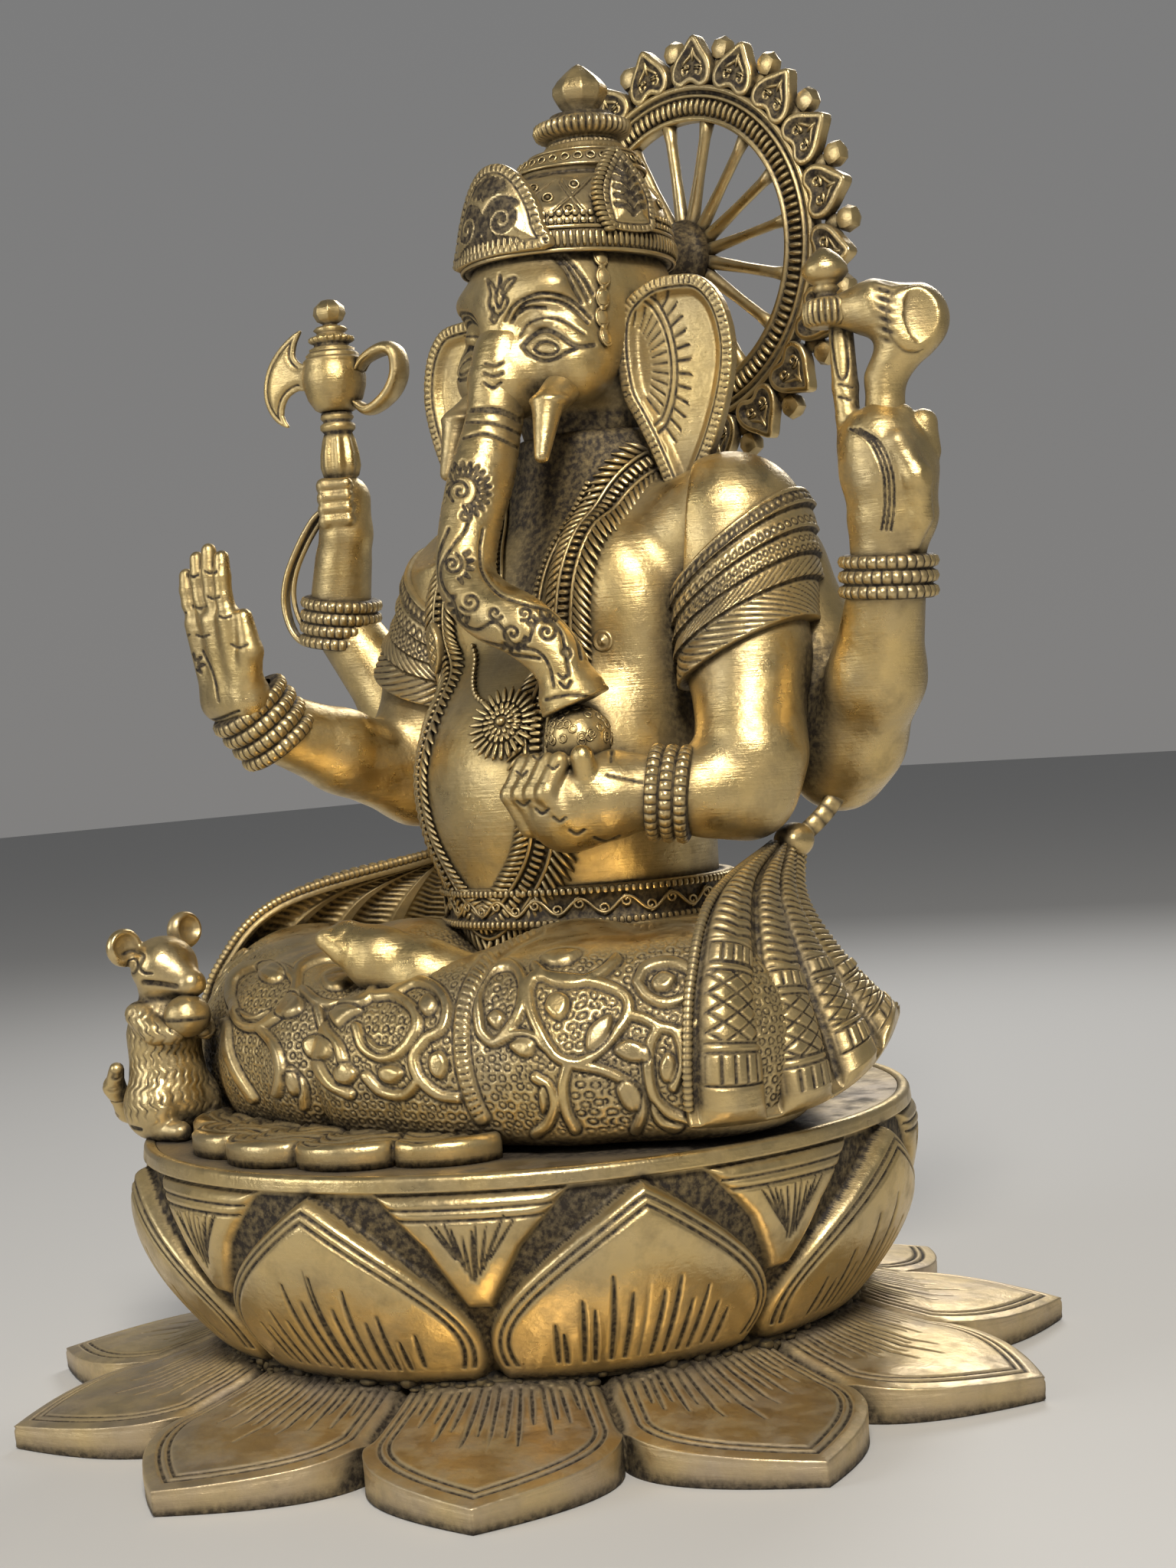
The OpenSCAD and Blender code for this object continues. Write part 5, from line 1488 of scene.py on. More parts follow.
def bead_ring(a, b, cy, z, step, size, lift=0.0):
    """Beads set round an oval."""
    p = resample(oval(a, b, cy, 200)[0], step, True)
    n = oval_normals(p, a, b, cy)
    p = p + A([0, 0, z]) + n * lift
    return stamp(BALL2, p, np.tile(A(size, float) * np.ones(3), (len(p), 1)), frames_at(n))


def oval_shell(profile, half_x, half_y, cy, n):
    """Closed ring; the profile is [out, z] from the inside bottom round the outside to the inside top."""
    pr = A(profile, float)
    t = np.arange(n) / n * 2 * PI
    v = np.stack([(half_x + pr[:, :1]) * np.cos(t), (half_y + pr[:, :1]) * np.sin(t) + cy,
                  pr[:, 1:] + 0 * t], -1)
    return v.reshape(-1, 3), grid_faces(len(pr), n, True, True)[:, ::-1]


def belt():
    """Oval belt with beaded edges."""
    a, b, cy = 48.5, 42.5, 33.5
    z0, z1 = 138.6, 151.4
    v, f = oval_shell([[-3, z0], [1.2, z0], [1.6, z0 + 1.5], [0.2, z0 + 3], [0.2, z1 - 3], [1.6, z1 - 1.5],
                       [1.2, z1], [-3, z1]],
                      a, b, cy, 240)
    g = np.tile(A([0.6, 0.2, 0.2, 1, 1, 0.2, 0.2, 0.6])[:, None], (1, 240)).ravel()
    parts = [(v, f, g)]
    for z in (z0 + 1.6, z1 - 1.6):
        parts.append(bead_ring(a, b, cy, z, 2.1, (0.95, 1.3, 1.1), 1.7))
    mid = (z0 + z1) / 2
    p = resample(oval(a, b, cy, 400)[0], 0.6, True)
    n = oval_normals(p, a, b, cy)
    s = np.arange(len(p)) / len(p) * 2 * PI * 20
    wave = p + n * 0.9
    wave[:, 2] = mid + 2.3 * np.sin(s)
    parts.append(tube(wave, 0.6, 6, True))
    for k in range(40):
        i = int((k + 0.5) * len(p) / 40) % len(p)
        fr = frames_at(n[i:i + 1])[0]
        sp = spiral(0, 0, 2.0, 0.5, 1.2, -PI / 2 if k % 2 else PI / 2, 1, 12)
        loc = np.column_stack([sp[:, 0], sp[:, 1] + (-0.9 if k % 2 else 0.9), np.full(len(sp), 0.9)])
        parts.append(tube(loc @ fr + p[i] + A([0, 0, mid]), 0.5, 5))
    build("belt_scrolls", merge(parts), ["belt"])


# ------------------------------------------------------------------ crown
DOME = A([[350, 30, 34, 46], [357, 32, 35.5, 46], [363, 31, 33.5, 47], [368, 28.5, 30.5, 49],
          [372, 25, 27, 50.5], [375, 22.5, 24, 52], [377, 20.5, 21.5, 53], [379, 21.5, 22, 53.5],
          [382, 20.5, 20.5, 54.5], [385, 17.5, 17.5, 55.5],
          [387, 14, 14, 56.5], [389, 13, 13, 57]], float)


def crown_at(z):
    """Half widths and centre of the dome at a height."""
    return [np.interp(z, DOME[:, 0], DOME[:, k]) for k in (1, 2, 3)]


def headband():
    """Band round the head with beads and two edge wires."""
    v, f = oval_shell([[-2.5, 348.2], [0.6, 348.2], [1.6, 349.6], [2.2, 352], [1.6, 354.6], [0.6, 356],
                       [-2.5, 356]],
                      31, 35, 46, 240)
    g = np.tile(A([0.5, 0.3, 0.6, 0.6, 0.6, 0.3, 0.5])[:, None], (1, 240)).ravel()
    parts = [(v, f, g), bead_ring(31, 35, 46, 352.1, 2.0, (0.9, 2.9, 1.2), 1.9)]
    for z in (348.6, 355.8):
        p = oval(31, 35, 46, 160)[0]
        nn = oval_normals(p, 31, 35, 46)
        parts.append(tube(p + nn * 1.4 + A([0, 0, z]), 0.75, 6, True))
    build("crown_headband", merge(parts), ["crown_band"])


def dome():
    """Dome with a raised lattice, rings in its diamonds and two rows of beads."""
    n, rows = 720, 96
    z = np.linspace(350, 388.9, rows)
    a, b, cy = crown_at(z)
    t = np.arange(n) / n * 2 * PI
    turns = 13
    p1 = turns * t[None] + (z[:, None] - 357) * PI / 9.0
    p2 = turns * t[None] - (z[:, None] - 357) * PI / 9.0
    cross = np.minimum(np.abs(np.sin(p1 / 2)), np.abs(np.sin(p2 / 2)))
    zone = np.clip((z - 358) / 1.5, 0, 1) * np.clip((374 - z) / 1.5, 0, 1)
    strip = np.clip(1 - cross / 0.13, 0, 1) ** 0.5 * zone[:, None]
    lines = bell(cross - 0.17, 0.05) * zone[:, None]
    dark = bell(z - 376.5, 1.3)[:, None] * np.ones(n)
    ticks = ripple(44 * t)[None] ** 4 * bell(z - 386, 1.2)[:, None]
    g = np.maximum.reduce([lines, dark, ticks])
    out = 0.7 * strip - 0.45 * g
    v = np.stack([(a[:, None] + out) * np.cos(t), (b[:, None] + out) * np.sin(t) + cy[:, None],
                  z[:, None] + 0 * t], -1)
    cap = A([[0, 57, 388.9], [0, 46, 350]], float)
    v = np.concatenate([np.tile(cap[1], (1, n, 1)), v, np.tile(cap[0], (1, n, 1))])
    g = np.vstack([np.zeros((1, n)), g, np.zeros((1, n))])
    parts = [(v.reshape(-1, 3), grid_faces(rows + 2, n, False, True)[:, ::-1], g.ravel())]
    for level, phase in ((361.5, 0.5), (366, 0.0), (370.5, 0.5)):
        a, b, cy = crown_at(level)
        th = (np.arange(turns) + phase) / turns * 2 * PI
        c = np.stack([a * np.cos(th), b * np.sin(th) + cy, np.full(turns, level)], 1)
        nn = oval_normals(c, a, b, cy) + A([0, 0, 0.45])
        parts.append(stamp(torus_unit(0.30, 12, 5), c + unit(nn) * 0.5, 1.55, frames_at(nn)))
        parts.append(stamp(BALL2, c + unit(nn) * 0.4, 0.75))
    for level, step in ((357.6, 2.5), (360.2, 2.5)):
        a, b, cy = crown_at(level)
        parts.append(bead_ring(a, b, cy, level, step, 1.15, 0.4))
    a, b, cy = crown_at(382)
    p = resample(oval(a, b, cy, 200)[0], 4.1, True) + A([0, 0, 382])
    nn = oval_normals(p, a, b, cy) + A([0, 0, 0.5])
    parts.append(stamp(torus_unit(0.32, 12, 5), p + unit(nn) * 0.2, 1.35, frames_at(nn)))
    for level in (379.2, 385.2):
        a, b, cy = crown_at(level)
        ring = oval(a, b, cy, 120)[0] + A([0, 0, level])
        parts.append(tube(ring + oval_normals(ring, a, b, cy) * 0.3, 0.7, 6, True))
    build("crown_lattice", merge(parts), ["crown_dome"])


def ribbed_disc():
    """Ribbed disc on top of the dome."""
    v, f = lathe([[0.1, 387.5], [11, 387.5], [12.2, 388.6], [12.4, 389.6], [10.8, 390.6], [11.8, 391.4],
                  [15.0, 392.6], [15.9, 394.6], [15.4, 396.6], [12.6, 397.8], [10.6, 398.4], [10.4, 399.6],
                  [0.1, 400]],
                 (0, 57, 0), 240,
                 lambda r, z, angle: np.where(r > 13, 0.55 * np.cos(angle * 40),
                                                np.where(r > 11.5, 0.3 * np.cos(angle * 46), 0)))
    rr = np.hypot(v[:, 0], v[:, 1] - 57)
    ang = np.arctan2(v[:, 1] - 57, v[:, 0])
    g = np.where(rr > 12.6, (0.5 - 0.5 * np.cos(ang * 40)) ** 2, np.where(rr < 11.4, 0.7, 0.2))
    build("crown_ribbed_disc", (v, f, g), ["crown_collar"])


def faceted(r, angle, sides):
    """How far a round section is cut in to make it a polygon."""
    w = (angle * sides / (2 * PI)) % 1.0 - 0.5
    return r * (math.cos(PI / sides) / np.cos(w * 2 * PI / sides) - 1)


def crown_bud():
    """Faceted bud that ends the crown."""

    def facet(r, z, angle):
        return faceted(r, angle, 9) * np.clip((z - 401) / 3, 0, 1)

    v, f = lathe([[0.1, 399], [5.6, 399.4], [5.2, 401], [7.4, 403.2], [9.3, 406.4], [9.1, 408.6],
                  [7.2, 411.2], [4.4, 413.8], [2.0, 415.8], [0.1, 416.8]], (0, 57, 0), 108, facet)
    build("crown_bud", (v, f, np.clip((402 - v[:, 2]) / 2, 0, 1)), ["crown_finial"], polished)


def halo_cone():
    """Stand-off between the crown and the halo."""
    v, f = lathe([[0.1, -1.0], [7.0, -1.0], [7.4, 3], [6.6, 6], [6.8, 12], [8.0, 18], [10.5, 23],
                  [12.5, 25.5], [0.1, 25.6]],
                 (0, 0, 0), 60)
    turn = A([[1, 0, 0], [0, 0, -1], [0, 1, 0]], float)
    build("halo_cone", (v @ turn + A([0, 75.5, 357]), f, np.full(len(v), 0.75)), ["halo_stub"])


PLAQUE = [[-16.5, 0], [-16.5, 7], [-14, 14], [-9.5, 20.5], [-3.5, 24.3], [3.5, 24.3], [9.5, 20.5],
          [14, 14], [16.5, 7], [16.5, 0]]
SIDE_LEAF = [[-7, 0], [-9, 5], [-9.2, 12], [-6.5, 19], [-2, 25], [0, 27.5], [2, 25], [6.5, 19], [9.2, 12],
             [9, 5], [7, 0]]


def front_plaque():
    """Arched plate over the forehead with two scrolls."""
    v, q, d2 = plate(smooth_line(PLAQUE, 4, True), 2.2, 1.7, 2.6, -1.0, 0.4, 6)
    front = v[:, 2] > 0.4
    xy = v[:, :2]
    lines = [spiral(6.6 * s, 8.0, 5.2, 0.8, 1.7, -PI / 2, -s, 30) for s in (1, -1)]
    lines += [spiral(6.6 * s, 8.0, 6.4, 5.6, 0.6, -PI / 2, -s, 20) for s in (1, -1)]
    lines += [[(x, 15.0 + abs(x) * 0.3), (x * 0.86, 21.0 - abs(x) * 0.35)] for x
              in (-6, -4, -2, 0, 2, 4, 6)]
    lines += [[(-11, 2.2), (-4, 3.4), (4, 3.4), (11, 2.2)]]
    g = np.zeros(len(v))
    for ln in lines:
        g = np.maximum(g, bell(line_dist(xy, smooth_line(ln, 3), 2), 0.30))
    arc = resample_angle(xy, smooth_line(PLAQUE, 4, True))
    g = np.maximum(g * 0.75 * (d2 < -2.6), ripple(arc * 2 * PI / 1.9) ** 3 * (d2 > -2.2) * (d2 < -0.2))
    g = np.maximum(g, bell(d2 + 2.6, 0.35)) * front
    v[:, 2] -= 0.5 * g + (v[:, 0] / 16.5) ** 2 * 5.5
    v[:, :2] *= 1.2
    tip = math.radians(11)
    fr = A([[1, 0, 0], [0, math.sin(tip), math.cos(tip)], [0, -math.cos(tip), math.sin(tip)]])
    build("crown_front_plaque", (v @ fr + A([0, 9.6, 350.0]), q, g), ["crown_plaque"])


def side_leaf(s, side):
    """Leaf over the ear, with a feathered vein and a beaded wing."""
    v, q, d2 = plate(smooth_line(SIDE_LEAF, 4, True), 2.6, 2.0, 2.4, -0.8, 0.4, 6)
    front = v[:, 2] > 0.4
    xy = v[:, :2]
    g = bell(np.abs(xy[:, 0]), 0.4) * (xy[:, 1] > 4) * (xy[:, 1] < 22)
    for k in range(6):
        for sg in (1, -1):
            y0 = 5 + 3 * k
            ln = [(0, y0), (sg * 2.4, y0 + 2.2), (sg * (5.2 - 0.45 * k), y0 + 2.8)]
            g = np.maximum(g, bell(line_dist(xy, ln, 2), 0.28))
    arc = resample_angle(xy, smooth_line(SIDE_LEAF, 4, True))
    g = np.maximum(g * (d2 < -2.4), ripple(arc * 2 * PI / 1.8) ** 3 * (d2 > -2.0) * (d2 < -0.3))
    g = np.maximum(g, bell(d2 + 2.3, 0.35)) * front
    v[:, 2] -= 0.5 * g
    parts = [(v, q, g)]
    wing = smooth_line([[-9, 0, 1], [-11.5, 6, 1.5], [-11, 14, 1.5], [-7, 21, 1.5], [-3, 26, 1]], 6)
    wing = resample(wing, 1.7)
    parts.append(stamp(BALL2, wing, np.tile(A([2.0, 1.0, 2.2]), (len(wing), 1))))
    a = math.radians(78)
    fr = A([[math.cos(a), math.sin(a), 0], [-0.16, 0, 0.99], [math.sin(a), -math.cos(a), 0]])
    w, f, g = merge(parts)
    w = (w @ fr + A([33, 42, 354.5])) * A([s, 1, 1])
    if s < 0:
        f = f[:, ::-1]
    build(side + "_crown_side_leaf", (w, f, g), [side + "_crown_leaf"])


def temple_chain(s, side):
    """Chain of framed beads from the headband down the temple."""
    z = np.arange(346, 320, -6.4)
    p = np.stack([np.full(len(z), 60.0 * s), 33 - 0.15 * (346 - z), z], 1)
    for _ in range(50):
        p[:, 0] -= s * np.clip(skull_d(p), -2, 6) * 0.8
    nn = grad(skull_d, p)
    big = stamp(BALL, p + nn * 0.8, np.tile(A([2.4, 3.0, 1.5]), (len(p), 1)), frames_at(nn))
    rim = stamp(torus_unit(0.22, 14, 5), p + nn * 1.2, np.tile(A([2.1, 2.9, 1.6]), (len(p), 1)),
                frames_at(nn))
    mid = stamp(BALL2, (p[1:] + p[:-1]) / 2 + (nn[1:] + nn[:-1]) * 0.5, 1.2)
    w, f, g = merge([big, rim, mid])
    build(side + "_temple_chain", (w, f, g), [])


garland()
breast_discs()
brooch()
clasp()
belt()
headband()
dome()
ribbed_disc()
crown_bud()
halo_cone()
front_plaque()
for sign, side in ((1, "left"), (-1, "right")):
    side_leaf(sign, side)
    temple_chain(sign, side)


# ------------------------------------------------------------------ chased lines on the skins
def facing(v, n):
    """1 where a vertex faces the eye, 0 where it is turned away."""
    d = CAM - v
    return np.clip((d * n).sum(1) / np.linalg.norm(d, axis=1) / 0.22, 0, 1)


def chart(v, mirrored=False):
    """Where each vertex falls on the plane on which the ornament is drawn."""
    return drawing_plane(v * MIRROR if mirrored else v)


def decal(v, n, lines, width=0.5, mirrored=False):
    """Engraved lines drawn in the view's plane: 0 to 1 per vertex."""
    uv, size = chart(v, mirrored)
    out = np.zeros(len(v))
    for ln in lines:
        w = width
        if isinstance(ln, tuple):
            ln, w = ln
        d = line_dist(uv, smooth_line(ln, 5), 3.4) * size
        out = np.maximum(out, np.minimum(1.7 * bell(d, w), 1.0))
    m = MIRROR if mirrored else 1.0
    return out * facing(v * m, n * m)


def band(v, n, lines, half=1.0, mirrored=False):
    """Raised vine bands with a dark line on each side: (height, groove)."""
    uv, size = chart(v, mirrored)
    d = np.full(len(v), 99.0)
    for ln in lines:
        d = np.minimum(d, line_dist(uv, smooth_line(ln, 5), 5.5) * size)
    m = MIRROR if mirrored else 1.0
    fc = facing(v * m, n * m)
    upper = np.clip(1 - (d / half) ** 4, 0, 1) * fc
    gr = bell(d - half * 1.25, 0.42) * fc
    return upper, gr, d


def blob(v, n, shapes, mirrored=False):
    """Raised leaves given by closed outlines: (height, groove, inside)."""
    uv, size = chart(v, mirrored)
    hgt, gr, ins = np.zeros(len(v)), np.zeros(len(v)), np.zeros(len(v), bool)
    m = MIRROR if mirrored else 1.0
    fc = facing(v * m, n * m)
    for sh in shapes:
        pts = smooth_line(sh, 4, True)
        lo, hi = pts.min(0) - 2.5, pts.max(0) + 2.5
        k = np.nonzero(((uv >= lo) & (uv <= hi)).all(1) & (fc > 0))[0]
        if len(k) == 0:
            continue
        d = poly_dist(uv[k], pts) * size[k]
        hgt[k] = np.maximum(hgt[k], np.clip(-d / 1.2, 0, 1) ** 0.5 * fc[k])
        gr[k] = np.maximum(gr[k], bell(d - 0.3, 0.42) * fc[k])
        ins[k] |= d < 0.6
    return hgt, gr, ins


def ringlets(v, n, pitch=3.1, r=0.95):
    """Punched rings laid on the surface by its main direction."""
    ax = np.abs(n).argmax(1)
    a = np.where(ax == 0, v[:, 1], v[:, 0])
    b = np.where(ax == 2, v[:, 1], v[:, 2])
    row = np.round(b / (pitch * 0.866))
    a2 = a + (row % 2) * pitch / 2
    col = np.round(a2 / pitch)
    jx = 0.3 * np.sin(row * 12.9 + col * 78.2) * pitch * 0.3
    jz = 0.3 * np.sin(row * 39.3 + col * 11.1) * pitch * 0.3
    d = np.hypot(a2 - col * pitch - jx, b - row * pitch * 0.866 - jz)
    return bell(d - r, 0.36)


LEFT_VINES = [
    [(-19, -64.5), (-16.5, -60.5), (-9, -61), (3, -62.5), (11.5, -66.5), (12.5, -72.5), (7.5, -80),
     (1, -86), (-4.5, -88), (-10.5, -85.5), (-15, -78.5), (-18, -71.5),
     (-19, -64.5)],
    [(-16.5, -57.5), (-11.5, -61.5), (-4, -62.5), (4, -59.5), (9, -55)],
    [(15.5, -62.5), (18.5, -57.5), (26.5, -56), (33, -59.5), (32.5, -66), (25, -69), (19, -67),
     (15.5, -62.5)],
    [(-34.5, -74), (-35, -65.5), (-31, -58.5), (-24, -57), (-20.5, -62.5), (-21.5, -71.5), (-25.5, -78),
     (-29.5, -81.5), (-33.5, -78.5), (-34.5, -74)],
    [(-29.5, -81.5), (-23, -79), (-17, -80), (-11.5, -84)],
    [(-6.5, -89), (-8, -95.5), (-7, -103), (-4, -109)],
    [(-16.5, -92.5), (-12.5, -95.5), (-10.5, -101), (-12.5, -107), (-16.5, -110.5)],
    [(22.5, -76.5), (19.5, -82.5), (19, -90.5), (21, -99), (27, -104.5), (35.5, -106.5)],
    [(12.5, -72.5), (18, -74), (22.5, -76.5), (28, -78.5), (30, -87), (27, -95.5)],
    [(-4, -88.5), (5.5, -90.5), (14, -95.5), (17, -103), (15, -109.5)],
    [(33, -59.5), (35.5, -66.5), (34.5, -75), (28, -78.5)],
]
LEFT_LEAVES = [
    [(-13.5, -71), (-12.5, -67), (-9, -65.5), (-6, -67.5), (-6.5, -72), (-9.5, -74.5)],
    [(0, -84.5), (-0.5, -79), (2, -75), (7, -72.5), (7.5, -76.5), (5, -81.5)],
    [(-25, -82.5), (-21, -80), (-16.5, -81.5), (-17.5, -85.5), (-21, -86)],
    [(8, -84), (12, -80.5), (18, -82.5), (19, -87), (13, -87.5)],
    [(9, -96), (12.5, -93.5), (16.5, -97.5), (15.5, -103), (11.5, -102)],
    [(-15.5, -97), (-13.5, -95.5), (-12.5, -100.5), (-14.5, -104)],
    [(-32, -74), (-29, -71), (-26, -73.5), (-28.5, -77.5)],
    [(20, -62), (23.5, -59), (28, -61), (25.5, -65), (21, -65)],
    [(22.5, -89), (25, -84.5), (28, -88), (26.5, -93.5), (23.5, -93.5)],
    [(20, -100.5), (24.5, -105.5), (30.5, -107.5), (27, -110.5), (21, -106.5)],
    [(-15, -54.5), (-9, -52), (-2, -52.5), (-5.5, -56), (-11.5, -57)],
]
HEM = [(-16.5, -45.5), (-27.5, -51.5), (-35, -60), (-39, -69.5), (-40, -80), (-39, -90.5), (-36, -100.5),
       (-33.5, -105.5)]
RIGHT_VINES = [
    [(-113, -67), (-112, -61), (-107, -57.5), (-100.5, -57), (-94.5, -59), (-92, -63), (-94, -68),
     (-98.5, -73), (-104.5, -76.5), (-110, -75), (-113, -67)],
    [(-89.5, -65), (-84, -69), (-76.5, -69.5), (-69.5, -67), (-66.5, -62.5)],
    [(-85, -71), (-83, -77.5), (-78.5, -83), (-76.5, -91)],
    [(-73, -76.5), (-71, -82.5), (-66, -86), (-61, -85.5), (-57, -82)],
    [(-104, -76.5), (-99, -82.5), (-97, -90), (-98, -97.5)],
    [(-114.5, -75), (-113.5, -84.5), (-110, -92.5), (-105.5, -99.5)],
    [(-92, -63), (-90.5, -57.5), (-84, -54.5), (-76.5, -54.5)],
    [(-57, -82), (-54, -76.5), (-55, -71), (-61, -66.5), (-67, -66.5)],
    [(-94, -90.5), (-90, -95.5), (-89.5, -101.5)],
]
RIGHT_LEAVES = [
    [(-104, -58), (-99.5, -56.5), (-95.5, -59.5), (-98.5, -62.5), (-103, -61.5)],
    [(-110, -71), (-105.5, -73), (-100.5, -71), (-103.5, -74.5), (-108, -74.5)],
    [(-98, -72), (-94.5, -66.5), (-90, -67.5), (-90.5, -71.5), (-95, -73.5)],
    [(-90, -81.5), (-86, -79), (-80.5, -82), (-82, -86.5), (-88, -86)],
    [(-81.5, -72), (-76.5, -70), (-71, -71), (-75.5, -74), (-79, -76.5)],
    [(-70, -79), (-66.5, -82.5), (-62, -83), (-65, -85), (-69, -82.5)],
    [(-95.5, -92), (-92, -91), (-90.5, -97), (-93.5, -98)],
    [(-84, -60.5), (-79, -58), (-72.5, -60), (-76.5, -64), (-82, -64.5)],
]
SHIN_VINES = RIGHT_VINES + [
    [(-62, -66), (-55, -62), (-48, -64), (-44.5, -70), (-46, -77), (-51, -80)],
    [(-51, -80), (-55, -86), (-53, -93), (-47, -98), (-41, -99)],
    [(-70, -92), (-65, -97), (-58, -98), (-53, -93)],
    [(-84, -78), (-86, -86), (-82, -94), (-75, -98)],
]
SHIN_LEAVES = RIGHT_LEAVES + [
    [(-53, -68), (-50, -66), (-47.5, -69), (-50, -73), (-53, -71.5)],
    [(-50, -86), (-46.5, -84), (-44, -88), (-46, -93), (-49.5, -91)],
    [(-66, -90), (-62, -88.5), (-58, -91), (-61, -94.5), (-65, -93.5)],
    [(-80, -90), (-76, -88), (-72.5, -91), (-75, -94.5), (-79, -94)],
]
RIGHT_HEM = [(-65, -91), (-57.5, -86), (-50, -81.5), (-45, -79)]


def carve_leg(v, n):
    """Chased vines, hems and rings on the cloth of a leg, with painted shade along its foot where it meets
    the deck.
    """
    left = v[:, 0].mean() > 0
    sets = [(LEFT_VINES, LEFT_LEAVES, HEM, False, None),
            (SHIN_VINES, SHIN_LEAVES, HEM, False, None)] if left else \
        [(RIGHT_VINES, RIGHT_LEAVES, RIGHT_HEM, False, v[:, 0] > -78),
         (LEFT_VINES, LEFT_LEAVES, HEM, True, v[:, 0] < -82)]
    hgt, g, clear = np.zeros(len(v)), np.zeros(len(v)), np.zeros(len(v))
    for vines, leaves, hem, mir, where in sets:
        u, gg, d = band(v, n, vines, 1.45, mir)
        lh, lg, ins = blob(v, n, leaves, mir)
        hu, hg, hd = band(v, n, [hem], 2.1, mir)
        on = 1.0 if where is None else where.astype(float)
        keep = np.clip((hd - 2.4) / 0.5, 0, 1)
        hgt = np.maximum(hgt, np.maximum(np.maximum(u * 1.25, lh * 1.4) * keep, hu * 0.9) * on)
        g = np.maximum(g, np.maximum(np.maximum(gg * (1 - lh * 0.8) * (d < 9), lg) * keep, hg) * on)
        # beads along the hem
        hl = resample(smooth_line(hem, 8), 0.25)
        uv = chart(v, mir)[0]
        near = np.nonzero((hd < 2.2) & (on > 0 if where is not None else True))[0]
        if len(near):
            s = ((uv[near][:, None] - hl[None]) ** 2).sum(2).argmin(1)
            g[near] = np.maximum(g[near], ripple(s * 2 * PI / 9) ** 4 * (hd[near] < 1.7))
        clear = np.maximum(clear, np.maximum(np.maximum(u, gg), np.maximum(lh, ins)) * on)
        clear = np.maximum(clear, (hd < 3.2) * on)
    rg = ringlets(v, n) * (1 - np.clip(clear * 1.4, 0, 1))
    low = np.clip((v[:, 2] - 86) / 4, 0, 1)
    rg = rg * low * np.clip((0.97 - n[:, 2]) / 0.1, 0, 1)
    top = np.clip((n[:, 2] - 0.86) / 0.1, 0, 1)
    g = np.maximum(g * (1 - 0.5 * top), rg * 0.95)
    v = v + n * (hgt * low - 0.6 * g)[:, None]
    # Painted shade along the bottom of the cloth, where the leg meets the deck.
    foot = bell(v[:, 2] - 84, 3.0) * 0.8
    return v, np.maximum(g, foot)


BROWS = [
    [(-26, 146), (-24, 150), (-21, 152.5), (-15.5, 154.5), (-9.5, 154), (-4.5, 152), (1, 147)],
    [(-24, 145.5), (-20.5, 151), (-15, 152.5), (-9.5, 152), (-5, 150), (0, 145.5)],
    [(-23, 147.5), (-19, 150), (-13.5, 150)],
]
EYE = [
    ([(-20.5, 138), (-18.5, 140.5), (-15.5, 142.5), (-12.5, 143), (-9, 141.5), (-5.5, 139), (-2.5, 138),
      (2, 138.5)], 0.72),
    ([(-20.5, 138), (-18.5, 135.5), (-14.5, 133.5), (-10.5, 134), (-7, 136), (-3.5, 137.5)], 0.6),
    ([(-17, 137), (-15.5, 139), (-13, 139.5), (-10.5, 138.5), (-9.5, 137), (-11.5, 135.5), (-14, 135.5),
      (-16, 136), (-17, 137)], 0.45),
    ([(-21.5, 141.5), (-19, 145), (-14, 147), (-8, 146), (-1, 142)], 0.34),
]
TEMPLE = [
    [(-9.5, 166.5), (-6, 163), (-3, 158.5), (0, 152.5)],
    [(-7.5, 166.5), (-4, 163), (-1, 159), (1.5, 154.5)],
    [(-11, 166.5), (-7, 162), (-5, 157.5), (-2, 151.5)],
]
WRINKLES = [
    [(-32.5, 132.5), (-29.5, 132), (-27, 133)], [(-33, 129.5), (-30, 128.5), (-27, 129.5)],
            [(-33, 126.5), (-30, 125), (-27.5, 126.5)],
    [(-37, 118), (-31.5, 118.5), (-26, 117.5), (-21, 115)],
            [(-38.5, 114), (-32, 114), (-26, 112.5), (-21, 110)],
    [(-39.5, 109), (-33, 110.5), (-27, 108.5), (-21, 105.5)],
            [(-37.5, 117.5), (-31.5, 117.5), (-26, 116.5), (-21, 114)],
]
TILAK = [
    [(-28.5, 147.5), (-30.5, 149), (-31.5, 151.5), (-31, 154.5), (-32, 159), (-30, 157), (-29, 154)],
    [(-28.5, 147.5), (-26.5, 149.5), (-25.5, 152.5), (-26.5, 154.5), (-23, 159.5), (-26, 158.5),
     (-27.5, 154.5)],
    [(-28.5, 150), (-29.5, 153.5), (-28.5, 156.5), (-28, 160.5), (-27.5, 157.5), (-27, 153.5), (-28, 150)],
    [(-30, 150), (-30.5, 147.5)], [(-31, 146.5), (-30, 147.5), (-29, 146.5), (-30, 145.5), (-31, 146.5)],
]


def carve_head(v, n):
    """Engraved lines of the face, and painted shade at the bottom of the head, where it meets the neck."""
    g = decal(v, n, BROWS + EYE + TEMPLE, 0.52) * (v[:, 0] > -2)
    g = np.maximum(g, decal(v, n, BROWS + EYE + TEMPLE, 0.52, True) * (v[:, 0] < -6))
    g = np.maximum(g, decal(v, n, TILAK, 0.42) * (v[:, 0] > -14))
    g = np.maximum(g, decal(v, n, WRINKLES, 0.45))
    hair = 0.5 + 0.5 * np.sin(v[:, 2] * 2.2 + 1.5 * np.sin(v[:, 0] * 0.4))
    back = np.clip((v[:, 1] - 66) / 8, 0, 1)
    g = np.maximum(g, back * hair ** 4 * 0.8)
    # Painted shade darkens the bottom of the head towards the neck.
    neck = np.clip((305 - v[:, 2]) / 7, 0, 1) * 0.9
    v = v - n * (0.65 * g)[:, None]
    return v, np.maximum(g, neck)


def swirl(cx, cy, r, start, hand, turns=1.3):
    """Curl drawn round a point."""
    return [tuple(p) for p in spiral(cx, cy, r, 0.4, turns, start, hand, 14)]


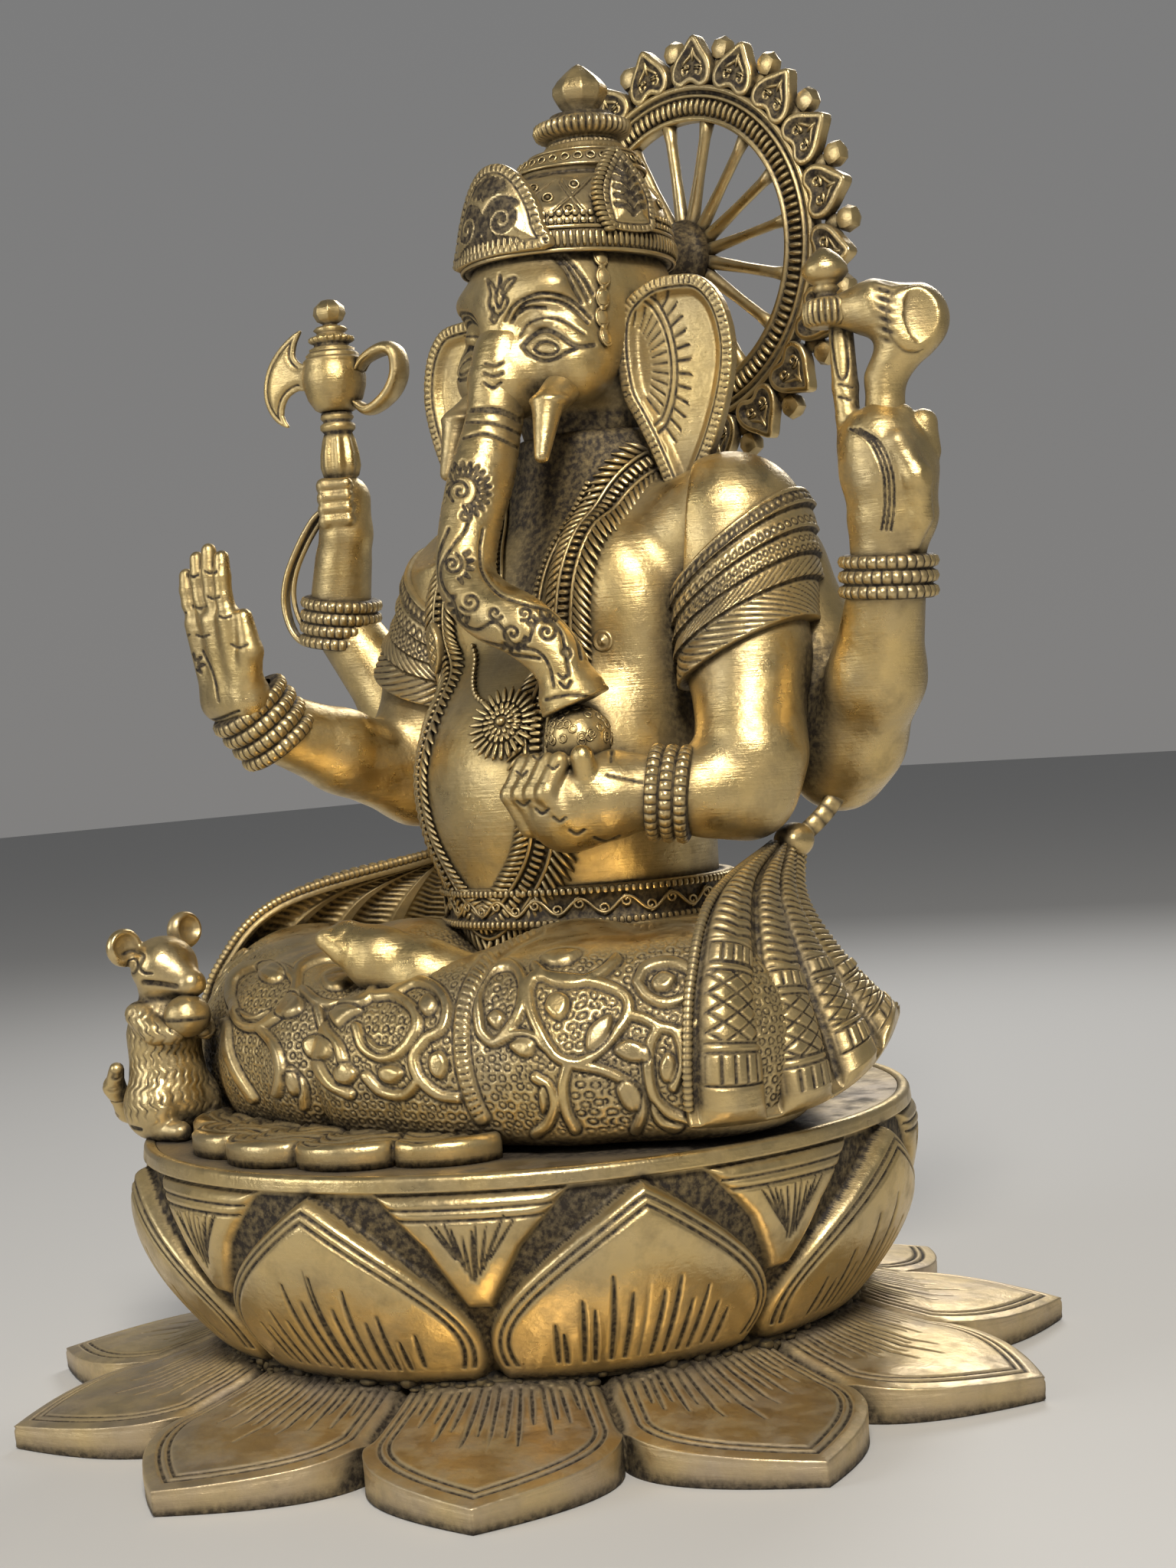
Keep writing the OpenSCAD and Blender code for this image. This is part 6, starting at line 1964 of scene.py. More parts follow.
TRUNK_LINES = [
    swirl(-40.5, 92.5, 4, -2.2, -1, 1.4), swirl(-39, 85, 2, -0, -1, 0.95),
    swirl(-43, 69.5, 3.5, 1.2, -1, 1.4), swirl(-37.5, 57.5, 3.5, -2.6, 1, 1.3),
               swirl(-29.5, 54, 2.5, -0.5, -1, 1.1),
    swirl(-24, 47.5, 3, -2, -1, 1.2), swirl(-20, 54, 2.5, -2, 1, 1.2), swirl(-13, 48, 3.5, 1.8, -1, 1.4),
    swirl(-7, 41.5, 2, -1, 1, 1.0),
    [(-36.5, 88), (-38.5, 80.5), (-42.5, 75.5), (-46.5, 68.5), (-46, 62.5), (-42.5, 57), (-40.5, 51),
     (-35, 48.5), (-30.5, 51), (-27.5, 49.5), (-24, 44), (-19, 45), (-16.5, 51), (-12.5, 52), (-8.5, 48),
     (-7, 42), (-6, 34.5)],
    [(-44, 80.5), (-47, 73.5), (-48, 66), (-46, 56.5), (-41.5, 48.5), (-34.5, 45), (-25, 43), (-16.5, 42),
     (-12.5, 37.5), (-11, 31)],
    [(-33, 80.5), (-34, 73.5), (-33, 66), (-27.5, 59.5), (-19, 56.5), (-10.5, 54), (-4, 47), (-2, 39.5)],
    [(-41.5, 45), (-33.5, 42), (-23.5, 40.5), (-15.5, 39.5)],
    [(-9.5, 34.5), (-8, 33.5), (-6.5, 34.5)], [(-9, 32), (-7, 30.5), (-5.5, 32.5)],
    [(-13.5, 26.5), (-7, 28), (-0.5, 27.5), (5.5, 24.5)],
]


def petal_ring(cx, cy, r0, r1, start, step, count):
    """Pointed strokes standing round a curl."""
    out = []
    for k in range(count):
        a = start + step * k
        c, s = math.cos(a), math.sin(a)
        w = 0.25 * (r1 - r0)
        out.append([(cx + r0 * c - w * s, cy + r0 * s + w * c), (cx + r1 * c, cy + r1 * s),
                    (cx + r0 * c + w * s, cy + r0 * s - w * c)])
    return out


TRUNK_LINES += petal_ring(-39.5, 92.5, 4.6, 9.2, -1.3, 0.29, 13)
TRUNK_LINES += petal_ring(-43, 69.5, 5, 7, 0.6, -0.42, 5) + petal_ring(-37.5, 57.5, 5, 7, -3.4, 0.42, 5)
TRUNK_LINES += petal_ring(-24, 47.5, 4, 6, -0.4, -0.42, 5) + petal_ring(-13, 48, 4.8, 6.8, -3.6, -0.42, 5)


def carve_trunk(v, n):
    """Rings and strokes across the trunk."""
    g = decal(v, n, TRUNK_LINES, 0.46)
    far = (v[:, 0] < -1)
    g = np.maximum(g, decal(v, n, TRUNK_LINES[:9], 0.42, True) * far)
    g = np.maximum(g, decal(v, n, WRINKLES, 0.45))
    # wrinkles on the underside
    under = np.clip(n[:, 1] * 0.9 - n[:, 2] * 0.2, 0, 1)
    g = np.maximum(g, under * (0.5 + 0.5 * np.sin(v[:, 2] * 1.9)) ** 5 * 0.7)
    return v - n * (0.55 * g)[:, None], g


def arc_of(cx, cy, half, sag):
    """Shallow arc through a point."""
    return [(cx - half, cy), (cx, cy - sag), (cx + half, cy)]


HAND_LINES = [arc_of(-20.5, -5.5, 2, 1.4), arc_of(-14.5, -8, 2, 1.4), arc_of(-9, -10.5, 2, 1.4),
              arc_of(-3.5, -14.5, 2.4, 1.4),
              arc_of(-16, 9.5, 1.7, 1.6), arc_of(-21, 4, 1.6, 1.2), arc_of(-11, 6, 1.8, 1.2),
              [(6, 3), (11, 1.8), (17, 0.5)], [(7.6, 12), (7.2, 7)], [(2, -17), (6, -18.2), (10, -16.5)],
              arc_of(-128.5, 54, 1.6, 0.6), arc_of(-127.5, 47, 1.7, 0.6), arc_of(-124.5, 66, 1.7, 0.7),
              arc_of(-122.5, 56, 2, 0.7),
              arc_of(-121.5, 47, 2, 0.7), arc_of(-119, 67, 1.8, 0.7), arc_of(-118, 59, 1.8, 0.7),
              arc_of(-114.5, 53, 1.9, 0.7),
              arc_of(-110, 44, 2.5, 1), [(-121.5, 42), (-118, 34), (-116.5, 26)],
              [(-127, 24), (-119, 20), (-110, 23)], [(79, 122), (83, 121)], [(79, 126), (83.5, 125)],
              [(77.5, 150), (76.8, 139), (79, 128), (82, 130.5), (81, 143), (77.5, 150)]]
HAND_LINES += [[(85.5 - k, 112), (92 - k, 107.5), (96 - k, 98), (96.5 - k, 88), (95.5 - k, 80)] for k
               in (0, 1.5, 3.0)]
HAND_LINES += petal_ring(-124.5, 37.5, 1.4, 3.6, 0, PI / 4, 8)


def carve_hand(v, n):
    """Lines of the fingers and the palm."""
    g = decal(v, n, HAND_LINES, 0.36)
    return v - n * (0.4 * g)[:, None], g


def carve_torso(v, n):
    """Painted shade round the neck under the head, between the breasts behind the trunk, and above the belt
    under the belly.
    """
    r = np.hypot(v[:, 0], v[:, 1] - 46)
    # Painted shade round the neck, under the head.
    g = np.clip((v[:, 2] - 246) / 22, 0, 1) * np.clip((44 - r) / 12, 0, 1) * 0.85
    # Painted shade on the chest between the breasts, behind the hanging trunk.
    chest = np.clip((v[:, 2] - 205) / 30, 0, 1) * bell(v[:, 0] - 4, 20) * (n[:, 1] < 0) * 0.75
    g = np.maximum(g, chest)
    # Painted shade above the belt, under the belly.
    under = np.clip((152 - v[:, 2]) / 10, 0, 1) * 0.6
    return v, np.maximum(g, under)


make_legs()
make_body()
make_hands()
sweet_ball()
make_head()
make_ears()

# ------------------------------------------------------------------ cloth over the arms and knees
SLEEVE_TOP = (A([62, 26, 246.5]), unit(A([0.59, 0.20, -0.78])))
SLEEVE_LOW = (A([81, 23, 221.0]), unit(A([0.42, 0.10, -0.90])))


def sleeve_share(q):
    """0 at the sleeve's upper edge, 1 at its lower edge."""
    a = (q - SLEEVE_TOP[0]) @ SLEEVE_TOP[1]
    b = -(q - SLEEVE_LOW[0]) @ SLEEVE_LOW[1]
    return a, b, np.clip(a / np.maximum(a + b, 1e-6), 0, 1)


SLEEVE_EDGES = A([0.0, 0.17, 0.34, 0.52, 0.70, 1.0])


def sleeve(side):
    """Sleeve with stepped, engraved bands."""
    m = side_of(side)
    arm = front_right_d if side == "right" else front_left_d

    def f(p):
        a, b, s = sleeve_share(p * m)
        step = np.interp(s, np.repeat(SLEEVE_EDGES, 2)[1:-1] + np.tile([0, -0.02], 5),
                         np.tile([2.0, 3.5], 5))
        d = smax(arm(p) - step, -a, 0.8)
        return smax(smax(d, -b, 0.8), 44 - np.abs(p[:, 0]), 1.0)

    pts = A([SHOULDER + [0, 0, 12], SHOULDER + [20, 0, 0], ELBOW + [6, 6, 30],
             SHOULDER + [0, -18, -30]]) * m
    v, q = field_mesh(f, *box_of(pts, 16), 0.5)
    v = relax(v, q, 1, 0.4)
    n = normals(v, q)
    a, b, s = sleeve_share(v * m)
    axis = (SHOULDER + ELBOW) / 2
    w = v * m - axis
    t = np.arctan2(w[:, 1], w[:, 0]) * 21.0
    wide = a + b
    g = np.zeros(len(v))
    rows = [(s - e) * wide for e in SLEEVE_EDGES[1:-1]]
    for r in rows:
        g = np.maximum(g, bell(r + 0.2, 0.5))
    k = np.clip(np.searchsorted(SLEEVE_EDGES, s) - 1, 0, 4)
    u = (s - SLEEVE_EDGES[k]) / (SLEEVE_EDGES[k + 1] - SLEEVE_EDGES[k])
    height = (SLEEVE_EDGES[k + 1] - SLEEVE_EDGES[k]) * wide
    mid = (u - 0.5) * height
    diamond = np.clip(1 - (np.abs((t / 2.6) % 1 - 0.5) * 2.6 + np.abs(mid)) / 1.5, 0, 1)
    ring = np.hypot(((t / 3.0) % 1 - 0.5) * 3.0, mid - 0.2)
    ring2 = np.hypot(((t / 2.6) % 1 - 0.5) * 2.6, (u - 0.3) * height)
    ring3 = np.hypot(((t / 2.6 + 0.5) % 1 - 0.5) * 2.6, (u - 0.75) * height)
    herring = ripple((t * 0.62 + mid * 1.25) * 2 * PI / 2.0) ** 3
    herring2 = ripple((t * 0.55 - mid * 1.1) * 2 * PI / 2.2) ** 3
    ground = [(1 - diamond) * (np.abs(mid) < 1.7), bell(ring - 1.1, 0.38),
              np.maximum(bell(ring2 - 0.9, 0.36), bell(ring3 - 0.9, 0.36)),
              herring * (np.abs(u - 0.5) < 0.42), herring2 * (np.abs(u - 0.5) < 0.44)]
    for i, pat in enumerate(ground):
        g = np.maximum(g, pat * (k == i) * 0.95)
    g *= np.clip(a / 0.8, 0, 1)
    v = v - n * (0.55 * g)[:, None]
    build(side + "_sleeve_cloth", (v, q, g), [side + "_shawl"])


def sleeve_tie(side):
    """Flat twisted ribbon that hangs behind the elbow."""
    m = side_of(side)
    path = smooth_line(A([[88, 58, 212], [91, 64, 198], [90, 63, 184], [86, 55, 170], [80, 45, 160]]) * m,
                       6)
    tie = resample(path, 2.0)
    v, f = tube(tie, 2.8, 10)
    c = np.repeat(np.vstack([tie[:1], tie, tie[-1:]]), 10, 0)
    along = unit(A([0.75, -0.66, 0.0]) * m)
    v = c + (v - c) - ((v - c) @ along)[:, None] * along * 0.55
    twist = np.repeat(np.arange(len(tie) + 2) % 2, 10).astype(float)
    build(side + "_sleeve_tie", (v, f, twist * 0.7), [])


PLEATS = 4
TAIL_FRONT = A([[78, 38, 160.5], [99, -15, 149], [108, -36, 129], [111, -43, 108], [110, -43, 90]], float)
TAIL_MIDDLE = A([[80, 42, 160.5], [95, 17, 147], [108, 8, 127], [118, 4, 108], [123, 3, 92]], float)
TAIL_REAR = A([[82, 46, 160.5], [79, 47, 142], [86, 49, 127], [98, 50, 115], [112, 49, 109]], float)


def tail_cloth(nu, nw):
    """Smooth sheet through three edge lines, the last held away from the knee."""
    lines = [resample_count(smooth_line(ln, 12), nw) for ln in (TAIL_FRONT, TAIL_MIDDLE, TAIL_REAR)]
    t = np.linspace(0, 1, nu)[:, None, None]
    a, b, c = lines
    return a * (1 - t) * (1 - 2 * t) + b * 4 * t * (1 - t) + c * t * (2 * t - 1)


def resample_count(line, n):
    """The same line with n points at even steps."""
    s = np.append(0, np.cumsum(np.linalg.norm(np.diff(line, axis=0), axis=1)))
    return np.stack([np.interp(np.linspace(0, s[-1], n), s, line[:, k]) for k in range(3)], 1)


def tail(side):
    """Pleated end of the shawl that fans over the knee."""
    m = side_of(side)
    nu, nw = PLEATS * 60 + 1, 260
    P = tail_cloth(nu, nw)
    t = np.linspace(0, 1, nu)[:, None]
    w = np.linspace(0, 1, nw)[None]
    N = unit(np.cross(np.gradient(P, axis=1), np.gradient(P, axis=0)))
    N *= np.sign(N[nu // 2, nw // 2] @ A([1.0, -0.3, 0.3]))
    k = np.clip((t * PLEATS).astype(int), 0, PLEATS - 1)
    c = t * PLEATS - k
    fold = np.sqrt(np.clip(1 - ((c - 0.5) / 0.40) ** 2, 0, 1))
    soft_end = np.clip((1 - w) / 0.035, 0, 1) ** 0.5
    rise = (1.0 + 6.5 * w ** 0.8) * fold * soft_end + 2.0 * (1 - soft_end)
    s = w + A([0.01, -0.035, 0.02, -0.01])[k]
    span = 105.0
    rib = ripple((s * span / 2.8 + np.abs(c - 0.5) * 1.6) * 2 * PI) ** 1.3 * (s < 0.60)
    ticks = ripple(c * 2 * PI * 7) ** 4
    hatch = np.maximum(ripple((s * span / 4.4 + c * 3) * 2 * PI) ** 9,
                       ripple((s * span / 4.4 - c * 3) * 2 * PI) ** 9)
    lines = np.zeros_like(s)
    for e in (0.61, 0.66, 0.68, 0.84, 0.86, 0.925):
        lines = np.maximum(lines, np.exp(-((s - e) * span / 0.45) ** 2))
    g = np.maximum.reduce([rib * 0.85, lines, ticks * ((s > 0.615) & (s < 0.655)),
                           hatch * ((s > 0.685) & (s < 0.835)),
                           ticks * ((s > 0.865) & (s < 0.92))])
    g = g * np.clip(fold * 2.5 - 0.5, 0, 1) * (w < 0.955)
    band_rise = 0.6 * ((s > 0.61) & (s < 0.66) | (s > 0.86) & (s < 0.925)) * fold
    # Painted shade in the valleys between the pleats.
    valley = np.clip(1 - fold * 1.15, 0, 1) * np.clip(w / 0.08, 0, 1) * np.clip((0.985 - w) / 0.03, 0, 1)
    rise = rise + band_rise - 0.75 * g
    outer = P + N * rise[..., None]
    inner = P + N * (np.minimum(rise, 0.8 * rise) - 3.4)[..., None]
    edge = (outer[:, -1:] + inner[:, -1:]) * 0.5 + A([0, 0, -1.2])
    rows = np.concatenate([outer, edge, inner[:, ::-1]], 1)
    # The inner face, the cloth's underside, is painted as shade, darkest under the folds.
    gg = np.concatenate([np.maximum(g, valley), np.zeros((nu, 1)),
                         np.maximum(0.4, 0.9 * fold * (1 - g))[:, ::-1] + 0 * g], 1)
    first = 0.5 * (rows[0] + rows[0][::-1])[None]
    last = 0.5 * (rows[-1] + rows[-1][::-1])[None]
    rows = np.concatenate([first, rows, last])
    gg = np.vstack([gg[:1], gg, gg[-1:]])
    f = grid_faces(rows.shape[0], rows.shape[1], False, True)
    parts = [(rows.reshape(-1, 3) * m, f, gg.ravel()), ball_mesh(A([80, 44, 160.5]) * m, (6.0, 6.5, 5.5))]
    for line in (P[0], P[-1]):
        path = resample(line[6:-8] * m, 0.9)
        ridge = 1.4 + 0.25 * np.cos(np.arange(len(path)) * PI)
        v, q = tube(path, ridge, 10)
        parts.append((v, q, np.repeat(np.append(np.append(0, np.arange(len(path)) % 2), 0), 10)[:len(v)]
                      * 0.7))
    build(side + "_tail_pleats", merge(parts), [side + "_shawl_tail"])


def ball_mesh(centre, radii, n=10):
    """Ellipsoid as a mesh."""
    v, f = unit_ball(n)
    return v * A(radii, float) + A(centre, float), f


# ------------------------------------------------------------------ mouse
MOUSE = A([-74, -83, 82.0])
MOUSE_LINES = [
    ([(-144.5, -55.5), (-143, -55), (-142, -57), (-143, -59.5), (-144.3, -59.5), (-145, -57.5),
      (-144.5, -55.5)], 0.35),
    ([(-146.5, -53.5), (-143.5, -52.5), (-140, -54), (-141.5, -57.5), (-140, -59.5), (-137.5, -59.8)], 0.4),
    ([(-140, -62.6), (-135, -63.0), (-130, -63.8)], 0.75),
    ([(-151.5, -108.5), (-146, -108), (-141, -109)], 0.5),
               ([(-151, -117), (-146, -118), (-141, -117.5)], 0.5),
]


def mouse_d(p):
    """Mouse sitting up."""
    q = p - MOUSE
    d = chain(q, [(0, 0, 12), (-1, 0, 32), (1, 0, 44)], [13, 10.5, 8], 4)
    d = smin(d, ball(q, (2, 0, 53), (10, 10.5, 9.5)), 2.5)
    d = smin(d, cone(q, (5, 0, 51), (14, 1, 47.5), 8, 4.8), 3)
    for s in (1, -1):
        ear = A([-2, 11.5 * s, 61.5 + 1.5 * s])
        d = smin(d, ball(q, ear, (3.6, 6.2, 6.0)), 1.5)
        d = smax(d, -ball(q, ear + [3.2, 0.8 * s, 0.6], (3.2, 4.4, 4.2)), 0.6)
        d = smin(d, chain(q, [(0, 9 * s, 39), (7, 9 * s, 34), (13, 6 * s, 33)], [4.6, 3.8, 3.4], 1.5), 1.2)
        d = smin(d, ball(q, (1, 8.5 * s, 10), (11, 6.5, 10)), 2)
        d = smin(d, cone(q, (6, 8 * s, 3.2), (14, 7 * s, 3.0), 4.2, 3.4), 1.2)
    d = smin(d, chain(q, [(-11, 0, 4), (-15, -6, 8), (-14, -11, 16), (-9, -13, 22)], [4, 3.6, 3.2, 2.4],
                      2), 1.0)
    return smax(d, 0.2 - q[:, 2], 0.5)


def mouse():
    """Mouse with its engraved fur and eyes."""

    def fur(v, n):
        q = v - MOUSE
        t = np.arctan2(q[:, 1], q[:, 0])
        jag = 0.5 + 0.5 * np.cos(26 * t + 2.2 * np.sin(q[:, 2] * 0.55) + 1.1 * np.sin(q[:, 2] * 1.7))
        row = (0.35 + 0.65 * np.abs(np.sin(q[:, 2] * 0.42 + 0.8 * np.sin(3 * t))))
        g = jag ** 5 * row * np.clip((44 - q[:, 2]) / 5, 0, 1) * np.clip((q[:, 2] - 4) / 4, 0, 1) * 0.85
        ring = bell(q[:, 2] - 43.5, 1.6) * 0.8
        g = np.maximum(np.maximum(g, ring), decal(v, n, MOUSE_LINES, 0.42))
        g = np.maximum(g, decal(v, n, [MOUSE_LINES[2]], 0.9))
        return v - n * (0.5 * g)[:, None], g

    body_piece("mouse_fur", mouse_d, MOUSE + [-20, -22, 0], MOUSE + [22, 22, 71], 0.5, ["mouse"], chased,
               "chased_brass", fur)


def mouse_sweet():
    """Ball sweet between the mouse's paws."""
    c = MOUSE + [14.5, -1.5, 38]
    v, f = ball_mesh(c, (7.0, 7.4, 6.6), 12)
    g = bell(v[:, 2] - c[2] + 0.5, 0.7)
    build("mouse_sweet_ball", (v, f, g), ["mouse_sweet"], polished)


# ------------------------------------------------------------------ goad and axe
def goad():
    """Hooked lobe, ribbed disc and bud over the raised finger."""
    foot = REAR_LEFT_FIST + [0, -1, 14]
    e = unit(A([0.88, 0.47, 0]))
    fr = A([e, np.cross(A([0, 0, 1.0]), e), [0, 0, 1]], float)
    face_at, face_n = A([13.5, -7.5, 28.5]), unit(A([0.20, -0.97, 0.05]))

    def f(p):
        q = (p - foot) @ fr.T
        d = chain(q, [(1, 0, 0), (2, 0, 13), (8, 0, 23)], [6.2, 5.4, 8.0], 3)
        d = smin(d, chain(q, [(-12, 0, 34), (0, 0, 33.5), (11, 0, 29)], [4.5, 7.5, 10.8], 4), 3)
        d = smax(d, (q - face_at) @ face_n, 0.8)
        dish = q - (face_at + A([1.5, 0.4, 0.5]))
        return smax(d, -ball(dish, (0, 0, 0), (5.6, 1.5, 8.2)), 0.6)

    def rough(v, n):
        q = (v - foot) @ fr.T
        g = np.clip((8.5 - q[:, 0]) / 3, 0, 1) * np.clip((q[:, 0] - 1) / 3, 0,
                                                         1) * np.clip((q[:, 2] - 20) / 4, 0, 1)
        g = g * np.clip(-n @ fr[1] * 1.4, 0, 1) * (0.55 + 0.45 * np.sin(q[:, 2] * 2.1 + q[:, 0]))
        rim = bell(ball(q, face_at, (9.0, 6, 11.0)) + 0.2, 0.5) * 0.6
        g = np.maximum(g, rim * (n @ fr[1] < -0.5))
        return v - n * (0.5 * g)[:, None], g

    v, q = field_mesh(f, foot - [18, 16, 8], foot + [28, 26, 46], 0.6)
    v = relax(v, q, 1, 0.5)
    v, g = rough(v, normals(v, q))
    at = foot + e * -13.5
    w, wf = lathe([[0.1, 29.5], [5.4, 29.6], [6.9, 30.8], [7.3, 33.5], [6.9, 36.6], [5.6, 37.6],
                   [3.2, 38.2], [3.0, 39.6], [4.0, 40.6], [3.2, 41.8], [5.0, 43.0], [6.9, 45.2],
                   [6.6, 47.4], [4.4, 50.2], [2.0, 52.2], [0.1, 52.8]],
                  at, 132, lambda r, z, an: np.where((z < 37) & (z > 30.2), 0.45 * np.cos(an * 22), 0))
    ang = np.arctan2(w[:, 1] - at[1], w[:, 0] - at[0])
    z = w[:, 2] - at[2]
    wg = np.maximum((0.5 - 0.5 * np.cos(ang * 22)) ** 2 * (z < 37.2) * (z > 30), bell(z - 38.8, 1.2))
    build("goad_lobe", merge([(v, q, g), (w, wf, wg)]), ["goad"], polished)


BLADE = [[-12, 20.5], [-17, 18.6], [-23, 14], [-27.5, 8], [-29.6, 0.5], [-28.6, -6], [-25, -11.4],
         [-20, -13.8], [-22, -9], [-20, -3.6], [-15, -1], [-9.5, -1.6], [-9.5, 7.6], [-13, 8.6],
         [-15.4, 11.5], [-14.4, 16]]
HANDLE = [[10.4, 3.5], [13, 6.5], [18, 8.8], [23, 9.4], [26.4, 6.6], [26.6, 0], [23.6, -5.6], [18.4, -9.6],
          [13, -11.2], [8.6, -8.4]]


AXE_FOOT = REAR_RIGHT_FIST + [0, -1, -8]
AXE_POT = AXE_FOOT + [0, 0, 50]
AXE_TURN = math.radians(20)       # towards the viewer
# rows right, up, normal of the plane in which the blade and the handle lie
AXE_PLANE = A([[math.cos(AXE_TURN), math.sin(AXE_TURN), 0], [0, 0, 1],
               [math.sin(AXE_TURN), -math.cos(AXE_TURN), 0]])


def axe_stem():
    """Turned stem in the fist."""
    v, f = lathe([[0.1, -6], [4.6, -6], [4.6, 15], [6.4, 16.6], [7.3, 20], [7.0, 24.5], [6.0, 29.5],
                  [5.0, 32.0], [6.3, 33.4], [6.3, 34.8], [4.9, 36], [6.0, 37.4], [5.6, 39],
                  [0.1, 39.6]], AXE_FOOT, 96,
                 lambda r, z, an: np.where((z > 16) & (z < 31), -0.9 * np.abs(np.sin(an * 4)) ** 2, 0))
    z = v[:, 2] - AXE_FOOT[2]
    g = np.maximum.reduce([bell(z - k, 0.9) for k in (16, 32, 36, 39)])
    build("axe_turned_stem", (v, f, g), ["axe_stem"], polished)


def axe_pot():
    """Pot-shaped socket under a stepped lid and a faceted bud."""
    prof = [[0.1, -10.5], [5.8, -10.4], [7.6, -9.4], [9.8, -6], [11.2, -1.5], [11.5, 1.5], [11.0, 5],
            [10.3, 7.2], [10.7, 7.8], [9.9, 8.6], [9.3, 8.9], [9.6, 9.8], [8.6, 10.7], [8.0, 11.0],
            [8.2, 11.9], [6.4, 12.8], [6.2, 13.8], [7.9, 14.8],
            [7.8, 16], [5.2, 17.0], [5.0, 17.8], [6.2, 18.8], [5.2, 19.8], [2.8, 20.4], [2.6, 21],
            [4.6, 22.0], [5.9, 24.4], [5.4, 27.0], [3.0, 29.2],
            [0.1, 29.9]]

    def cut(r, z, an):
        return faceted(r, an, 8) * (z > 21) + np.where((z > 14) & (z < 16.6), 0.35 * np.cos(an * 20), 0)

    v, f = lathe(prof, AXE_POT, 192, cut)
    z = v[:, 2] - AXE_POT[2]
    ang = np.arctan2(v[:, 1] - AXE_POT[1], v[:, 0] - AXE_POT[0])
    dots = np.exp(-(np.hypot(((ang * 16 / (2 * PI)) % 1 - 0.5) * 4.2, z - 5.9) / 0.75) ** 4)
    g = np.maximum.reduce([bell(z - k, 0.45) for k in (8.3, 10.5, 12.9, 13.9, 17.4, 20.8, -10)] + [dots])
    v = v - np.stack([np.cos(ang), np.sin(ang), 0 * ang], 1) * (0.5 * dots)[:, None]
    build("axe_pot_socket", (v, f, g), ["axe_pot"], polished)


def axe_blade():
    """Crescent blade."""
    out = smooth_line(BLADE, 3, True)
    v, q, d2 = plate(out, 2.0, 0.9, 0.6, 0.0, 0.4, 5)
    n = normals(v, q)
    g = bell(d2 + 1.9, 0.4) * (v[:, 0] < -14) * (np.abs(n[:, 2]) > 0.4)
    v = v - n * (0.4 * g)[:, None]
    build("axe_crescent", (v @ AXE_PLANE + AXE_POT, q, g), ["axe_blade"], polished)


def axe_handle():
    """Scroll on the other side of the pot."""
    line = resample(smooth_line(HANDLE, 6), 0.8)
    flat = np.column_stack([line, 0 * line[:, 0]])
    u = np.linspace(0, 1, len(line))
    body = tube(flat, 1.5 + 1.3 * np.sin(PI * u) ** 0.8, 14)
    v = body[0] * A([1, 1, 1.9])
    ridge = tube(flat * A([0.95, 0.95, 1]) + A([0.9, 0, 3.6]), 0.55, 6)
    ridge2 = tube(flat * A([0.95, 0.95, 1]) + A([0.9, 0, -3.6]), 0.55, 6)
    w, f, g = merge([(v, body[1]), ridge, ridge2])
    build("axe_scroll_handle", (w @ AXE_PLANE + AXE_POT, f, g), ["axe_handle"], polished)


def arm_ribbon():
    """Ribbon that loops out beside the rear right forearm."""
    e = unit(A([-1.0, -0.35, 0]))
    route = [(8, -2), (14, -6), (21, -15), (26.5, -25), (28.5, -35), (26, -45), (20, -50), (12, -49)]
    path = smooth_line(A([REAR_RIGHT_FIST + e * a + A([0, 0, b]) for a, b in route]), 6)
    across = unit(A([0.5, -0.86, 0.0]))
    parts = [tube(path + across * k * 1.7, r, 8) for k, r in ((-1, 1.15), (0, 1.0), (1, 1.15))]
    inner = smooth_line(A([REAR_RIGHT_FIST + e * (a - 3.6) + A([0, 0, b * 0.94]) for a, b in route[1:-1]]),
                        6)
    parts.append(tube(inner, 1.0, 8))
    v, f, g = merge(parts)
    build("rear_right_arm_ribbon", (v, f, g), [])


for side in ("left", "right"):
    sleeve(side)
    sleeve_tie(side)
tail("left")
tail("right")
mouse()
mouse_sweet()
goad()
axe_stem()
axe_pot()
axe_blade()
axe_handle()
arm_ribbon()


# ------------------------------------------------------------------ stage
def add_floor():
    """Pale floor, 12 m across."""
    me = bpy.data.meshes.new("floor")
    me.from_pydata([(-6, -6, 0), (6, -6, 0), (6, 6, 0), (-6, 6, 0)], [], [(0, 1, 2, 3)])
    floor = bpy.data.objects.new("floor", me)
    bpy.context.scene.collection.objects.link(floor)
    m = bpy.data.materials.new("floor_pale")
    m.use_nodes = True
    b = m.node_tree.nodes["Principled BSDF"]
    b.inputs["Base Color"].default_value = (0.55, 0.54, 0.52, 1)
    b.inputs["Roughness"].default_value = 0.75
    me.materials.append(m)


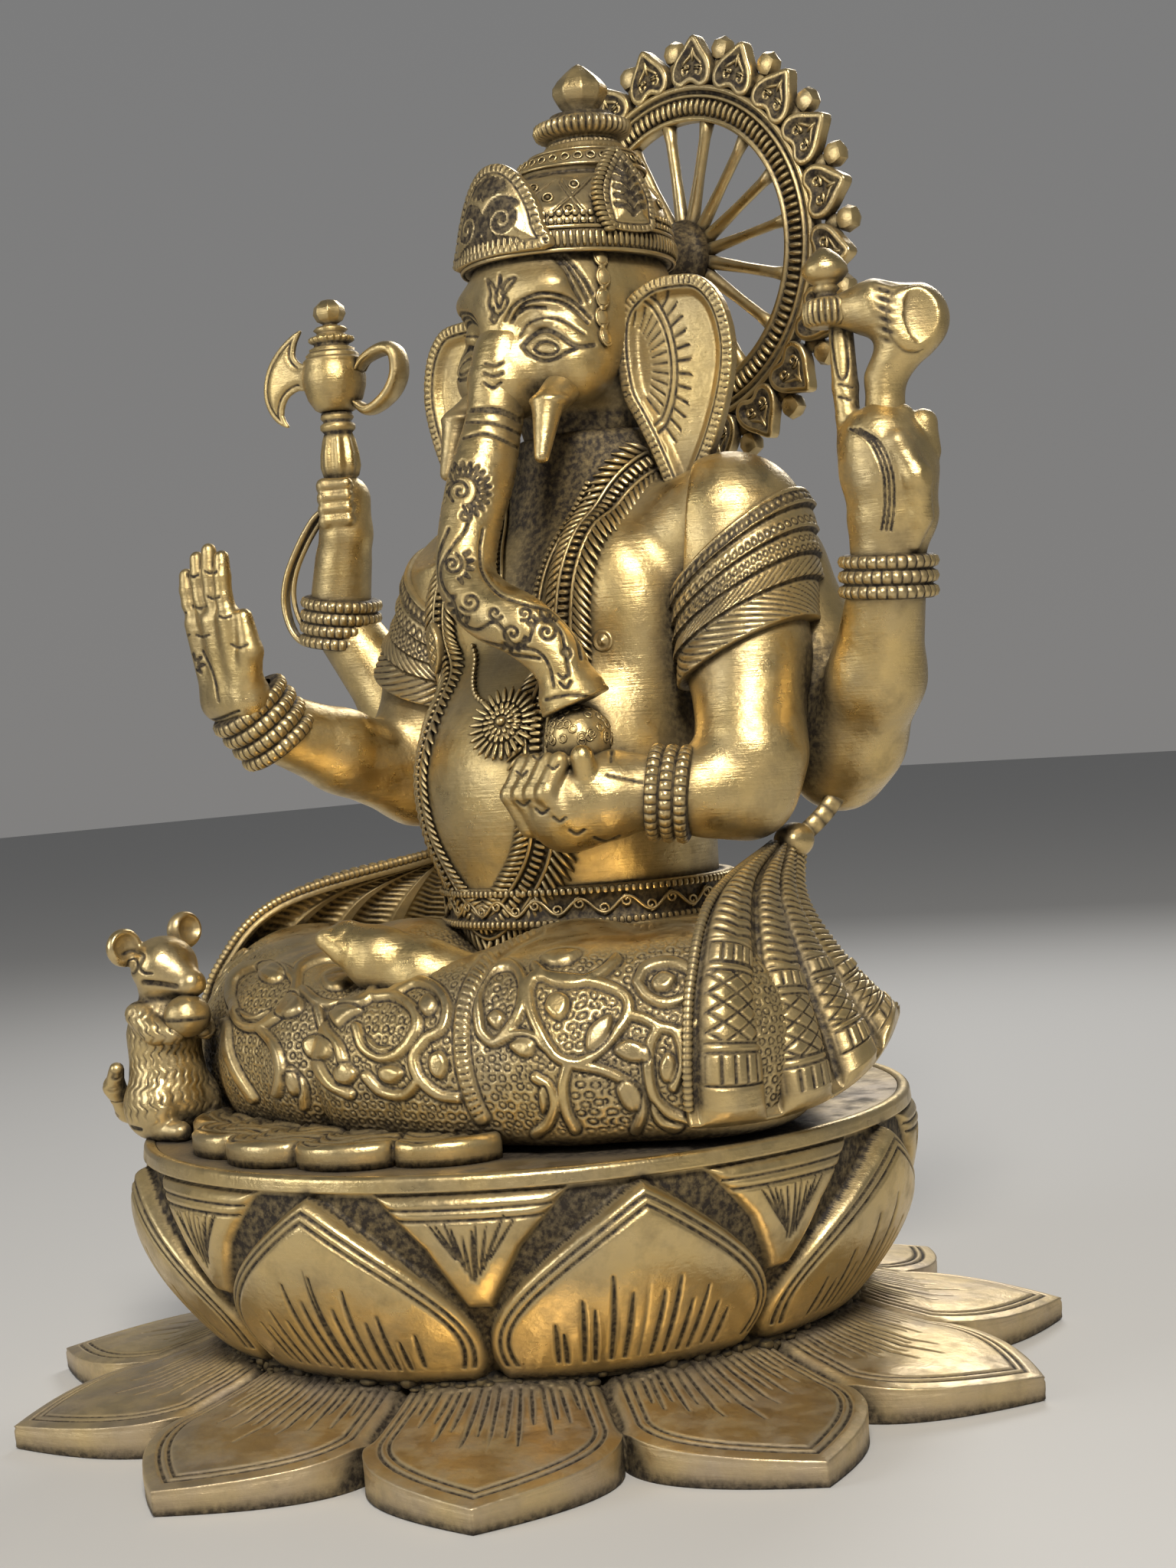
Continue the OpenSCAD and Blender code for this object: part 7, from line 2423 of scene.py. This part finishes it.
def add_studio():
    """Soft light all round, paler near the ground."""
    w = bpy.data.worlds.new("studio")
    bpy.context.scene.world = w
    w.use_nodes = True
    tree = w.node_tree
    tree.nodes.clear()
    out = tree.nodes.new("ShaderNodeOutputWorld")
    light = tree.nodes.new("ShaderNodeBackground")
    coords = tree.nodes.new("ShaderNodeTexCoord")
    parts = tree.nodes.new("ShaderNodeSeparateXYZ")
    shades = tree.nodes.new("ShaderNodeValToRGB")
    tree.links.new(coords.outputs["Generated"], parts.inputs[0])
    tree.links.new(parts.outputs[2], shades.inputs[0])
    stops = shades.color_ramp.elements
    stops[0].position, stops[0].color = 0.0, (0.46, 0.45, 0.44, 1)
    stops[1].position, stops[1].color = 0.85, (0.30, 0.31, 0.33, 1)
    middle = stops.new(0.30)
    middle.color = (0.42, 0.42, 0.42, 1)
    tree.links.new(shades.outputs[0], light.inputs[0])
    light.inputs[1].default_value = 0.48
    tree.links.new(light.outputs[0], out.inputs[0])


def area(name, loc, target, size, power, color=(1, 1, 1)):
    """Lamp that looks at a target."""
    li = bpy.data.lights.new(name, "AREA")
    li.shape = "RECTANGLE"
    li.size, li.size_y = size
    li.energy = power
    li.color = color
    ob = bpy.data.objects.new(name, li)
    bpy.context.scene.collection.objects.link(ob)
    ob.location = loc
    ob.rotation_euler = (Vector(target) - Vector(loc)).to_track_quat("-Z", "Y").to_euler()


def add_camera():
    """Camera at the eye."""
    sc = bpy.context.scene
    cam = bpy.data.cameras.new("camera")
    cam.sensor_fit = "HORIZONTAL"
    cam.sensor_width = SENSOR
    cam.lens = FOCAL / VIEW_WIDTH * SENSOR
    cam.clip_start = 0.05
    ob = bpy.data.objects.new("camera", cam)
    sc.collection.objects.link(ob)
    M = Matrix.Identity(4)
    for i in range(3):
        M[i][0], M[i][1], M[i][2], M[i][3] = rt[i], up[i], -fw[i], CAM[i] * 0.001
    ob.matrix_world = M
    sc.camera = ob
    sc.view_settings.view_transform = "Standard"


add_floor()
add_studio()
area("key", (0.95, -0.85, 1.25), (0, 0, 0.18), (0.36, 0.36), 27, (1.0, 0.95, 0.87))
area("fill", (-0.55, -1.35, 0.65), (0, 0, 0.2), (0.7, 0.7), 6, (0.95, 0.97, 1.0))
area("rim", (-0.5, 0.95, 0.9), (0, 0, 0.25), (0.5, 0.5), 6)
add_camera()
